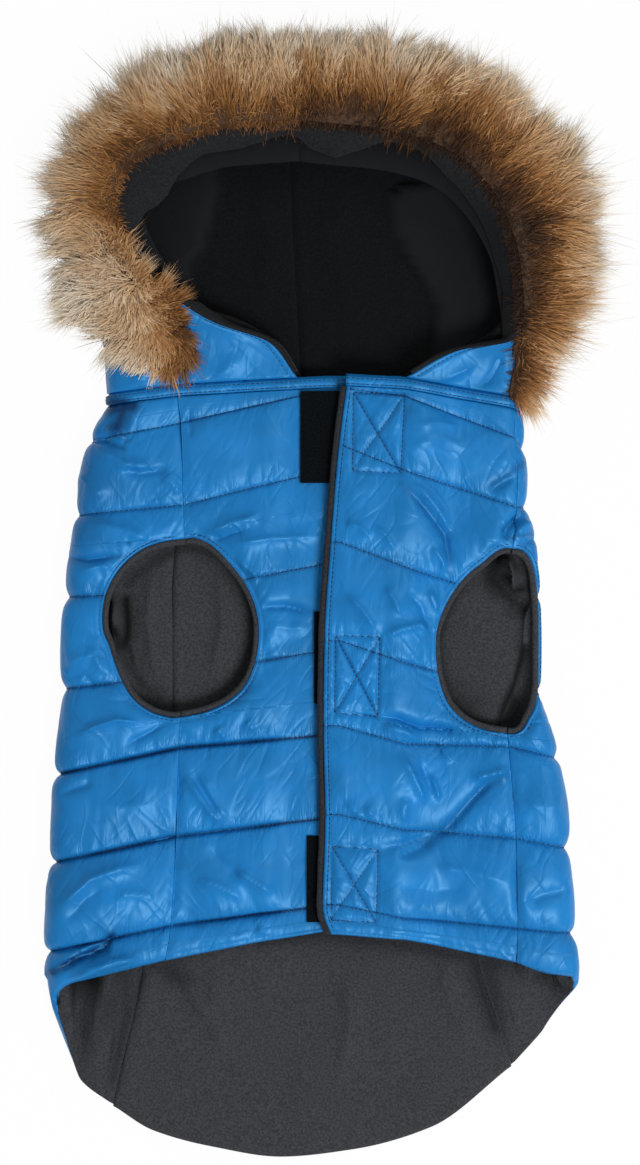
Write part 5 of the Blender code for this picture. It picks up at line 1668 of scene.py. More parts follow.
def add_mesh(name, points, faces, look, body="root"):
    """A piece of the looks, in metres and in the part's frame, with its faces pointing out."""
    points = np.asarray(points, float) + (*FRAME_SHIFT, 0.0)
    faces = facing_out(points, np.asarray(faces))
    mesh = bpy.data.meshes.new(name)
    mesh.vertices.add(len(points))
    mesh.vertices.foreach_set("co", (points * MM).astype(np.float32).ravel())
    mesh.loops.add(faces.size)
    mesh.loops.foreach_set("vertex_index", faces.astype(np.int32).ravel())
    mesh.polygons.add(len(faces))
    mesh.polygons.foreach_set("loop_start", np.arange(0, faces.size, 3, dtype=np.int32))
    mesh.update(calc_edges=True)
    mesh.shade_smooth()
    mesh.materials.append(look)
    thing = bpy.data.objects.new(name, mesh)
    bpy.context.scene.collection.objects.link(thing)
    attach(thing, body)
    return thing


def paint(piece, name, values):
    """A point attribute that the piece's material reads."""
    attribute = piece.data.attributes.new(name, "FLOAT_VECTOR", "POINT")
    attribute.data.foreach_set("vector", np.asarray(values, np.float32).ravel())


def paint_outer(piece, name, values):
    """The same for a wall whose first points are its outer grid; the inner ones get zero."""
    full = np.zeros((len(piece.data.vertices), 3))
    full[:values.shape[0] * values.shape[1]] = values.reshape(-1, 3)
    paint(piece, name, full)


def shade_outer(piece, shade):
    """Paints shade into the recesses of a wall's outer grid."""
    paint_outer(piece, "painted_shade", np.repeat(shade[..., None], 3, axis=-1))


def shade_first(piece, shade):
    """Paints shade into the recesses of the wall that is a piece's first part, on both of its grids."""
    full = np.zeros(len(piece.data.vertices))
    full[:2 * shade.size] = np.tile(shade.ravel(), 2)
    paint(piece, "painted_shade", np.repeat(full, 3))


def as_shell(piece, node):
    """Hides the CAD node that a panel of the quilted shell stands for."""
    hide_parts(node)


def as_sheet(node):
    """Hides the CAD node that a single cloth stands for."""
    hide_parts(node)


def grid_faces(rows, columns, first=0):
    """Two triangles for each cell of a grid of points."""
    at = first + np.arange(rows * columns).reshape(rows, columns)
    a, b, c, d = at[:-1, :-1], at[:-1, 1:], at[1:, 1:], at[1:, :-1]
    halves = [np.stack([a, b, c], -1), np.stack([a, c, d], -1)]
    return np.concatenate([half.reshape(-1, 3) for half in halves])


def border(rows, columns):
    """The points round a grid's edge, in order."""
    at = np.arange(rows * columns).reshape(rows, columns)
    return np.concatenate([at[0, :-1], at[:-1, -1], at[-1, :0:-1], at[:0:-1, 0]])


def wall(outer, inner):
    """A closed wall between two grids of the same size."""
    rows, columns = outer.shape[:2]
    size = rows * columns
    rim = border(rows, columns)
    after = np.roll(rim, -1)
    edge = np.concatenate([
        np.stack([after, rim, rim + size], -1),
        np.stack([after, rim + size, after + size], -1),
    ])
    faces = [grid_faces(rows, columns), grid_faces(rows, columns, size)[:, ::-1], edge]
    return np.concatenate([outer.reshape(-1, 3), inner.reshape(-1, 3)]), np.concatenate(faces)


def backed(outer, inner, skip):
    """A closed wall whose hidden inner grid keeps only every skip-th line of the fine one."""
    rows, columns = outer.shape[:2]
    kept_rows = np.unique(np.append(np.arange(0, rows, skip), rows - 1))
    kept_columns = np.unique(np.append(np.arange(0, columns, skip), columns - 1))
    inner = inner[np.ix_(kept_rows, kept_columns)]
    size = rows * columns
    fine = border(rows, columns)
    row_of = np.abs(kept_rows[:, None] - np.arange(rows)[None]).argmin(axis=0)
    column_of = np.abs(kept_columns[:, None] - np.arange(columns)[None]).argmin(axis=0)
    fine_row, fine_column = np.divmod(fine, columns)
    partner = size + row_of[fine_row] * len(kept_columns) + column_of[fine_column]
    after = np.roll(fine, -1)
    after_partner = np.roll(partner, -1)
    first = np.stack([after, fine, partner], -1)
    second = np.stack([after, partner, after_partner], -1)
    second = second[partner != after_partner]
    low = grid_faces(len(kept_rows), len(kept_columns), size)[:, ::-1]
    faces = [grid_faces(rows, columns), low, first, second]
    return np.concatenate([outer.reshape(-1, 3), inner.reshape(-1, 3)]), np.concatenate(faces)


def join(parts):
    """Several meshes as one."""
    points, faces, first = [], [], 0
    for part_points, part_faces in parts:
        points.append(part_points)
        faces.append(part_faces + first)
        first += len(part_points)
    return np.concatenate(points), np.concatenate(faces)


def tube(path, radius, sides=10, squash=1.0):
    """A closed tube along a path, squashed in height."""
    path = np.asarray(path, float)
    forward = unit(np.gradient(path, axis=0))
    across = unit(np.cross(forward, (0.0, 0.0, 1.0)))
    lift = unit(np.cross(across, forward))
    angle = np.linspace(0, 2 * math.pi, sides, endpoint=False)
    radius = np.broadcast_to(np.asarray(radius, float), (len(path),))
    ring = across[:, None] * np.cos(angle)[None, :, None]
    ring = ring + lift[:, None] * np.sin(angle)[None, :, None] * squash
    points = path[:, None] + ring * radius[:, None, None]
    at = np.arange(len(path) * sides).reshape(len(path), sides)
    turned = np.roll(at, -1, axis=1)
    a, b, c, d = at[:-1], turned[:-1], turned[1:], at[1:]
    faces = [np.stack([a, b, c], -1).reshape(-1, 3), np.stack([a, c, d], -1).reshape(-1, 3)]
    fan = np.arange(1, sides - 1)
    faces.append(np.stack([at[0, fan + 1], at[0, fan], np.full(sides - 2, at[0, 0])], -1))
    faces.append(np.stack([at[-1, fan], at[-1, fan + 1], np.full(sides - 2, at[-1, 0])], -1))
    points = points.reshape(-1, 3)
    return points, facing_out(points, np.concatenate(faces))


def outward_grid(outer, inner, skip=1):
    """The wall between two grids, with its faces turned outwards."""
    points, faces = backed(outer, inner, skip) if skip > 1 else wall(outer, inner)
    return points, facing_out(points, faces)


def spaced_rows(side, step):
    """Quilt rows of a grid, closer where the armhole's outline turns, and beside each quilt line
    where the grid is fine."""
    hole = side["hole"]
    turns = hole_rows(side, int(hole_span(side)[1] * ROW_PITCH * math.pi / step))
    above = np.linspace(1.0, hole["first"], int((hole["first"] - 1.0) * ROW_PITCH / step))[:-1]
    past = (HEM_FROM - hole["last"]) * ROW_PITCH
    below = np.linspace(hole["last"], HEM_FROM, int(past / step))[1:-1]
    neck = np.linspace(0.0, 1.0, int(END_CHANNEL / step))[:-1]
    hem = np.linspace(HEM_FROM, HEM_EVEN_TO, int(END_CHANNEL / step))
    rows = np.concatenate([neck, above, turns, below, hem, HEM_ROWS])
    if step > COARSE:
        return rows
    lines = np.arange(1.0, LAST_ROW)
    apart = np.abs(rows[:, None] - lines[None]).min(axis=1) * ROW_PITCH
    near = (lines[:, None] + np.array(LINE_NEAR)[None] / ROW_PITCH).ravel()
    kept = (apart > LINE_NEAR[-1] + LINE_CLEAR) | (rows == hole["first"]) | (rows == hole["last"])
    return np.sort(np.concatenate([rows[kept], near]))


def spaced_columns(width, count):
    """Distances across a panel: fine at both edges, even in between."""
    edge = np.array(EDGE_LINES)
    edge = edge[None, :] * np.minimum(1.0, width / (4.0 * edge[-1]))[:, None]
    inner = np.linspace(0.0, 1.0, count + 2)[None, 1:-1]
    middle = edge[:, -1:] + (width[:, None] - 2 * edge[:, -1:]) * inner
    return np.concatenate([edge, middle, width[:, None] - edge[:, ::-1]], axis=1)


def add_front(name, side, edge_x, look):
    """A quilted front panel."""
    q = spaced_rows(side, FINE)
    start = front_x(side, edge_x, q, 0.0)
    end = front_x(side, edge_x, q, 1.0) - side["inward"] * CLOSE_GAP
    across = spaced_columns(np.abs(end - start), int(np.abs(end - start).max() / FINE))
    x = start[:, None] - side["inward"] * across
    q = np.broadcast_to(q[:, None], x.shape)
    outer = front_skin(side, edge_x, q, x)
    inner = upper_point(side, q, x) - upper_normal(side, q, x) * SHELL
    piece = add_mesh("quilted_" + name, *outward_grid(outer, inner, INNER_SKIP), look)
    paint_outer(piece, "seam_pull", seam_pull(side, q, x, x))
    # Painted shade in the quilt lines' valleys, along the box lines and in the listed folds
    shade_outer(piece, seam_painted_shade(side, q, x, upper_point(side, q, x)[..., 1]))
    as_shell(piece, name)


def add_side(name, side, look):
    """A quilted side panel, round the fold and in under the coat."""
    q = spaced_rows(side, FINE)
    seam = side_along(side, q, -1.0)
    back = side_along(side, q, 1.0)
    width = seam - back
    across = spaced_columns(width, int(width.max() / SIDE_FINE))
    along = seam[:, None] - across
    q = np.broadcast_to(q[:, None], along.shape)
    f = side_columns_of(side, q, along)
    base = side_point(side, q, f)
    inner = base - side_normal(side, q, f) * under_thickness(q, f, side)[..., None]
    wall_mesh = outward_grid(side_skin(side, q, f), inner, INNER_SKIP)
    piece = add_mesh("quilted_" + name, *wall_mesh, look)
    paint_outer(piece, "seam_pull", seam_pull(side, q, base[..., 0], -side["inward"] * along))
    # Painted shade in the quilt lines' valleys and in the listed folds
    shade = seam_painted_shade(side, q, base[..., 0], base[..., 1])
    shade_outer(piece, shade * ease((along - SIDE_SHADE_FROM) / SIDE_SHADE_BLEND))
    as_shell(piece, name)


def tail_rows(step):
    """Rows of the back panel, left and right, with more of them down the tail."""
    above = np.linspace(0.0, HEM_FROM, int(HEM_FROM * ROW_PITCH / step))[:-1]
    tail = np.linspace(HEM_FROM, TAIL_EVEN_TO, int(TAIL_LENGTH / step))
    left = np.concatenate([above, tail, TAIL_ROWS])
    right = np.interp(left, panel_rows(LEFT), panel_rows(RIGHT))
    return left, right


def to_tail_edge(left_q, v):
    """Distance to the tail's edge along the panel, and the length of the last channel."""
    tail = np.array(TAIL)
    length = np.interp(v, tail[:, 0], TAIL_FROM_Y - tail[:, 1])
    return (LAST_ROW - left_q) * np.maximum(length, TAIL_SHORTEST), length


def back_grid(count):
    """Rows and columns of the back panel, and its surface on the ground."""
    left_q, right_q = tail_rows(BACK_STEP)
    left_q, columns = np.meshgrid(left_q, np.linspace(0.0, 1.0, count), indexing="ij")
    right_q = np.broadcast_to(right_q[:, None], columns.shape)
    return left_q, columns, back_point(left_q, right_q, columns)


def at_heights(base, *heights):
    """Copies of a surface with their heights set."""
    return [np.concatenate([base[..., :2], height[..., None]], axis=-1) for height in heights]


def add_back(look):
    """The quilted back panel, which the coat lies on."""
    left_q, columns, base = back_grid(BACK_COLUMNS)
    to_edge, length = to_tail_edge(left_q, columns)
    rows_in_tail = np.maximum(np.round(length / TAIL_PITCH), 1.0)
    across = np.where(left_q > HEM_FROM, (left_q - HEM_FROM) * rows_in_tail, left_q) % 1.0
    pitch = np.where(left_q > HEM_FROM, length / rows_in_tail, ROW_PITCH)
    near_line = np.minimum(across, 1.0 - across) * pitch
    rounding = -edge_round(to_edge, *BACK_ROUNDING) * (left_q > HEM_FROM)
    groove = GROOVE * bell(near_line, GROOVE_WIDTH)
    walls = at_heights(base, groove + rounding, SHELL_UNDER - rounding)
    as_shell(add_mesh("quilted_back", *outward_grid(*walls), look), "back")


# ---------------------------------------------------------------- linings

def fleece_waves(seed, x, y):
    """Slow unevenness of the fleece."""
    return sum(
        rise * noise(seed + k, *cells_of(size, x, y)) for k, (rise, size) in enumerate(FLEECE_WAVES)
    )


def fleece_folds(base):
    """The creases and folded edges of the lining, by place."""
    x, y = base[..., 0], base[..., 1]
    return creases(FLEECE_CREASES, x, y) + folded_edges(FLEECE_EDGES, x, y)


def painted_shade_of(rise, base):
    """Painted shade at the bottom of a deep trough, and along the fleece's shade strokes."""
    trough = np.clip((-rise - TROUGH_FROM) / TROUGH_BLEND, 0.0, TROUGH_SHADE)
    return np.maximum(trough, strokes(FLEECE_SHADE, base[..., 0], base[..., 1]))


def lining_seam(distance):
    """A lining's dip at a seam and the swell beside it."""
    return sum(rise * bell(distance - place, width) for rise, place, width in LINING_SEAM)


def add_back_lining(look):
    """The fleece on the back panel, seen inside the tail and through the armholes."""
    left_q, columns, base = back_grid(BACK_LINING_COLUMNS)
    base[:, 0, 0] -= CLOSE_GAP
    base[:, -1, 0] += CLOSE_GAP
    to_edge, _ = to_tail_edge(left_q, columns)
    on_tail = ease((left_q - HEM_FROM) / ON_TAIL_BLEND)
    base[..., 1] -= LINING_PAST_TAIL * ease((left_q - PAST_TAIL_FROM) / PAST_TAIL_BLEND)
    rounding = -edge_round(to_edge, *BACK_LINING_ROUNDING) * (left_q > HEM_FROM)
    to_seam = np.minimum(columns, 1.0 - columns) * BACK_WIDTH
    free = ease(to_edge / TAIL_FREE + (1.0 - on_tail))
    waves = fleece_waves(BACK_LINING_SEED, base[..., 0], base[..., 1])
    rise = waves + lining_seam(to_seam) + fleece_folds(base)
    # Painted shade in deep troughs and along the fleece's shade strokes
    painted_shade = painted_shade_of(rise, base)
    rise = np.maximum(rise, -DEEPEST)
    floor_z = SHELL_UNDER + GAP
    walls = at_heights(base, floor_z - rounding, floor_z + LINING + rise * free - rounding)
    piece = add_mesh("fleece_back", *outward_grid(*walls), look)
    shade_first(piece, painted_shade)
    as_sheet("lining_back")


def rolled_rim(side, part, seed):
    """The fleece that rolls out past the armhole's edge."""
    q = hole_rows(side, RIM_POINTS)
    if part == "front":
        x = hole_edge_x(side, q)
        base = upper_point(side, q, x)
        normal = upper_normal(side, q, x)
    else:
        edge = np.full_like(q, -1.0)
        base = side_point(side, q, edge)
        normal = side_normal(side, q, edge)
    centre = base[[0, -1]].mean(axis=0)
    into = np.cross(normal, unit(np.gradient(base, axis=0)))
    toward = np.sign(np.einsum("ij,ij->i", into, centre - base).sum())
    into = unit(into) * toward
    path = base - normal * RIM_DEPTH + into * RIM_OUT
    place = np.linspace(0.0, RIM_WAVES, len(q))
    radius = RIM_RADIUS * (1.0 + RIM_UNEVEN * noise(seed, place, place * 0.0))
    return tube(path, radius, sides=RIM_SIDES)


def add_front_lining(name, side, edge_x, shows, look):
    """The fleece behind a front panel, and the edge of it that shows beside the closure."""
    q = spaced_rows(side, LINING_STEP)
    start = front_x(side, edge_x, q, 0.0)
    end = front_x(side, edge_x, q, 1.0)
    across = spaced_columns(np.abs(end - start), int(np.abs(end - start).max() / LINING_STEP))
    x = start[:, None] - side["inward"] * across
    q = np.broadcast_to(q[:, None], x.shape)
    normal = upper_normal(side, q, x)
    x = x.copy()
    x[:, 0] -= shows
    base = upper_point(side, q, x)
    outer = base - normal * (SHELL + GAP)
    rim = rolled_rim(side, "front", FRONT_RIM_SEED)
    parts = [outward_grid(outer, outer - normal * LINING), rim]
    if shows:
        row = np.linspace(EDGE_MARGIN, LAST_ROW - EDGE_MARGIN, EDGE_POINTS)
        edge = front_x(side, edge_x, row, 0.0) - 0.5 * shows
        down = upper_normal(side, row, edge) * (SHELL - EDGE_INSIDE)
        uneven = EDGE_UNEVEN * noise(EDGE_SEED, row * EDGE_WAVES, row * 0.0)
        path = upper_point(side, row, edge) - down
        parts.append(tube(path, EDGE_ROLL * (1.0 + uneven), sides=EDGE_SIDES, squash=EDGE_SQUASH))
    piece = add_mesh("fleece_" + name, *join(parts), look)
    # Painted shade on the rolled fleece edge beside the closure
    shade = np.zeros(len(piece.data.vertices))
    if shows:
        shade[-len(parts[-1][0]):] = EDGE_SHADE
    paint(piece, "painted_shade", np.repeat(shade, 3))
    as_sheet("lining_" + name)


def add_side_lining(name, side, look):
    """The fleece behind a side panel."""
    q = spaced_rows(side, SIDE_LINING_STEP)
    seam = side_along(side, q, -1.0)
    back = side_along(side, q, 1.0)
    across = spaced_columns(seam - back, int((seam - back).max() / SIDE_LINING_STEP))
    along = seam[:, None] - across
    q = np.broadcast_to(q[:, None], along.shape)
    f = side_columns_of(side, q, along)
    base = side_point(side, q, f)
    normal = side_normal(side, q, f)
    thickness = under_thickness(q, f, side)
    outer = base - normal * (thickness + GAP)[..., None]
    to_back = along - back[:, None]
    free = ease((-along - WAVES_FROM) / WAVES_BLEND)
    rise = fleece_waves(SIDE_LINING_SEED, base[..., 0], base[..., 1]) * free + lining_seam(to_back)
    rise = rise + fleece_folds(base) * ease((-along - FOLDS_FROM) / FOLDS_BLEND)
    # Painted shade in deep troughs and along the fleece's shade strokes
    painted_shade = painted_shade_of(rise, base)
    rise = np.maximum(rise, -DEEPEST)
    close = -side["inward"] * CLOSE_GAP * bell(to_back, BACK_SEAM_WIDTH)
    shift = close[..., None] * (1.0, 0.0, 0.0)
    inner = outer - normal * (LINING + rise)[..., None] - shift
    parts = [outward_grid(outer - shift, inner), rolled_rim(side, "side", SIDE_RIM_SEED)]
    piece = add_mesh("fleece_" + name, *join(parts), look)
    shade_first(piece, painted_shade)
    as_sheet("lining_" + name)


def binding_runs():
    """Base points, normals and depths of the neck binding, from edge to edge of the closure."""
    def front_run(side, edge_x, columns):
        zero = np.zeros_like(columns)
        x = front_x(side, edge_x, zero, columns)
        return upper_point(side, zero, x), upper_normal(side, zero, x), np.full_like(zero, SHELL)

    def side_run(side, columns):
        zero = np.zeros_like(columns)
        normal = side_normal(side, zero, columns)
        return side_point(side, zero, columns), normal, under_thickness(zero, columns, side)

    v = np.linspace(0.0, 1.0, BINDING_POINTS["back"])[1:-1]
    back = back_point(np.zeros_like(v), np.zeros_like(v), v)
    down = np.tile([0.0, 0.0, -1.0], (len(v), 1))
    turn = np.linspace(-1.0, 1.0, BINDING_POINTS["side"])
    f = np.sign(turn) * np.abs(turn) ** (1 / SPREAD)
    runs = [
        front_run(LEFT, UNDER_EDGE_X, np.linspace(0.0, 1.0, BINDING_POINTS["left"])[:-1]),
        side_run(LEFT, f),
        (back, down, np.full_like(v, SHELL_UNDER)),
        side_run(RIGHT, f[::-1]),
        front_run(RIGHT, LAP_EDGE_X, np.linspace(1.0, 0.0, BINDING_POINTS["right"])[1:]),
    ]
    base = np.concatenate([run[0] for run in runs])
    normal = np.concatenate([run[1] for run in runs])
    return base, normal, np.concatenate([run[2] for run in runs])[:, None]


def arc_length(points):
    """The length along a broken line, at each of its points."""
    return np.concatenate([[0.0], np.cumsum(np.linalg.norm(np.diff(points, axis=0), axis=1))])


def add_binding(look):
    """The strip over the neck seam. Returns its two stitched lines."""
    base, normal, thickness = binding_runs()
    arc = arc_length(base)
    outer, inner = [], []
    for t, height in BINDING_PROFILE:
        wave = ridged(BINDING_SEED, arc / BINDING_PUCKER_PITCH, arc * 0.0 + t) ** PUCKER_SHARP
        lift = (BINDING_PROUD + height - BINDING_PUCKER * wave)[:, None] * ease(base[:, 2:] / FOLD_Z)
        shift = np.array([0.0, GAP + BINDING_WIDTH * t, 0.0])
        outer.append(base + normal * lift + shift)
        inner.append(base - normal * (thickness + GAP + LINING) + shift)
    outer, inner = np.stack(outer), np.stack(inner)
    piece = add_mesh("binding_strip", *outward_grid(outer, inner), look)
    # Painted shade at the binding's curled left end
    shade_outer(piece, strokes(BINDING_SHADE, outer[..., 0], outer[..., 1]))
    as_sheet("neck_binding")
    return [outer[k] for k in BINDING_STITCHED]


# ---------------------------------------------------------------- the hood

def hood_grid(step):
    """Rows and columns of one half of the hood, closer at the rim."""
    j = np.linspace(0.0, LAST_ROW, int(HOOD_LENGTH / step))
    turn = np.linspace(-1.0, 1.0, int(HOOD_ROUND_LENGTH / step))
    f = np.sign(turn) * np.abs(turn) ** (1.0 / SPREAD)
    f = np.unique(np.concatenate([f, HOOD_RIM_COLUMNS]))
    return np.meshgrid(j, f, indexing="ij")


def hood_skin(side, table, j, f):
    """The hood's visible outside, never below the ground."""
    seed = HOOD_SEED[side["inward"]]
    base = hood_point(side, table, j, f)
    normal = hood_normal(side, table, j, f)
    x, y = base[..., 0], base[..., 1]
    distance = np.linalg.norm(base - hood_point(side, table, j, -1.0), axis=-1)
    on_top = np.where(f < 0, 1.0, 1.0 - ease(f / HOOD_TOP_BLEND))
    width = np.full_like(j, FULL_CHANNEL)
    rise = HOOD_CRUMPLE * crumple(seed, x, y, width) + creases(HOOD_CREASES, x, y)
    rise = rise * ease(distance / HOOD_SMOOTH) * ease(j / HOOD_SMOOTH_ROWS)
    swell = HOOD_SWELL * bell(distance - HOOD_SWELL_AT, HOOD_SWELL_WIDTH)
    line = stitch_line(distance - HOOD_STITCH, *HOOD_GROOVE) + swell
    rise = (rise + line) * on_top + edge_round(distance, *HOOD_ROUNDING)
    skin = base + normal * rise[..., None]
    skin[..., 2] = np.maximum(skin[..., 2], 0.0)
    return skin


def add_hood(side_name, side, table, look):
    """One half of the hood's nylon."""
    j, f = hood_grid(HOOD_STEP)
    inner = hood_point(side, table, j, f) - hood_normal(side, table, j, f) * HOOD_SHELL
    wall_mesh = outward_grid(hood_skin(side, table, j, f), inner, HOOD_SKIP)
    piece = add_mesh("shell_hood_" + side_name, *wall_mesh, look)
    as_sheet("hood_" + side_name)


def add_hood_lining(side_name, side, table, look):
    """One half of the hood's fleece, from the facing's free edge to the centre seam."""
    j, f = hood_grid(LINING_STEP)
    base = hood_point(side, table, j, f)
    normal = hood_normal(side, table, j, f)
    lining = base - normal * lining_gap(j, f)[..., None]
    x, y = lining[..., 0], lining[..., 1]
    seed = HOOD_LINING_SEED[side["inward"]]
    fold = creases(HOOD_FOLDS, x, y) + HOOD_WAVE * noise(seed, *cells_of(HOOD_WAVE_SIZE, x, y))
    wander = ridged(seed + 1, *cells_of(HOOD_RIDGE_SIZE, x + HOOD_RIDGE_LEAN * y, y))
    fold = np.maximum(fold + HOOD_RIDGE * wander ** PUCKER_SHARP, -HOOD_DIP)
    loose = ease((f - LOOSE_FROM) / LOOSE_BLEND) * ease(j / LOOSE_ROWS)
    loose = loose * ease((1.0 - np.abs(f)) / CROWN_HELD + CROWN_LOOSE)
    raised = folded_edges(LINING_EDGES, x, y) * ease(j / LOOSE_ROWS)
    raised = raised * ease((f - FOLDED_FROM) / FOLDED_BLEND) * (normal[..., 2] < 0)
    inner = lining - normal * (LINING + fold * loose + raised)[..., None]
    for grid in (lining, inner):
        grid[:, -1, 0] += side["inward"] * CLOSE_GAP
        grid[-1, :-1, 0] += side["inward"] * CLOSE_GAP
    tip = facing_point(side, table, j[:, :1], np.ones((len(j), 1))) - (0.0, 0.0, LINING + GAP)
    outer = np.concatenate([tip, lining], axis=1)
    inner = np.concatenate([tip - (0.0, 0.0, LINING), inner], axis=1)
    piece = add_mesh("fleece_hood_" + side_name, *outward_grid(outer, inner), look)
    # Painted light on the lining's raised folds, full on the strip at the facing's edge
    lit = np.clip(raised / FULL_LIGHT_RISE, 0.0, 1.0)
    lit = np.concatenate([np.ones((len(j), 1)), lit], axis=1).ravel()
    paint(piece, "fold_light", np.repeat(np.tile(lit, 2), 3))
    as_sheet("hood_lining_" + side_name)


def facing_reach(rim):
    """Where the facing's free edge lies in plan, seen from the hood's middle past each rim point,
    and the share that this edge has there."""
    edge = np.array(FACING_EDGE) - HOOD_MIDDLE
    bearing = np.arctan2(edge[:, 1], edge[:, 0])
    away = rim[..., :2] - HOOD_MIDDLE
    angle = np.arctan2(away[..., 1], away[..., 0])
    angle = np.where(angle < BEARING_FROM, angle + 2 * math.pi, angle)
    reach = np.interp(angle, bearing[::-1], np.hypot(edge[:, 0], edge[:, 1])[::-1])
    inside = ease((angle - bearing[-1]) / BEARING_BLEND + 1.0)
    inside = inside * ease((bearing[0] - angle) / BEARING_BLEND + 1.0)
    return HOOD_MIDDLE + unit(away) * reach[..., None], inside


def add_facing(look):
    """The fleece strip turned in along the rim, from neck to neck, and its rolled edge."""
    rows_up = np.linspace(FACING_FROM, LAST_ROW, FACING_GRID[0])
    halves = ((LEFT, HOOD_LEFT, rows_up), (RIGHT, HOOD_RIGHT, rows_up[-2::-1]))
    outer, rims, facing_shades = [], [], []
    for side, table, rows in halves:
        j, w = np.meshgrid(rows, np.linspace(0.0, 1.0, FACING_GRID[1]), indexing="ij")
        point = facing_point(side, table, j, w)
        rim = facing_point(side, table, j, np.zeros_like(w))
        target, inside = facing_reach(rim)
        inside = inside[..., None]
        plan = rim[..., :2] + (target - rim[..., :2]) * w[..., None]
        point[..., :2] = point[..., :2] * (1.0 - inside) + plan * inside
        wave = FACING_WAVE * noise(FACING_SEED, j * FACING_WAVES[0], w * FACING_WAVES[1])
        lift = FACING_SWELL * np.sin(math.pi * w) + wave * w
        # Painted shade towards the hood's right, where the facing's raise also flattens
        dim = ease((rim[..., 0] - FACING_DIM_X[0]) / FACING_DIM_X[1])
        dim = dim * ease((FACING_DIM_Y[0] - rim[..., 1]) / FACING_DIM_Y[1])
        point[..., 2] += lift + FACING_RAISED * w * inside[..., 0] * (1.0 - FACING_DIM_FLAT * dim)
        outer.append(point)
        facing_shades.append(FACING_PAINTED_SHADE * dim)
        top, inward = rim_line(side, table, rows)
        rims.append(top + inward * FACING_ROLL_IN - (0.0, 0.0, FACING_ROLL_DOWN))
    outer = np.concatenate(outer)
    rim = np.concatenate(rims)
    rim_tube = tube(rim, FACING_ROLL, sides=ROLL_SIDES)
    parts = [outward_grid(outer, outer - (0.0, 0.0, LINING)), rim_tube]
    piece = add_mesh("fleece_facing", *join(parts), look)
    # Painted shade on the facing and its rolled edge
    facing_shades = np.concatenate(facing_shades)
    shade = np.zeros(len(piece.data.vertices))
    shade[:2 * facing_shades.size] = np.tile(facing_shades.ravel(), 2)
    shade[2 * facing_shades.size:] = np.repeat(facing_shades[:, 0], ROLL_SIDES)
    paint(piece, "painted_shade", np.repeat(shade, 3))
    as_sheet("hood_facing")


# ---------------------------------------------------------------- stitches

def resample(points, step):
    """Evenly spaced points along a broken line."""
    points = np.asarray(points, float)
    arc = arc_length(points)
    count = max(int(arc[-1] / step), 1)
    at = (np.arange(count) + 0.5) * arc[-1] / count
    return np.stack([np.interp(at, arc, points[:, k]) for k in range(3)], axis=-1)


def dashes(path):
    """Short thread dashes along a dense path on the skin."""
    centre = resample(path, STITCH_PITCH)
    if len(centre) < 2:
        return None
    forward = unit(np.gradient(centre, axis=0))
    across = unit(np.cross(forward, (0.0, 0.0, 1.0)))
    up = unit(np.cross(across, forward))
    up = up * np.sign(up[:, 2:] + TINY)
    along = np.array(DASH_PLACES) * STITCH_LENGTH
    size = np.array(DASH_SIZES) * STITCH_THICK / 2
    ring = [(1.0, 0.0), (0.0, 1.0), (-1.0, 0.0), (0.0, -1.0)]
    points = []
    for place, radius, height in zip(along, size, DASH_HEIGHTS):
        for a, b in ring:
            rise = up * (radius * b + height + STITCH_RISE)
            points.append(centre + forward * place + across * radius * a + rise)
    points = np.stack(points, axis=1)
    count = points.shape[1]
    local = []
    for k in range(3):
        for corner in range(4):
            a, b = k * 4 + corner, k * 4 + (corner + 1) % 4
            local += [(a, b, b + 4), (a, b + 4, a + 4)]
    local += [(2, 1, 0), (3, 2, 0), (12, 13, 14), (12, 14, 15)]
    faces = np.array(local)[None] + np.arange(len(points))[:, None, None] * count
    return points.reshape(-1, 3), faces.reshape(-1, 3)


def plan_line_on_lap(a, b):
    """A straight line of the plan, laid on front_right."""
    t = np.linspace(0.0, 1.0, BOX_POINTS)
    x = a[0] + (b[0] - a[0]) * t
    y = a[1] + (b[1] - a[1]) * t
    q = row_at(RIGHT, x, y)
    return front_skin(RIGHT, LAP_EDGE_X, q, x)


def beside(outline, distance, way):
    """A line beside an outline in the plane, on the side where x grows by the way's sign."""
    tangent = np.gradient(outline, axis=0)
    normal = unit(np.stack([tangent[:, 1], -tangent[:, 0]], axis=-1))
    return outline + normal * np.sign(normal[len(outline) // 2, 0] * way) * distance


def hole_stitch_front(side, edge_x):
    """The line stitched round the armhole, on the front panel."""
    place = beside(hole_outline(side, "front", HOLE_POINTS), HOLE_STITCH, side["inward"])
    seam = column(side["rows"], SEAM_X, row_at(side, place[:, 0], place[:, 1]))
    place = place[(place[:, 0] - seam) * side["inward"] > STITCH_FROM_SEAM]
    q = row_at(side, place[:, 0], place[:, 1])
    return front_skin(side, edge_x, q, place[:, 0])


def hole_stitch_side(side):
    """The same line on the side panel, laid out on its unrolled section."""
    q = hole_rows(side, HOLE_POINTS)
    outline = np.stack([side_along(side, q, -1.0), -q * ROW_PITCH], axis=-1)
    place = beside(outline, HOLE_STITCH, -1)
    along, q = place[:, 0], -place[:, 1] / ROW_PITCH
    inside = along < side_along(side, q, -1.0) - STITCH_FROM_SEAM
    q, along = q[inside], along[inside]
    return side_skin(side, q, side_columns_of(side, q, along))


def hood_stitch(side, table):
    """The line stitched along the hood's rim, from the neck to where the fur hides it."""
    j = np.linspace(HOOD_STITCH_FROM, HOOD_STITCH_TO[side["inward"]], HOOD_STITCH_POINTS)
    rim = hood_point(side, table, j, -1.0)
    fold = hood_point(side, table, j, 0.0)
    share = 1.0 - HOOD_STITCH / np.linalg.norm((rim - fold)[:, :2], axis=1)
    return hood_skin(side, table, j, -(share ** (1.0 / SPREAD)))


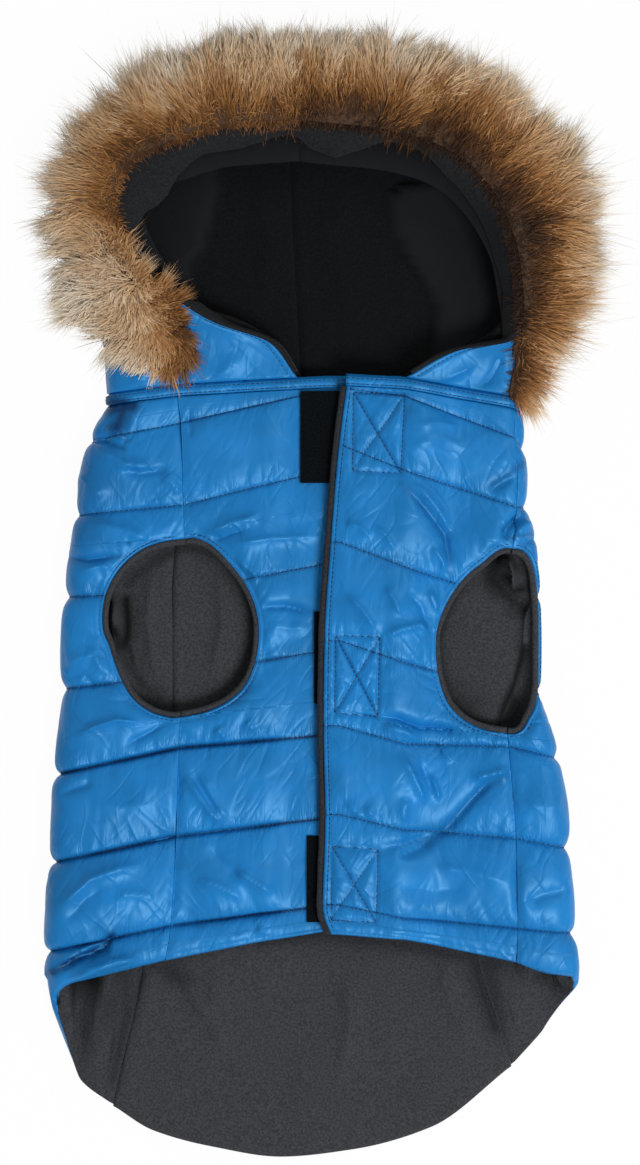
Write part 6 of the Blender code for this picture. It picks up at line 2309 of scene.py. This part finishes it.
def stitch_paths(binding_lines):
    """Every visible line of stitches, as dense points on the skin."""
    paths = []
    for side, edge_x in ((LEFT, UNDER_EDGE_X), (RIGHT, LAP_EDGE_X)):
        for row in range(1, 8):
            q = np.full(LINE_POINTS, float(row))
            start = front_x(side, edge_x, q, 0.0)[0] - side["inward"] * EDGE_STITCH
            end = front_x(side, edge_x, q, 1.0)[0] + side["inward"] * STITCH_FROM_SEAM
            x = np.linspace(start, end, LINE_POINTS)
            paths.append(front_skin(side, edge_x, q, x))
            seam = side_along(side, q, -1.0)[0] - STITCH_FROM_SEAM
            along = np.linspace(seam, -UNDER_STITCHED * ARC_UNDER, LINE_POINTS)
            paths.append(side_skin(side, q, side_columns_of(side, q, along)))
        paths.append(hole_stitch_front(side, edge_x))
        paths.append(hole_stitch_side(side))
    q = np.linspace(*EDGE_STITCH_ROWS, EDGE_STITCH_POINTS)
    x = front_x(RIGHT, LAP_EDGE_X, q, 0.0) + EDGE_STITCH
    paths.append(front_skin(RIGHT, LAP_EDGE_X, q, x))
    for box in BOXES:
        paths += [plan_line_on_lap(a, b) for a, b in box_lines(box)]
    for line in binding_lines:
        on_top = line[:, 2] > FOLD_Z
        half = len(line) // 2
        paths.append(line[:half][on_top[:half]])
        paths.append(line[half:][on_top[half:]])
    paths.append(hood_stitch(LEFT, HOOD_LEFT))
    paths.append(hood_stitch(RIGHT, HOOD_RIGHT))
    return paths


def add_stitches(binding_lines, look):
    """All stitches as one mesh."""
    made = [dashes(path) for path in stitch_paths(binding_lines)]
    piece = add_mesh("stitches", *join([part for part in made if part is not None]), look)


# ---------------------------------------------------------------- the fur trim

def fur_station(table, which, j):
    """A column of the fur's table at hood row j."""
    knots = [row[0] for row in table]
    return np.interp(j, knots, [row[which] for row in table])


def fur_roots(side, table, plan, count, random):
    """Random places on the pelt: the hood row and the share from the fold (0) to the rim (1)."""
    low, high = plan[0][0], plan[-1][0]
    fine = np.linspace(low, high, ROOT_STATIONS)
    rim = hood_point(side, table, fine, -1.0)
    fold = hood_point(side, table, fine, 0.0)
    band = np.linalg.norm((rim - fold)[:, :2], axis=1)
    band = band * (fur_station(plan, FUR_TO, fine) - fur_station(plan, FUR_FROM, fine))
    line = PELT_LINE * rim + (1.0 - PELT_LINE) * fold
    step = np.linalg.norm(np.gradient(line[:, :2], axis=0), axis=1)
    weight = np.cumsum(np.maximum(band, PELT_NARROW) * step)
    weight = weight / weight[-1]
    j = np.interp(random.random(count), weight, fine)
    along = np.interp(j, fine, np.cumsum(step))
    s = random.random(count)
    fringe = (random.random(count) < FRINGE) & (j > FRINGE_FROM[side["inward"]])
    s = np.where(fringe, FRINGE_ROOTS[0] + FRINGE_ROOTS[1] * s, s)
    every_way = (j < FILLER_TO[side["inward"]]) | (s > FILLER_NEAR_RIM)
    filler = ~fringe & (random.random(count) < FILLER) & every_way
    return j, s, along, fringe, filler


def pelt_columns(plan, j, s):
    """The hood's columns for shares s of the pelt, from the side fold (0) to the rim (1)."""
    low = fur_station(plan, FUR_FROM, j)
    share = low + (fur_station(plan, FUR_TO, j) - low) * s
    return -np.sign(share) * np.abs(share) ** (1.0 / SPREAD)


def tuft_centre(seed, a, b):
    """The middle of the tuft in cell a, b."""
    free = 1.0 - 2.0 * TUFT_MARGIN
    return [
        (cell + TUFT_MARGIN + free * lattice(seed + k, [a, b])) * TUFT
        for k, cell in enumerate((a, b))
    ]


def nearest_tuft(along, across, seed):
    """The cell of each hair's tuft, and its distance from the tuft's middle."""
    cell_a = np.floor(along / TUFT)
    cell_b = np.floor(across / TUFT)
    best = np.full(len(along), FAR)
    tuft = np.zeros((2, len(along)))
    for a, b in itertools.product((-1, 0, 1), repeat=2):
        cell = np.stack([cell_a + a, cell_b + b])
        centre_a, centre_b = tuft_centre(seed, *cell)
        gap = np.hypot(along - centre_a, across - centre_b)
        closer = gap < best
        best = np.where(closer, gap, best)
        tuft = np.where(closer, cell, tuft)
    return tuft, best


def hair_angles(plan, j, s, way, turn, kinds, random):
    """The way that each hair points, in radians: its row's, its tuft's and its own."""
    fringe, filler = kinds
    angle_in = fur_station(plan, FUR_ANGLE_IN, j)
    angle_out = fur_station(plan, FUR_ANGLE_OUT, j)
    angle = angle_out + (angle_in - angle_out) * ease((s - ANGLE_FROM) / ANGLE_BLEND)
    angle = angle + WAVE_TURN * way + TUFT_TURN * turn
    angle = angle + fringe * (180.0 + FRINGE_TURN * random.standard_normal(len(j)))
    angle = angle + filler * FILLER_TURN * random.standard_normal(len(j))
    return np.radians(angle + HAIR_TURN * random.standard_normal(len(j)))


def hair_lengths(plan, j, s, from_middle, growth, kinds, random):
    """Each hair's length, and whether it is undercoat."""
    fringe, filler = kinds
    long_in = fur_station(plan, FUR_LONG_IN, j)
    long_out = fur_station(plan, FUR_LONG_OUT, j)
    pointed = TUFT_POINT[0] - TUFT_POINT[1] * np.clip(from_middle / TUFT, 0.0, 1.0)
    own = 1.0 + TUFT_GROWTH * growth + HAIR_GROWTH * random.standard_normal(len(j))
    length = (long_out + (long_in - long_out) * s) * pointed * own
    undercoat = random.random(len(j)) < UNDERCOAT[0]
    length = np.where(undercoat, UNDERCOAT[1] * length, length)
    length = np.where(filler, np.minimum(FILLER_SHARE * length, FILLER_LONG), length)
    length = np.where(random.random(len(j)) < GUARD[0], GUARD[1] * length, length)
    stray = FRINGE_LONG * (1.0 + FRINGE_UNEVEN * random.standard_normal(len(j)))
    return np.where(fringe, stray, length), undercoat


def fur_hairs(side, table, plan, count, random):
    """Curved, tapering, clumped ribbons: points and the place of each on the trim."""
    seed = TUFT_SEED[side["inward"]]
    j, s, along, fringe, filler = fur_roots(side, table, plan, count, random)
    f = pelt_columns(plan, j, s)
    root = hood_point(side, table, j, f)
    normal = unit(hood_normal(side, table, j, f) + (0.0, 0.0, UPRIGHT))

    across = s * TUFT_ACROSS
    tuft, from_middle = nearest_tuft(along, across, seed)
    turn, growth, rise = [2 * lattice(seed + k, list(tuft)) - 1 for k in (2, 3, 4)]
    way = noise(seed + 5, *cells_of(WAVE_SIZE, along, across))
    kinds = (fringe, filler)
    angle = hair_angles(plan, j, s, way, turn, kinds, random)
    length, undercoat = hair_lengths(plan, j, s, from_middle, growth, kinds, random)
    out = np.stack([np.cos(angle), np.sin(angle), np.zeros(count)], axis=-1)
    sideways = np.stack([-np.sin(angle), np.cos(angle), np.zeros(count)], axis=-1)
    over = OVER_RIM * ease((s - OVER_FROM) / OVER_BLEND) * (j > FRINGE_FROM[side["inward"]] - OVER_ROWS)
    root = root - out * (over * np.where(fringe, FRINGE_BACK, 1.0))[:, None]

    uneven = LIFT_UNEVEN[0] * rise + LIFT_UNEVEN[1] * random.standard_normal(count)
    lift = fur_station(plan, FUR_LIFT, j) * (1.0 + uneven)
    drop = fur_station(plan, FUR_DROP, j) * (1.0 + DROP_UNEVEN * random.standard_normal(count))
    up = np.array([0.0, 0.0, 1.0])
    curl = length * CURL * (turn + CURL_UNEVEN * random.standard_normal(count))
    middle = root + normal * (lift * MIDDLE_LIFT)[:, None] + out * (MIDDLE_OUT * length)[:, None]
    middle = middle + up * (lift * MIDDLE_UP)[:, None]
    tip = root + out * (TIP_OUT * length)[:, None] - up * drop[:, None] + sideways * curl[:, None]

    # Pull the tips of a tuft together, along the rim
    pull = CLUMP * np.where(undercoat, UNDERCOAT_CLUMP, 1.0)
    back_along = (tuft_centre(seed, *tuft)[0] - along) * pull
    rim_way = hood_point(side, table, np.minimum(j + RIM_STEP, LAST_ROW), f) - root
    rim_way = unit(rim_way * (1.0, 1.0, 0.0) + TINY)
    tip = tip + rim_way * back_along[:, None]
    middle = middle + rim_way * (MIDDLE_CLUMP * back_along)[:, None]

    tip[:, 2] = np.clip(tip[:, 2], TIP_LOW + TIP_UNEVEN * random.random(count), FUR_TOP)
    tip[:, 0] = np.clip(tip[:, 0], -FUR_REACH + TIP_UNEVEN * random.random(count), FUR_REACH)
    middle[:, 2] = np.minimum(middle[:, 2], FUR_TOP + MIDDLE_OVER_TOP)
    t = np.array([0.0, 0.5, 1.0])[None, :, None]
    path = (1 - t) ** 2 * root[:, None] + 2 * t * (1 - t) * middle[:, None] + t ** 2 * tip[:, None]
    path = path + random.standard_normal((count, 3, 3)) * np.array(HAIR_WIGGLE)[None, :, None]
    return path, fur_places(side, j, s, along, kinds, t[..., 0])


def fur_places(side, j, s, along, kinds, t):
    """What the fur's material reads: the place along the trim, across it and up the hair."""
    fringe, filler = kinds
    start, gain = FILLER_TONE[side["inward"]]
    shown = t * np.where(fringe, FRINGE_SHOWN, 1.0)[:, None]
    shown = np.where(filler[:, None], start + gain * t, shown)
    paler = np.interp(j, *FUR_PALER[side["inward"]])
    tone = s - paler * ease((s - PALER_FROM) / PALER_BLEND)
    return np.stack(np.broadcast_arrays(along[:, None], tone[:, None], shown), axis=-1)


def ribbons(path, place, random):
    """Two quarters and a tip for each hair: points, faces, places and the chart for baking."""
    count = len(path)
    forward = unit(path[:, -1] - path[:, 0])
    flat = unit(np.cross(forward, (0.0, 0.0, 1.0)))
    lift = np.cross(flat, forward)
    roll = np.radians(RIBBON_ROLL) * random.standard_normal(count)
    across = flat * np.cos(roll)[:, None] + lift * np.sin(roll)[:, None]
    own = RIBBON_UNEVEN[0] + RIBBON_UNEVEN[1] * random.random(count)
    width = np.array(RIBBON_TAPER)[None, :] * HAIR_WIDE / 2 * own[:, None]
    left = path[:, :2] - across[:, None] * width[..., None]
    right = path[:, :2] + across[:, None] * width[..., None]
    points = np.stack([left[:, 0], right[:, 0], left[:, 1], right[:, 1], path[:, 2]], axis=1)
    at = np.stack([place[:, 0], place[:, 0], place[:, 1], place[:, 1], place[:, 2]], axis=1)
    shade = (place[:, 0, 0] % RIGHT_FROM) / BAKE_LONG
    tone = (place[:, 0, 1] - BAKE_TONES[0]) / BAKE_TONES[1]
    band = np.floor(np.clip(tone, 0.0, BAKE_RANGE[1]) * BAKE_BANDS)
    u = shade[:, None] + BAKE_HALF * np.array([-1.0, 1.0, -1.0, 1.0, 0.0])
    v = (band[:, None] + BAKE_MARGIN + (1.0 - 2.0 * BAKE_MARGIN) * at[..., 2]) / BAKE_BANDS
    flat_place = np.stack([np.clip(u, *BAKE_RANGE), np.clip(v, *BAKE_RANGE)], axis=-1)
    local = np.array([(0, 1, 3), (0, 3, 2), (2, 3, 4)])
    faces = local[None] + np.arange(count)[:, None, None] * points.shape[1]
    return points.reshape(-1, 3), faces.reshape(-1, 3), at.reshape(-1, 3), flat_place.reshape(-1, 2)


def add_fur(look):
    """The hairs, in two meshes on each side."""
    random = np.random.default_rng(HAIR_SEED)
    for name, side, table, plan in (
        ("left", LEFT, HOOD_LEFT, FUR_LEFT),
        ("right", RIGHT, HOOD_RIGHT, FUR_RIGHT),
    ):
        path, place = fur_hairs(side, table, plan, HAIRS, random)
        if side is RIGHT:
            place[..., 0] = place[..., 0] + RIGHT_FROM
        halves = np.argsort(place[:, 0, 0], kind="stable")
        for part, chosen in (("neck", halves[:HAIRS // 2]), ("crown", halves[HAIRS // 2:])):
            points, faces, at, flat_place = ribbons(path[chosen], place[chosen], random)
            piece = add_mesh(f"fur_{name}_{part}", points, faces, look)
            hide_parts("fur_trim")
            paint(piece, "fur_place", at)
            chart = piece.data.uv_layers.new(name="OFBake")
            corner = np.zeros(len(piece.data.loops), np.int32)
            piece.data.loops.foreach_get("vertex_index", corner)
            chart.data.foreach_set("uv", flat_place[corner].ravel())


def add_pelt(look):
    """The trim's backing, close on the hood under the hair."""
    parts = []
    for side, table, plan in ((LEFT, HOOD_LEFT, FUR_LEFT), (RIGHT, HOOD_RIGHT, FUR_RIGHT)):
        rows = np.linspace(plan[0][0], LAST_ROW, PELT_GRID[0])
        j, s = np.meshgrid(rows, np.linspace(0.0, 1.0, PELT_GRID[1]), indexing="ij")
        f = pelt_columns(plan, j, s)
        base = hood_point(side, table, j, f)
        normal = hood_normal(side, table, j, f)
        parts.append(outward_grid(base + normal * PELT_TOP, base + normal * PELT_UNDER))
    piece = add_mesh("fur_pelt", *join(parts), look)
    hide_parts("fur_trim")


# ---------------------------------------------------------------- materials

def shader(name, colour, roughness):
    """A plain material, its node tree and its main shader."""
    made = bpy.data.materials.new(name)
    made.use_nodes = True
    tree = made.node_tree
    main = tree.nodes["Principled BSDF"]
    main.inputs["Base Color"].default_value = (*colour, 1.0)
    main.inputs["Roughness"].default_value = roughness
    return made, tree, main


def node(tree, kind, **values):
    """A node with some of its inputs set."""
    made = tree.nodes.new(kind)
    for name, value in values.items():
        made.inputs[name.replace("_", " ")].default_value = value
    return made


def object_place(tree):
    """The place in the part's frame, in metres."""
    return tree.nodes.new("ShaderNodeTexCoord").outputs["Object"]


def ramp(tree, factor, stops):
    """A colour for each factor: stops give a factor and its colour, from low to high."""
    made = tree.nodes.new("ShaderNodeValToRGB")
    elements = made.color_ramp.elements
    for k in (0, -1):
        elements[k].position, colour = stops[k]
        elements[k].color = (*colour, 1.0)
    for position, colour in stops[1:-1]:
        elements.new(position).color = (*colour, 1.0)
    tree.links.new(factor, made.inputs["Fac"])
    return made.outputs["Color"]


def two_tone(tree, factor, colour, low, high, start=0.3, end=0.7):
    """Darker and lighter shares of one colour."""
    tones = [tuple(share * channel_value for channel_value in colour) for share in (low, high)]
    return ramp(tree, factor, ((start, tones[0]), (end, tones[1])))


def bump(tree, height, strength, distance, before=None):
    """A normal bent by a height, over another one if it is given."""
    made = node(tree, "ShaderNodeBump", Strength=strength, Distance=distance)
    tree.links.new(height, made.inputs["Height"])
    if before is not None:
        tree.links.new(before, made.inputs["Normal"])
    return made.outputs["Normal"]


def combine(tree, kind, first, second=0.0):
    """A Math node over two values, each a number or a socket."""
    made = tree.nodes.new("ShaderNodeMath")
    made.operation = kind
    for place, value in enumerate((first, second)):
        if isinstance(value, float):
            made.inputs[place].default_value = value
        else:
            tree.links.new(value, made.inputs[place])
    return made.outputs["Value"]


def grain(tree, place, sizes, turn=0.0, detail=2.0):
    """Noise of a size each way, turned about the upright."""
    turned = tree.nodes.new("ShaderNodeVectorRotate")
    turned.rotation_type = "Z_AXIS"
    turned.inputs["Angle"].default_value = math.radians(turn)
    tree.links.new(place, turned.inputs["Vector"])
    spread = tree.nodes.new("ShaderNodeVectorMath")
    spread.operation = "MULTIPLY"
    spread.inputs[1].default_value = tuple(1.0 / size for size in sizes)
    tree.links.new(turned.outputs["Vector"], spread.inputs[0])
    made = node(tree, "ShaderNodeTexNoise", Scale=1.0, Detail=detail, Roughness=0.5)
    tree.links.new(spread.outputs["Vector"], made.inputs["Vector"])
    return made.outputs["Fac"]


def product(tree, first, *others):
    """Several values multiplied."""
    for other in others:
        first = combine(tree, "MULTIPLY", first, other)
    return first


def between(tree, value, low, high):
    """0 at the low value, 1 at the high one."""
    made = node(tree, "ShaderNodeMapRange", From_Min=low, From_Max=high)
    tree.links.new(value, made.inputs["Value"])
    return made.outputs["Result"]


def ridge_lines(tree, place, sizes, turn, width):
    """1 along wandering lines, falling to 0 beside them."""
    away = combine(tree, "ABSOLUTE", combine(tree, "SUBTRACT", grain(tree, place, sizes, turn, 1.0), 0.5))
    return combine(tree, "POWER", between(tree, away, width, 0.0), RIDGE_POWER)


def shaded(tree, tone, attribute, colour):
    """A tone that goes over into another colour with a point attribute."""
    return toward(tree, tone, point_values(tree, attribute)["Fac"], colour)


def toward(tree, tone, factor, colour):
    """A tone that goes over into another colour with a factor."""
    mix = tree.nodes.new("ShaderNodeMix")
    mix.data_type = "RGBA"
    tree.links.new(factor, mix.inputs["Factor"])
    tree.links.new(tone, mix.inputs[6])
    mix.inputs[7].default_value = (*colour, 1.0)
    return mix.outputs[2]


def point_values(tree, name):
    """A point attribute's outputs."""
    made = tree.nodes.new("ShaderNodeAttribute")
    made.attribute_name = name
    return made.outputs


def split_axes(tree, vector):
    """A vector's X, Y and Z."""
    made = tree.nodes.new("ShaderNodeSeparateXYZ")
    tree.links.new(vector, made.inputs["Vector"])
    return made.outputs


def nylon():
    """Glossy nylon with fine creases of its own and others that the quilt lines pull."""
    made, tree, main = shader("blue_nylon", NYLON_BLUE, NYLON_ROUGHNESS)
    place = object_place(tree)
    tone = two_tone(tree, grain(tree, place, NYLON_PATCHES), NYLON_BLUE, *NYLON_TONES)
    # The point attribute mixes painted shade into the nylon's colour
    tree.links.new(shaded(tree, tone, "painted_shade", PAINTED_SHADE_BLUE), main.inputs["Base Color"])

    height = product(tree, grain(tree, place, NYLON_WAVES, NYLON_WAVE_TURN), NYLON_WAVE)
    for (across, along), turn, width, strength, patch in WRINKLES:
        lines = ridge_lines(tree, place, (across, along, WRINKLE_UPWARD), turn, width)
        where = between(tree, grain(tree, place, (patch, patch, patch), turn, 1.0), *WRINKLE_PATCH)
        height = combine(tree, "ADD", height, product(tree, lines, where, strength))
    pull = point_values(tree, "seam_pull")["Vector"]
    lines = ridge_lines(tree, pull, PULL_SIZE, 0.0, PULL_WIDTH)
    pucker = product(tree, lines, split_axes(tree, pull)["Z"], SEAM_PULL)
    height = combine(tree, "SUBTRACT", height, pucker)
    weave = grain(tree, place, NYLON_WEAVE)
    first = bump(tree, height, 1.0, WRINKLE_HEIGHT)
    tree.links.new(bump(tree, weave, *NYLON_WEAVE_BUMP, first), main.inputs["Normal"])
    main.inputs["Specular IOR Level"].default_value = NYLON_SPECULAR
    main.inputs["Specular Tint"].default_value = (*GLOSS_TINT, 1.0)
    return made


def fleece(name, colour, lit=None):
    """Matt fleece with a fine nap, with painted light on its folds, or else painted shade in its recesses.
    """
    made, tree, main = shader(name, colour, FLEECE_ROUGHNESS)
    nap = grain(tree, object_place(tree), NAP_SIZE, 0.0, NAP_DETAIL)
    tone = two_tone(tree, nap, colour, *NAP_TONES, *NAP_STOPS)
    if lit:
        tone = shaded(tree, tone, "fold_light", lit)
    else:
        tone = shaded(tree, tone, "painted_shade", PAINTED_SHADE_GREY)
    tree.links.new(tone, main.inputs["Base Color"])
    tree.links.new(bump(tree, nap, *NAP_BUMP), main.inputs["Normal"])
    main.inputs["Specular IOR Level"].default_value = FLEECE_SPECULAR
    main.inputs["Sheen Weight"].default_value = FLEECE_SHEEN
    return made


def speckled(name, colour, roughness, scale, low, high, rough=0.5):
    """A material with fine specks: itself, its tree, its main shader and the specks."""
    made, tree, main = shader(name, colour, roughness)
    specks = node(tree, "ShaderNodeTexNoise", Scale=scale, Detail=2.0, Roughness=rough)
    tree.links.new(object_place(tree), specks.inputs["Vector"])
    tone = two_tone(tree, specks.outputs["Fac"], colour, low, high)
    tree.links.new(tone, main.inputs["Base Color"])
    return made, tree, main, specks.outputs["Fac"]


def tape_pile():
    """The pile of the closure's tapes."""
    values = (PILE_ROUGHNESS, PILE_SCALE, *PILE_TONES, PILE_UNEVEN)
    made, tree, main, loops = speckled("closure_pile", TAPE_BLACK, *values)
    tree.links.new(bump(tree, loops, *PILE_BUMP), main.inputs["Normal"])
    main.inputs["Specular IOR Level"].default_value = PILE_SPECULAR
    return made


def fur_look():
    """Hair, lighter towards its tip and the hood's outside, with dark strands and dark tips."""
    made, tree, main = shader("tan_fur", FUR_TAN, FUR_ROUGHNESS)
    where = point_values(tree, "fur_place")["Vector"]
    place = split_axes(tree, where)

    def swing(streaks, size):
        value = grain(tree, where, streaks)
        return product(tree, combine(tree, "SUBTRACT", value, 0.5), size)

    light = product(tree, place["Z"], FUR_TO_TIP)
    outer = product(tree, combine(tree, "SUBTRACT", 1.0, place["Y"]), FUR_TO_OUTSIDE)
    light = combine(tree, "ADD", combine(tree, "ADD", light, outer), FUR_START)
    on_right = between(tree, place["X"], *ON_RIGHT)
    at_root = between(tree, place["Z"], *AT_ROOT)
    darker = product(tree, on_right, FUR_RIGHT_DARKER, at_root)
    light = combine(tree, "SUBTRACT", light, darker)
    light = combine(tree, "ADD", light, swing(HAIR_STREAKS, HAIR_SWING))
    light = combine(tree, "ADD", light, swing(LOCK_STREAKS, LOCK_SWING))
    tone = ramp(tree, light, FUR_STOPS)

    near_tip = between(tree, place["Z"], *NEAR_TIP)
    dark_tip = between(tree, grain(tree, where, DARK_TIP_STREAKS), *DARK_TIP_FROM)
    dark_tip = product(tree, dark_tip, near_tip, DARK_TIP)
    strand = between(tree, grain(tree, where, STRAND_STREAKS), *STRAND_FROM)
    dark = combine(tree, "MAXIMUM", dark_tip, product(tree, strand, DARK_STRAND))
    tree.links.new(toward(tree, tone, dark, FUR_DARK), main.inputs["Base Color"])
    main.inputs["Specular IOR Level"].default_value = FUR_SPECULAR
    return made


# ---------------------------------------------------------------- stage

def add_floor():
    """A pale floor that the camera and the gloss see almost white, with the coat's shadow."""
    bpy.ops.mesh.primitive_plane_add(size=FLOOR_SIZE, location=(0.0, 0.0, 0.0))
    floor = bpy.context.object
    floor.name = "floor"
    made, tree, main = shader("white_floor", FLOOR_WHITE, FLOOR_ROUGHNESS)
    main.inputs["Specular IOR Level"].default_value = 0.0
    glow = tree.nodes.new("ShaderNodeEmission")
    glow.inputs["Color"].default_value = (1.0, 1.0, 1.0, 1.0)
    glow.inputs["Strength"].default_value = 1.0
    rays = tree.nodes.new("ShaderNodeLightPath").outputs
    seen = combine(tree, "MAXIMUM", rays["Is Glossy Ray"], rays["Is Transmission Ray"])
    seen = combine(tree, "MAXIMUM", rays["Is Camera Ray"], seen)
    mix = tree.nodes.new("ShaderNodeMixShader")
    tree.links.new(combine(tree, "MULTIPLY", seen, FLOOR_GLOW), mix.inputs["Fac"])
    tree.links.new(main.outputs["BSDF"], mix.inputs[1])
    tree.links.new(glow.outputs["Emission"], mix.inputs[2])
    tree.links.new(mix.outputs["Shader"], tree.nodes["Material Output"].inputs["Surface"])
    floor.data.materials.append(made)


def add_light(name, place, size, power):
    """A round soft lamp, turned to the coat."""
    lamp = bpy.data.lights.new(name, "AREA")
    lamp.shape = "DISK"
    lamp.size = size
    lamp.energy = power
    thing = bpy.data.objects.new(name, lamp)
    thing.location = place
    thing.rotation_euler = (-Vector(place)).to_track_quat("-Z", "Y").to_euler()
    bpy.context.scene.collection.objects.link(thing)


def add_lights():
    """The lamps, and a plain white world."""
    for row in LIGHTS:
        add_light(*row)
    world = bpy.data.worlds.new("studio")
    world.use_nodes = True
    background = world.node_tree.nodes["Background"]
    background.inputs["Color"].default_value = (1.0, 1.0, 1.0, 1.0)
    background.inputs["Strength"].default_value = WORLD_LIGHT
    bpy.context.scene.world = world


def add_camera():
    """The photograph's view, straight from above."""
    lens = bpy.data.cameras.new("camera")
    lens.sensor_width = SENSOR
    lens.sensor_fit = "VERTICAL"
    lens.sensor_height = SENSOR
    lens.lens = SENSOR * CAMERA_DISTANCE / VIEW_HEIGHT
    lens.clip_start = NEAR_CLIP
    lens.clip_end = FAR_CLIP
    camera = bpy.data.objects.new("camera", lens)
    camera.location = (VIEW_X, VIEW_Y, VIEW_Z + CAMERA_DISTANCE)
    bpy.context.scene.collection.objects.link(camera)
    scene = bpy.context.scene
    scene.camera = camera
    scene.view_settings.view_transform = "Standard"


# ---------------------------------------------------------------- the scene

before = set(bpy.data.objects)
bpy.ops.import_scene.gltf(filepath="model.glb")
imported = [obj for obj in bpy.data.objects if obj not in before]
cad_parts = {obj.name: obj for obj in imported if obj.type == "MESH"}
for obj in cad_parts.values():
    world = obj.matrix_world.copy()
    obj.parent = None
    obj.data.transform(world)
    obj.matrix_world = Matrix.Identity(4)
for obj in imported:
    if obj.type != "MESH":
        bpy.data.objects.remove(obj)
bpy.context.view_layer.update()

blue = nylon()
grey = fleece("grey_fleece", FLEECE_GREY)
# The hood's lining and facing use darker copies of the grey fleece as painted shade, with painted light on
# the lining's raised folds
dark = fleece("shaded_hood_fleece", HOOD_SHADED_GREY, FOLD_LIT_GREY)
edge_grey = fleece("shaded_facing_fleece", FACING_SHADED_GREY)
pile = tape_pile()
hair = fur_look()
backing = speckled("fur_backing", FUR_BACKING, 0.9, 600.0, 0.7, 1.3)[0]
thread = shader("navy_thread", THREAD_NAVY, 0.6)[0]

add_back(blue)
add_side("side_left", LEFT, blue)
add_side("side_right", RIGHT, blue)
add_front("front_left", LEFT, UNDER_EDGE_X, blue)
add_front("front_right", RIGHT, LAP_EDGE_X, blue)
add_back_lining(grey)
add_front_lining("front_left", LEFT, UNDER_EDGE_X, 0.0, grey)
add_front_lining("front_right", RIGHT, LAP_EDGE_X, LINING_SHOWS, grey)
add_side_lining("side_left", LEFT, grey)
add_side_lining("side_right", RIGHT, grey)
binding_stitches = add_binding(blue)
for tape in TAPES:
    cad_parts[tape].material_slots[0].material = pile
add_hood("left", LEFT, HOOD_LEFT, blue)
add_hood("right", RIGHT, HOOD_RIGHT, blue)
add_hood_lining("left", LEFT, HOOD_LEFT, dark)
add_hood_lining("right", RIGHT, HOOD_RIGHT, dark)
add_facing(edge_grey)
add_pelt(backing)
add_fur(hair)
add_stitches(binding_stitches, thread)
add_floor()
add_lights()
add_camera()

bpy.context.view_layer.update()
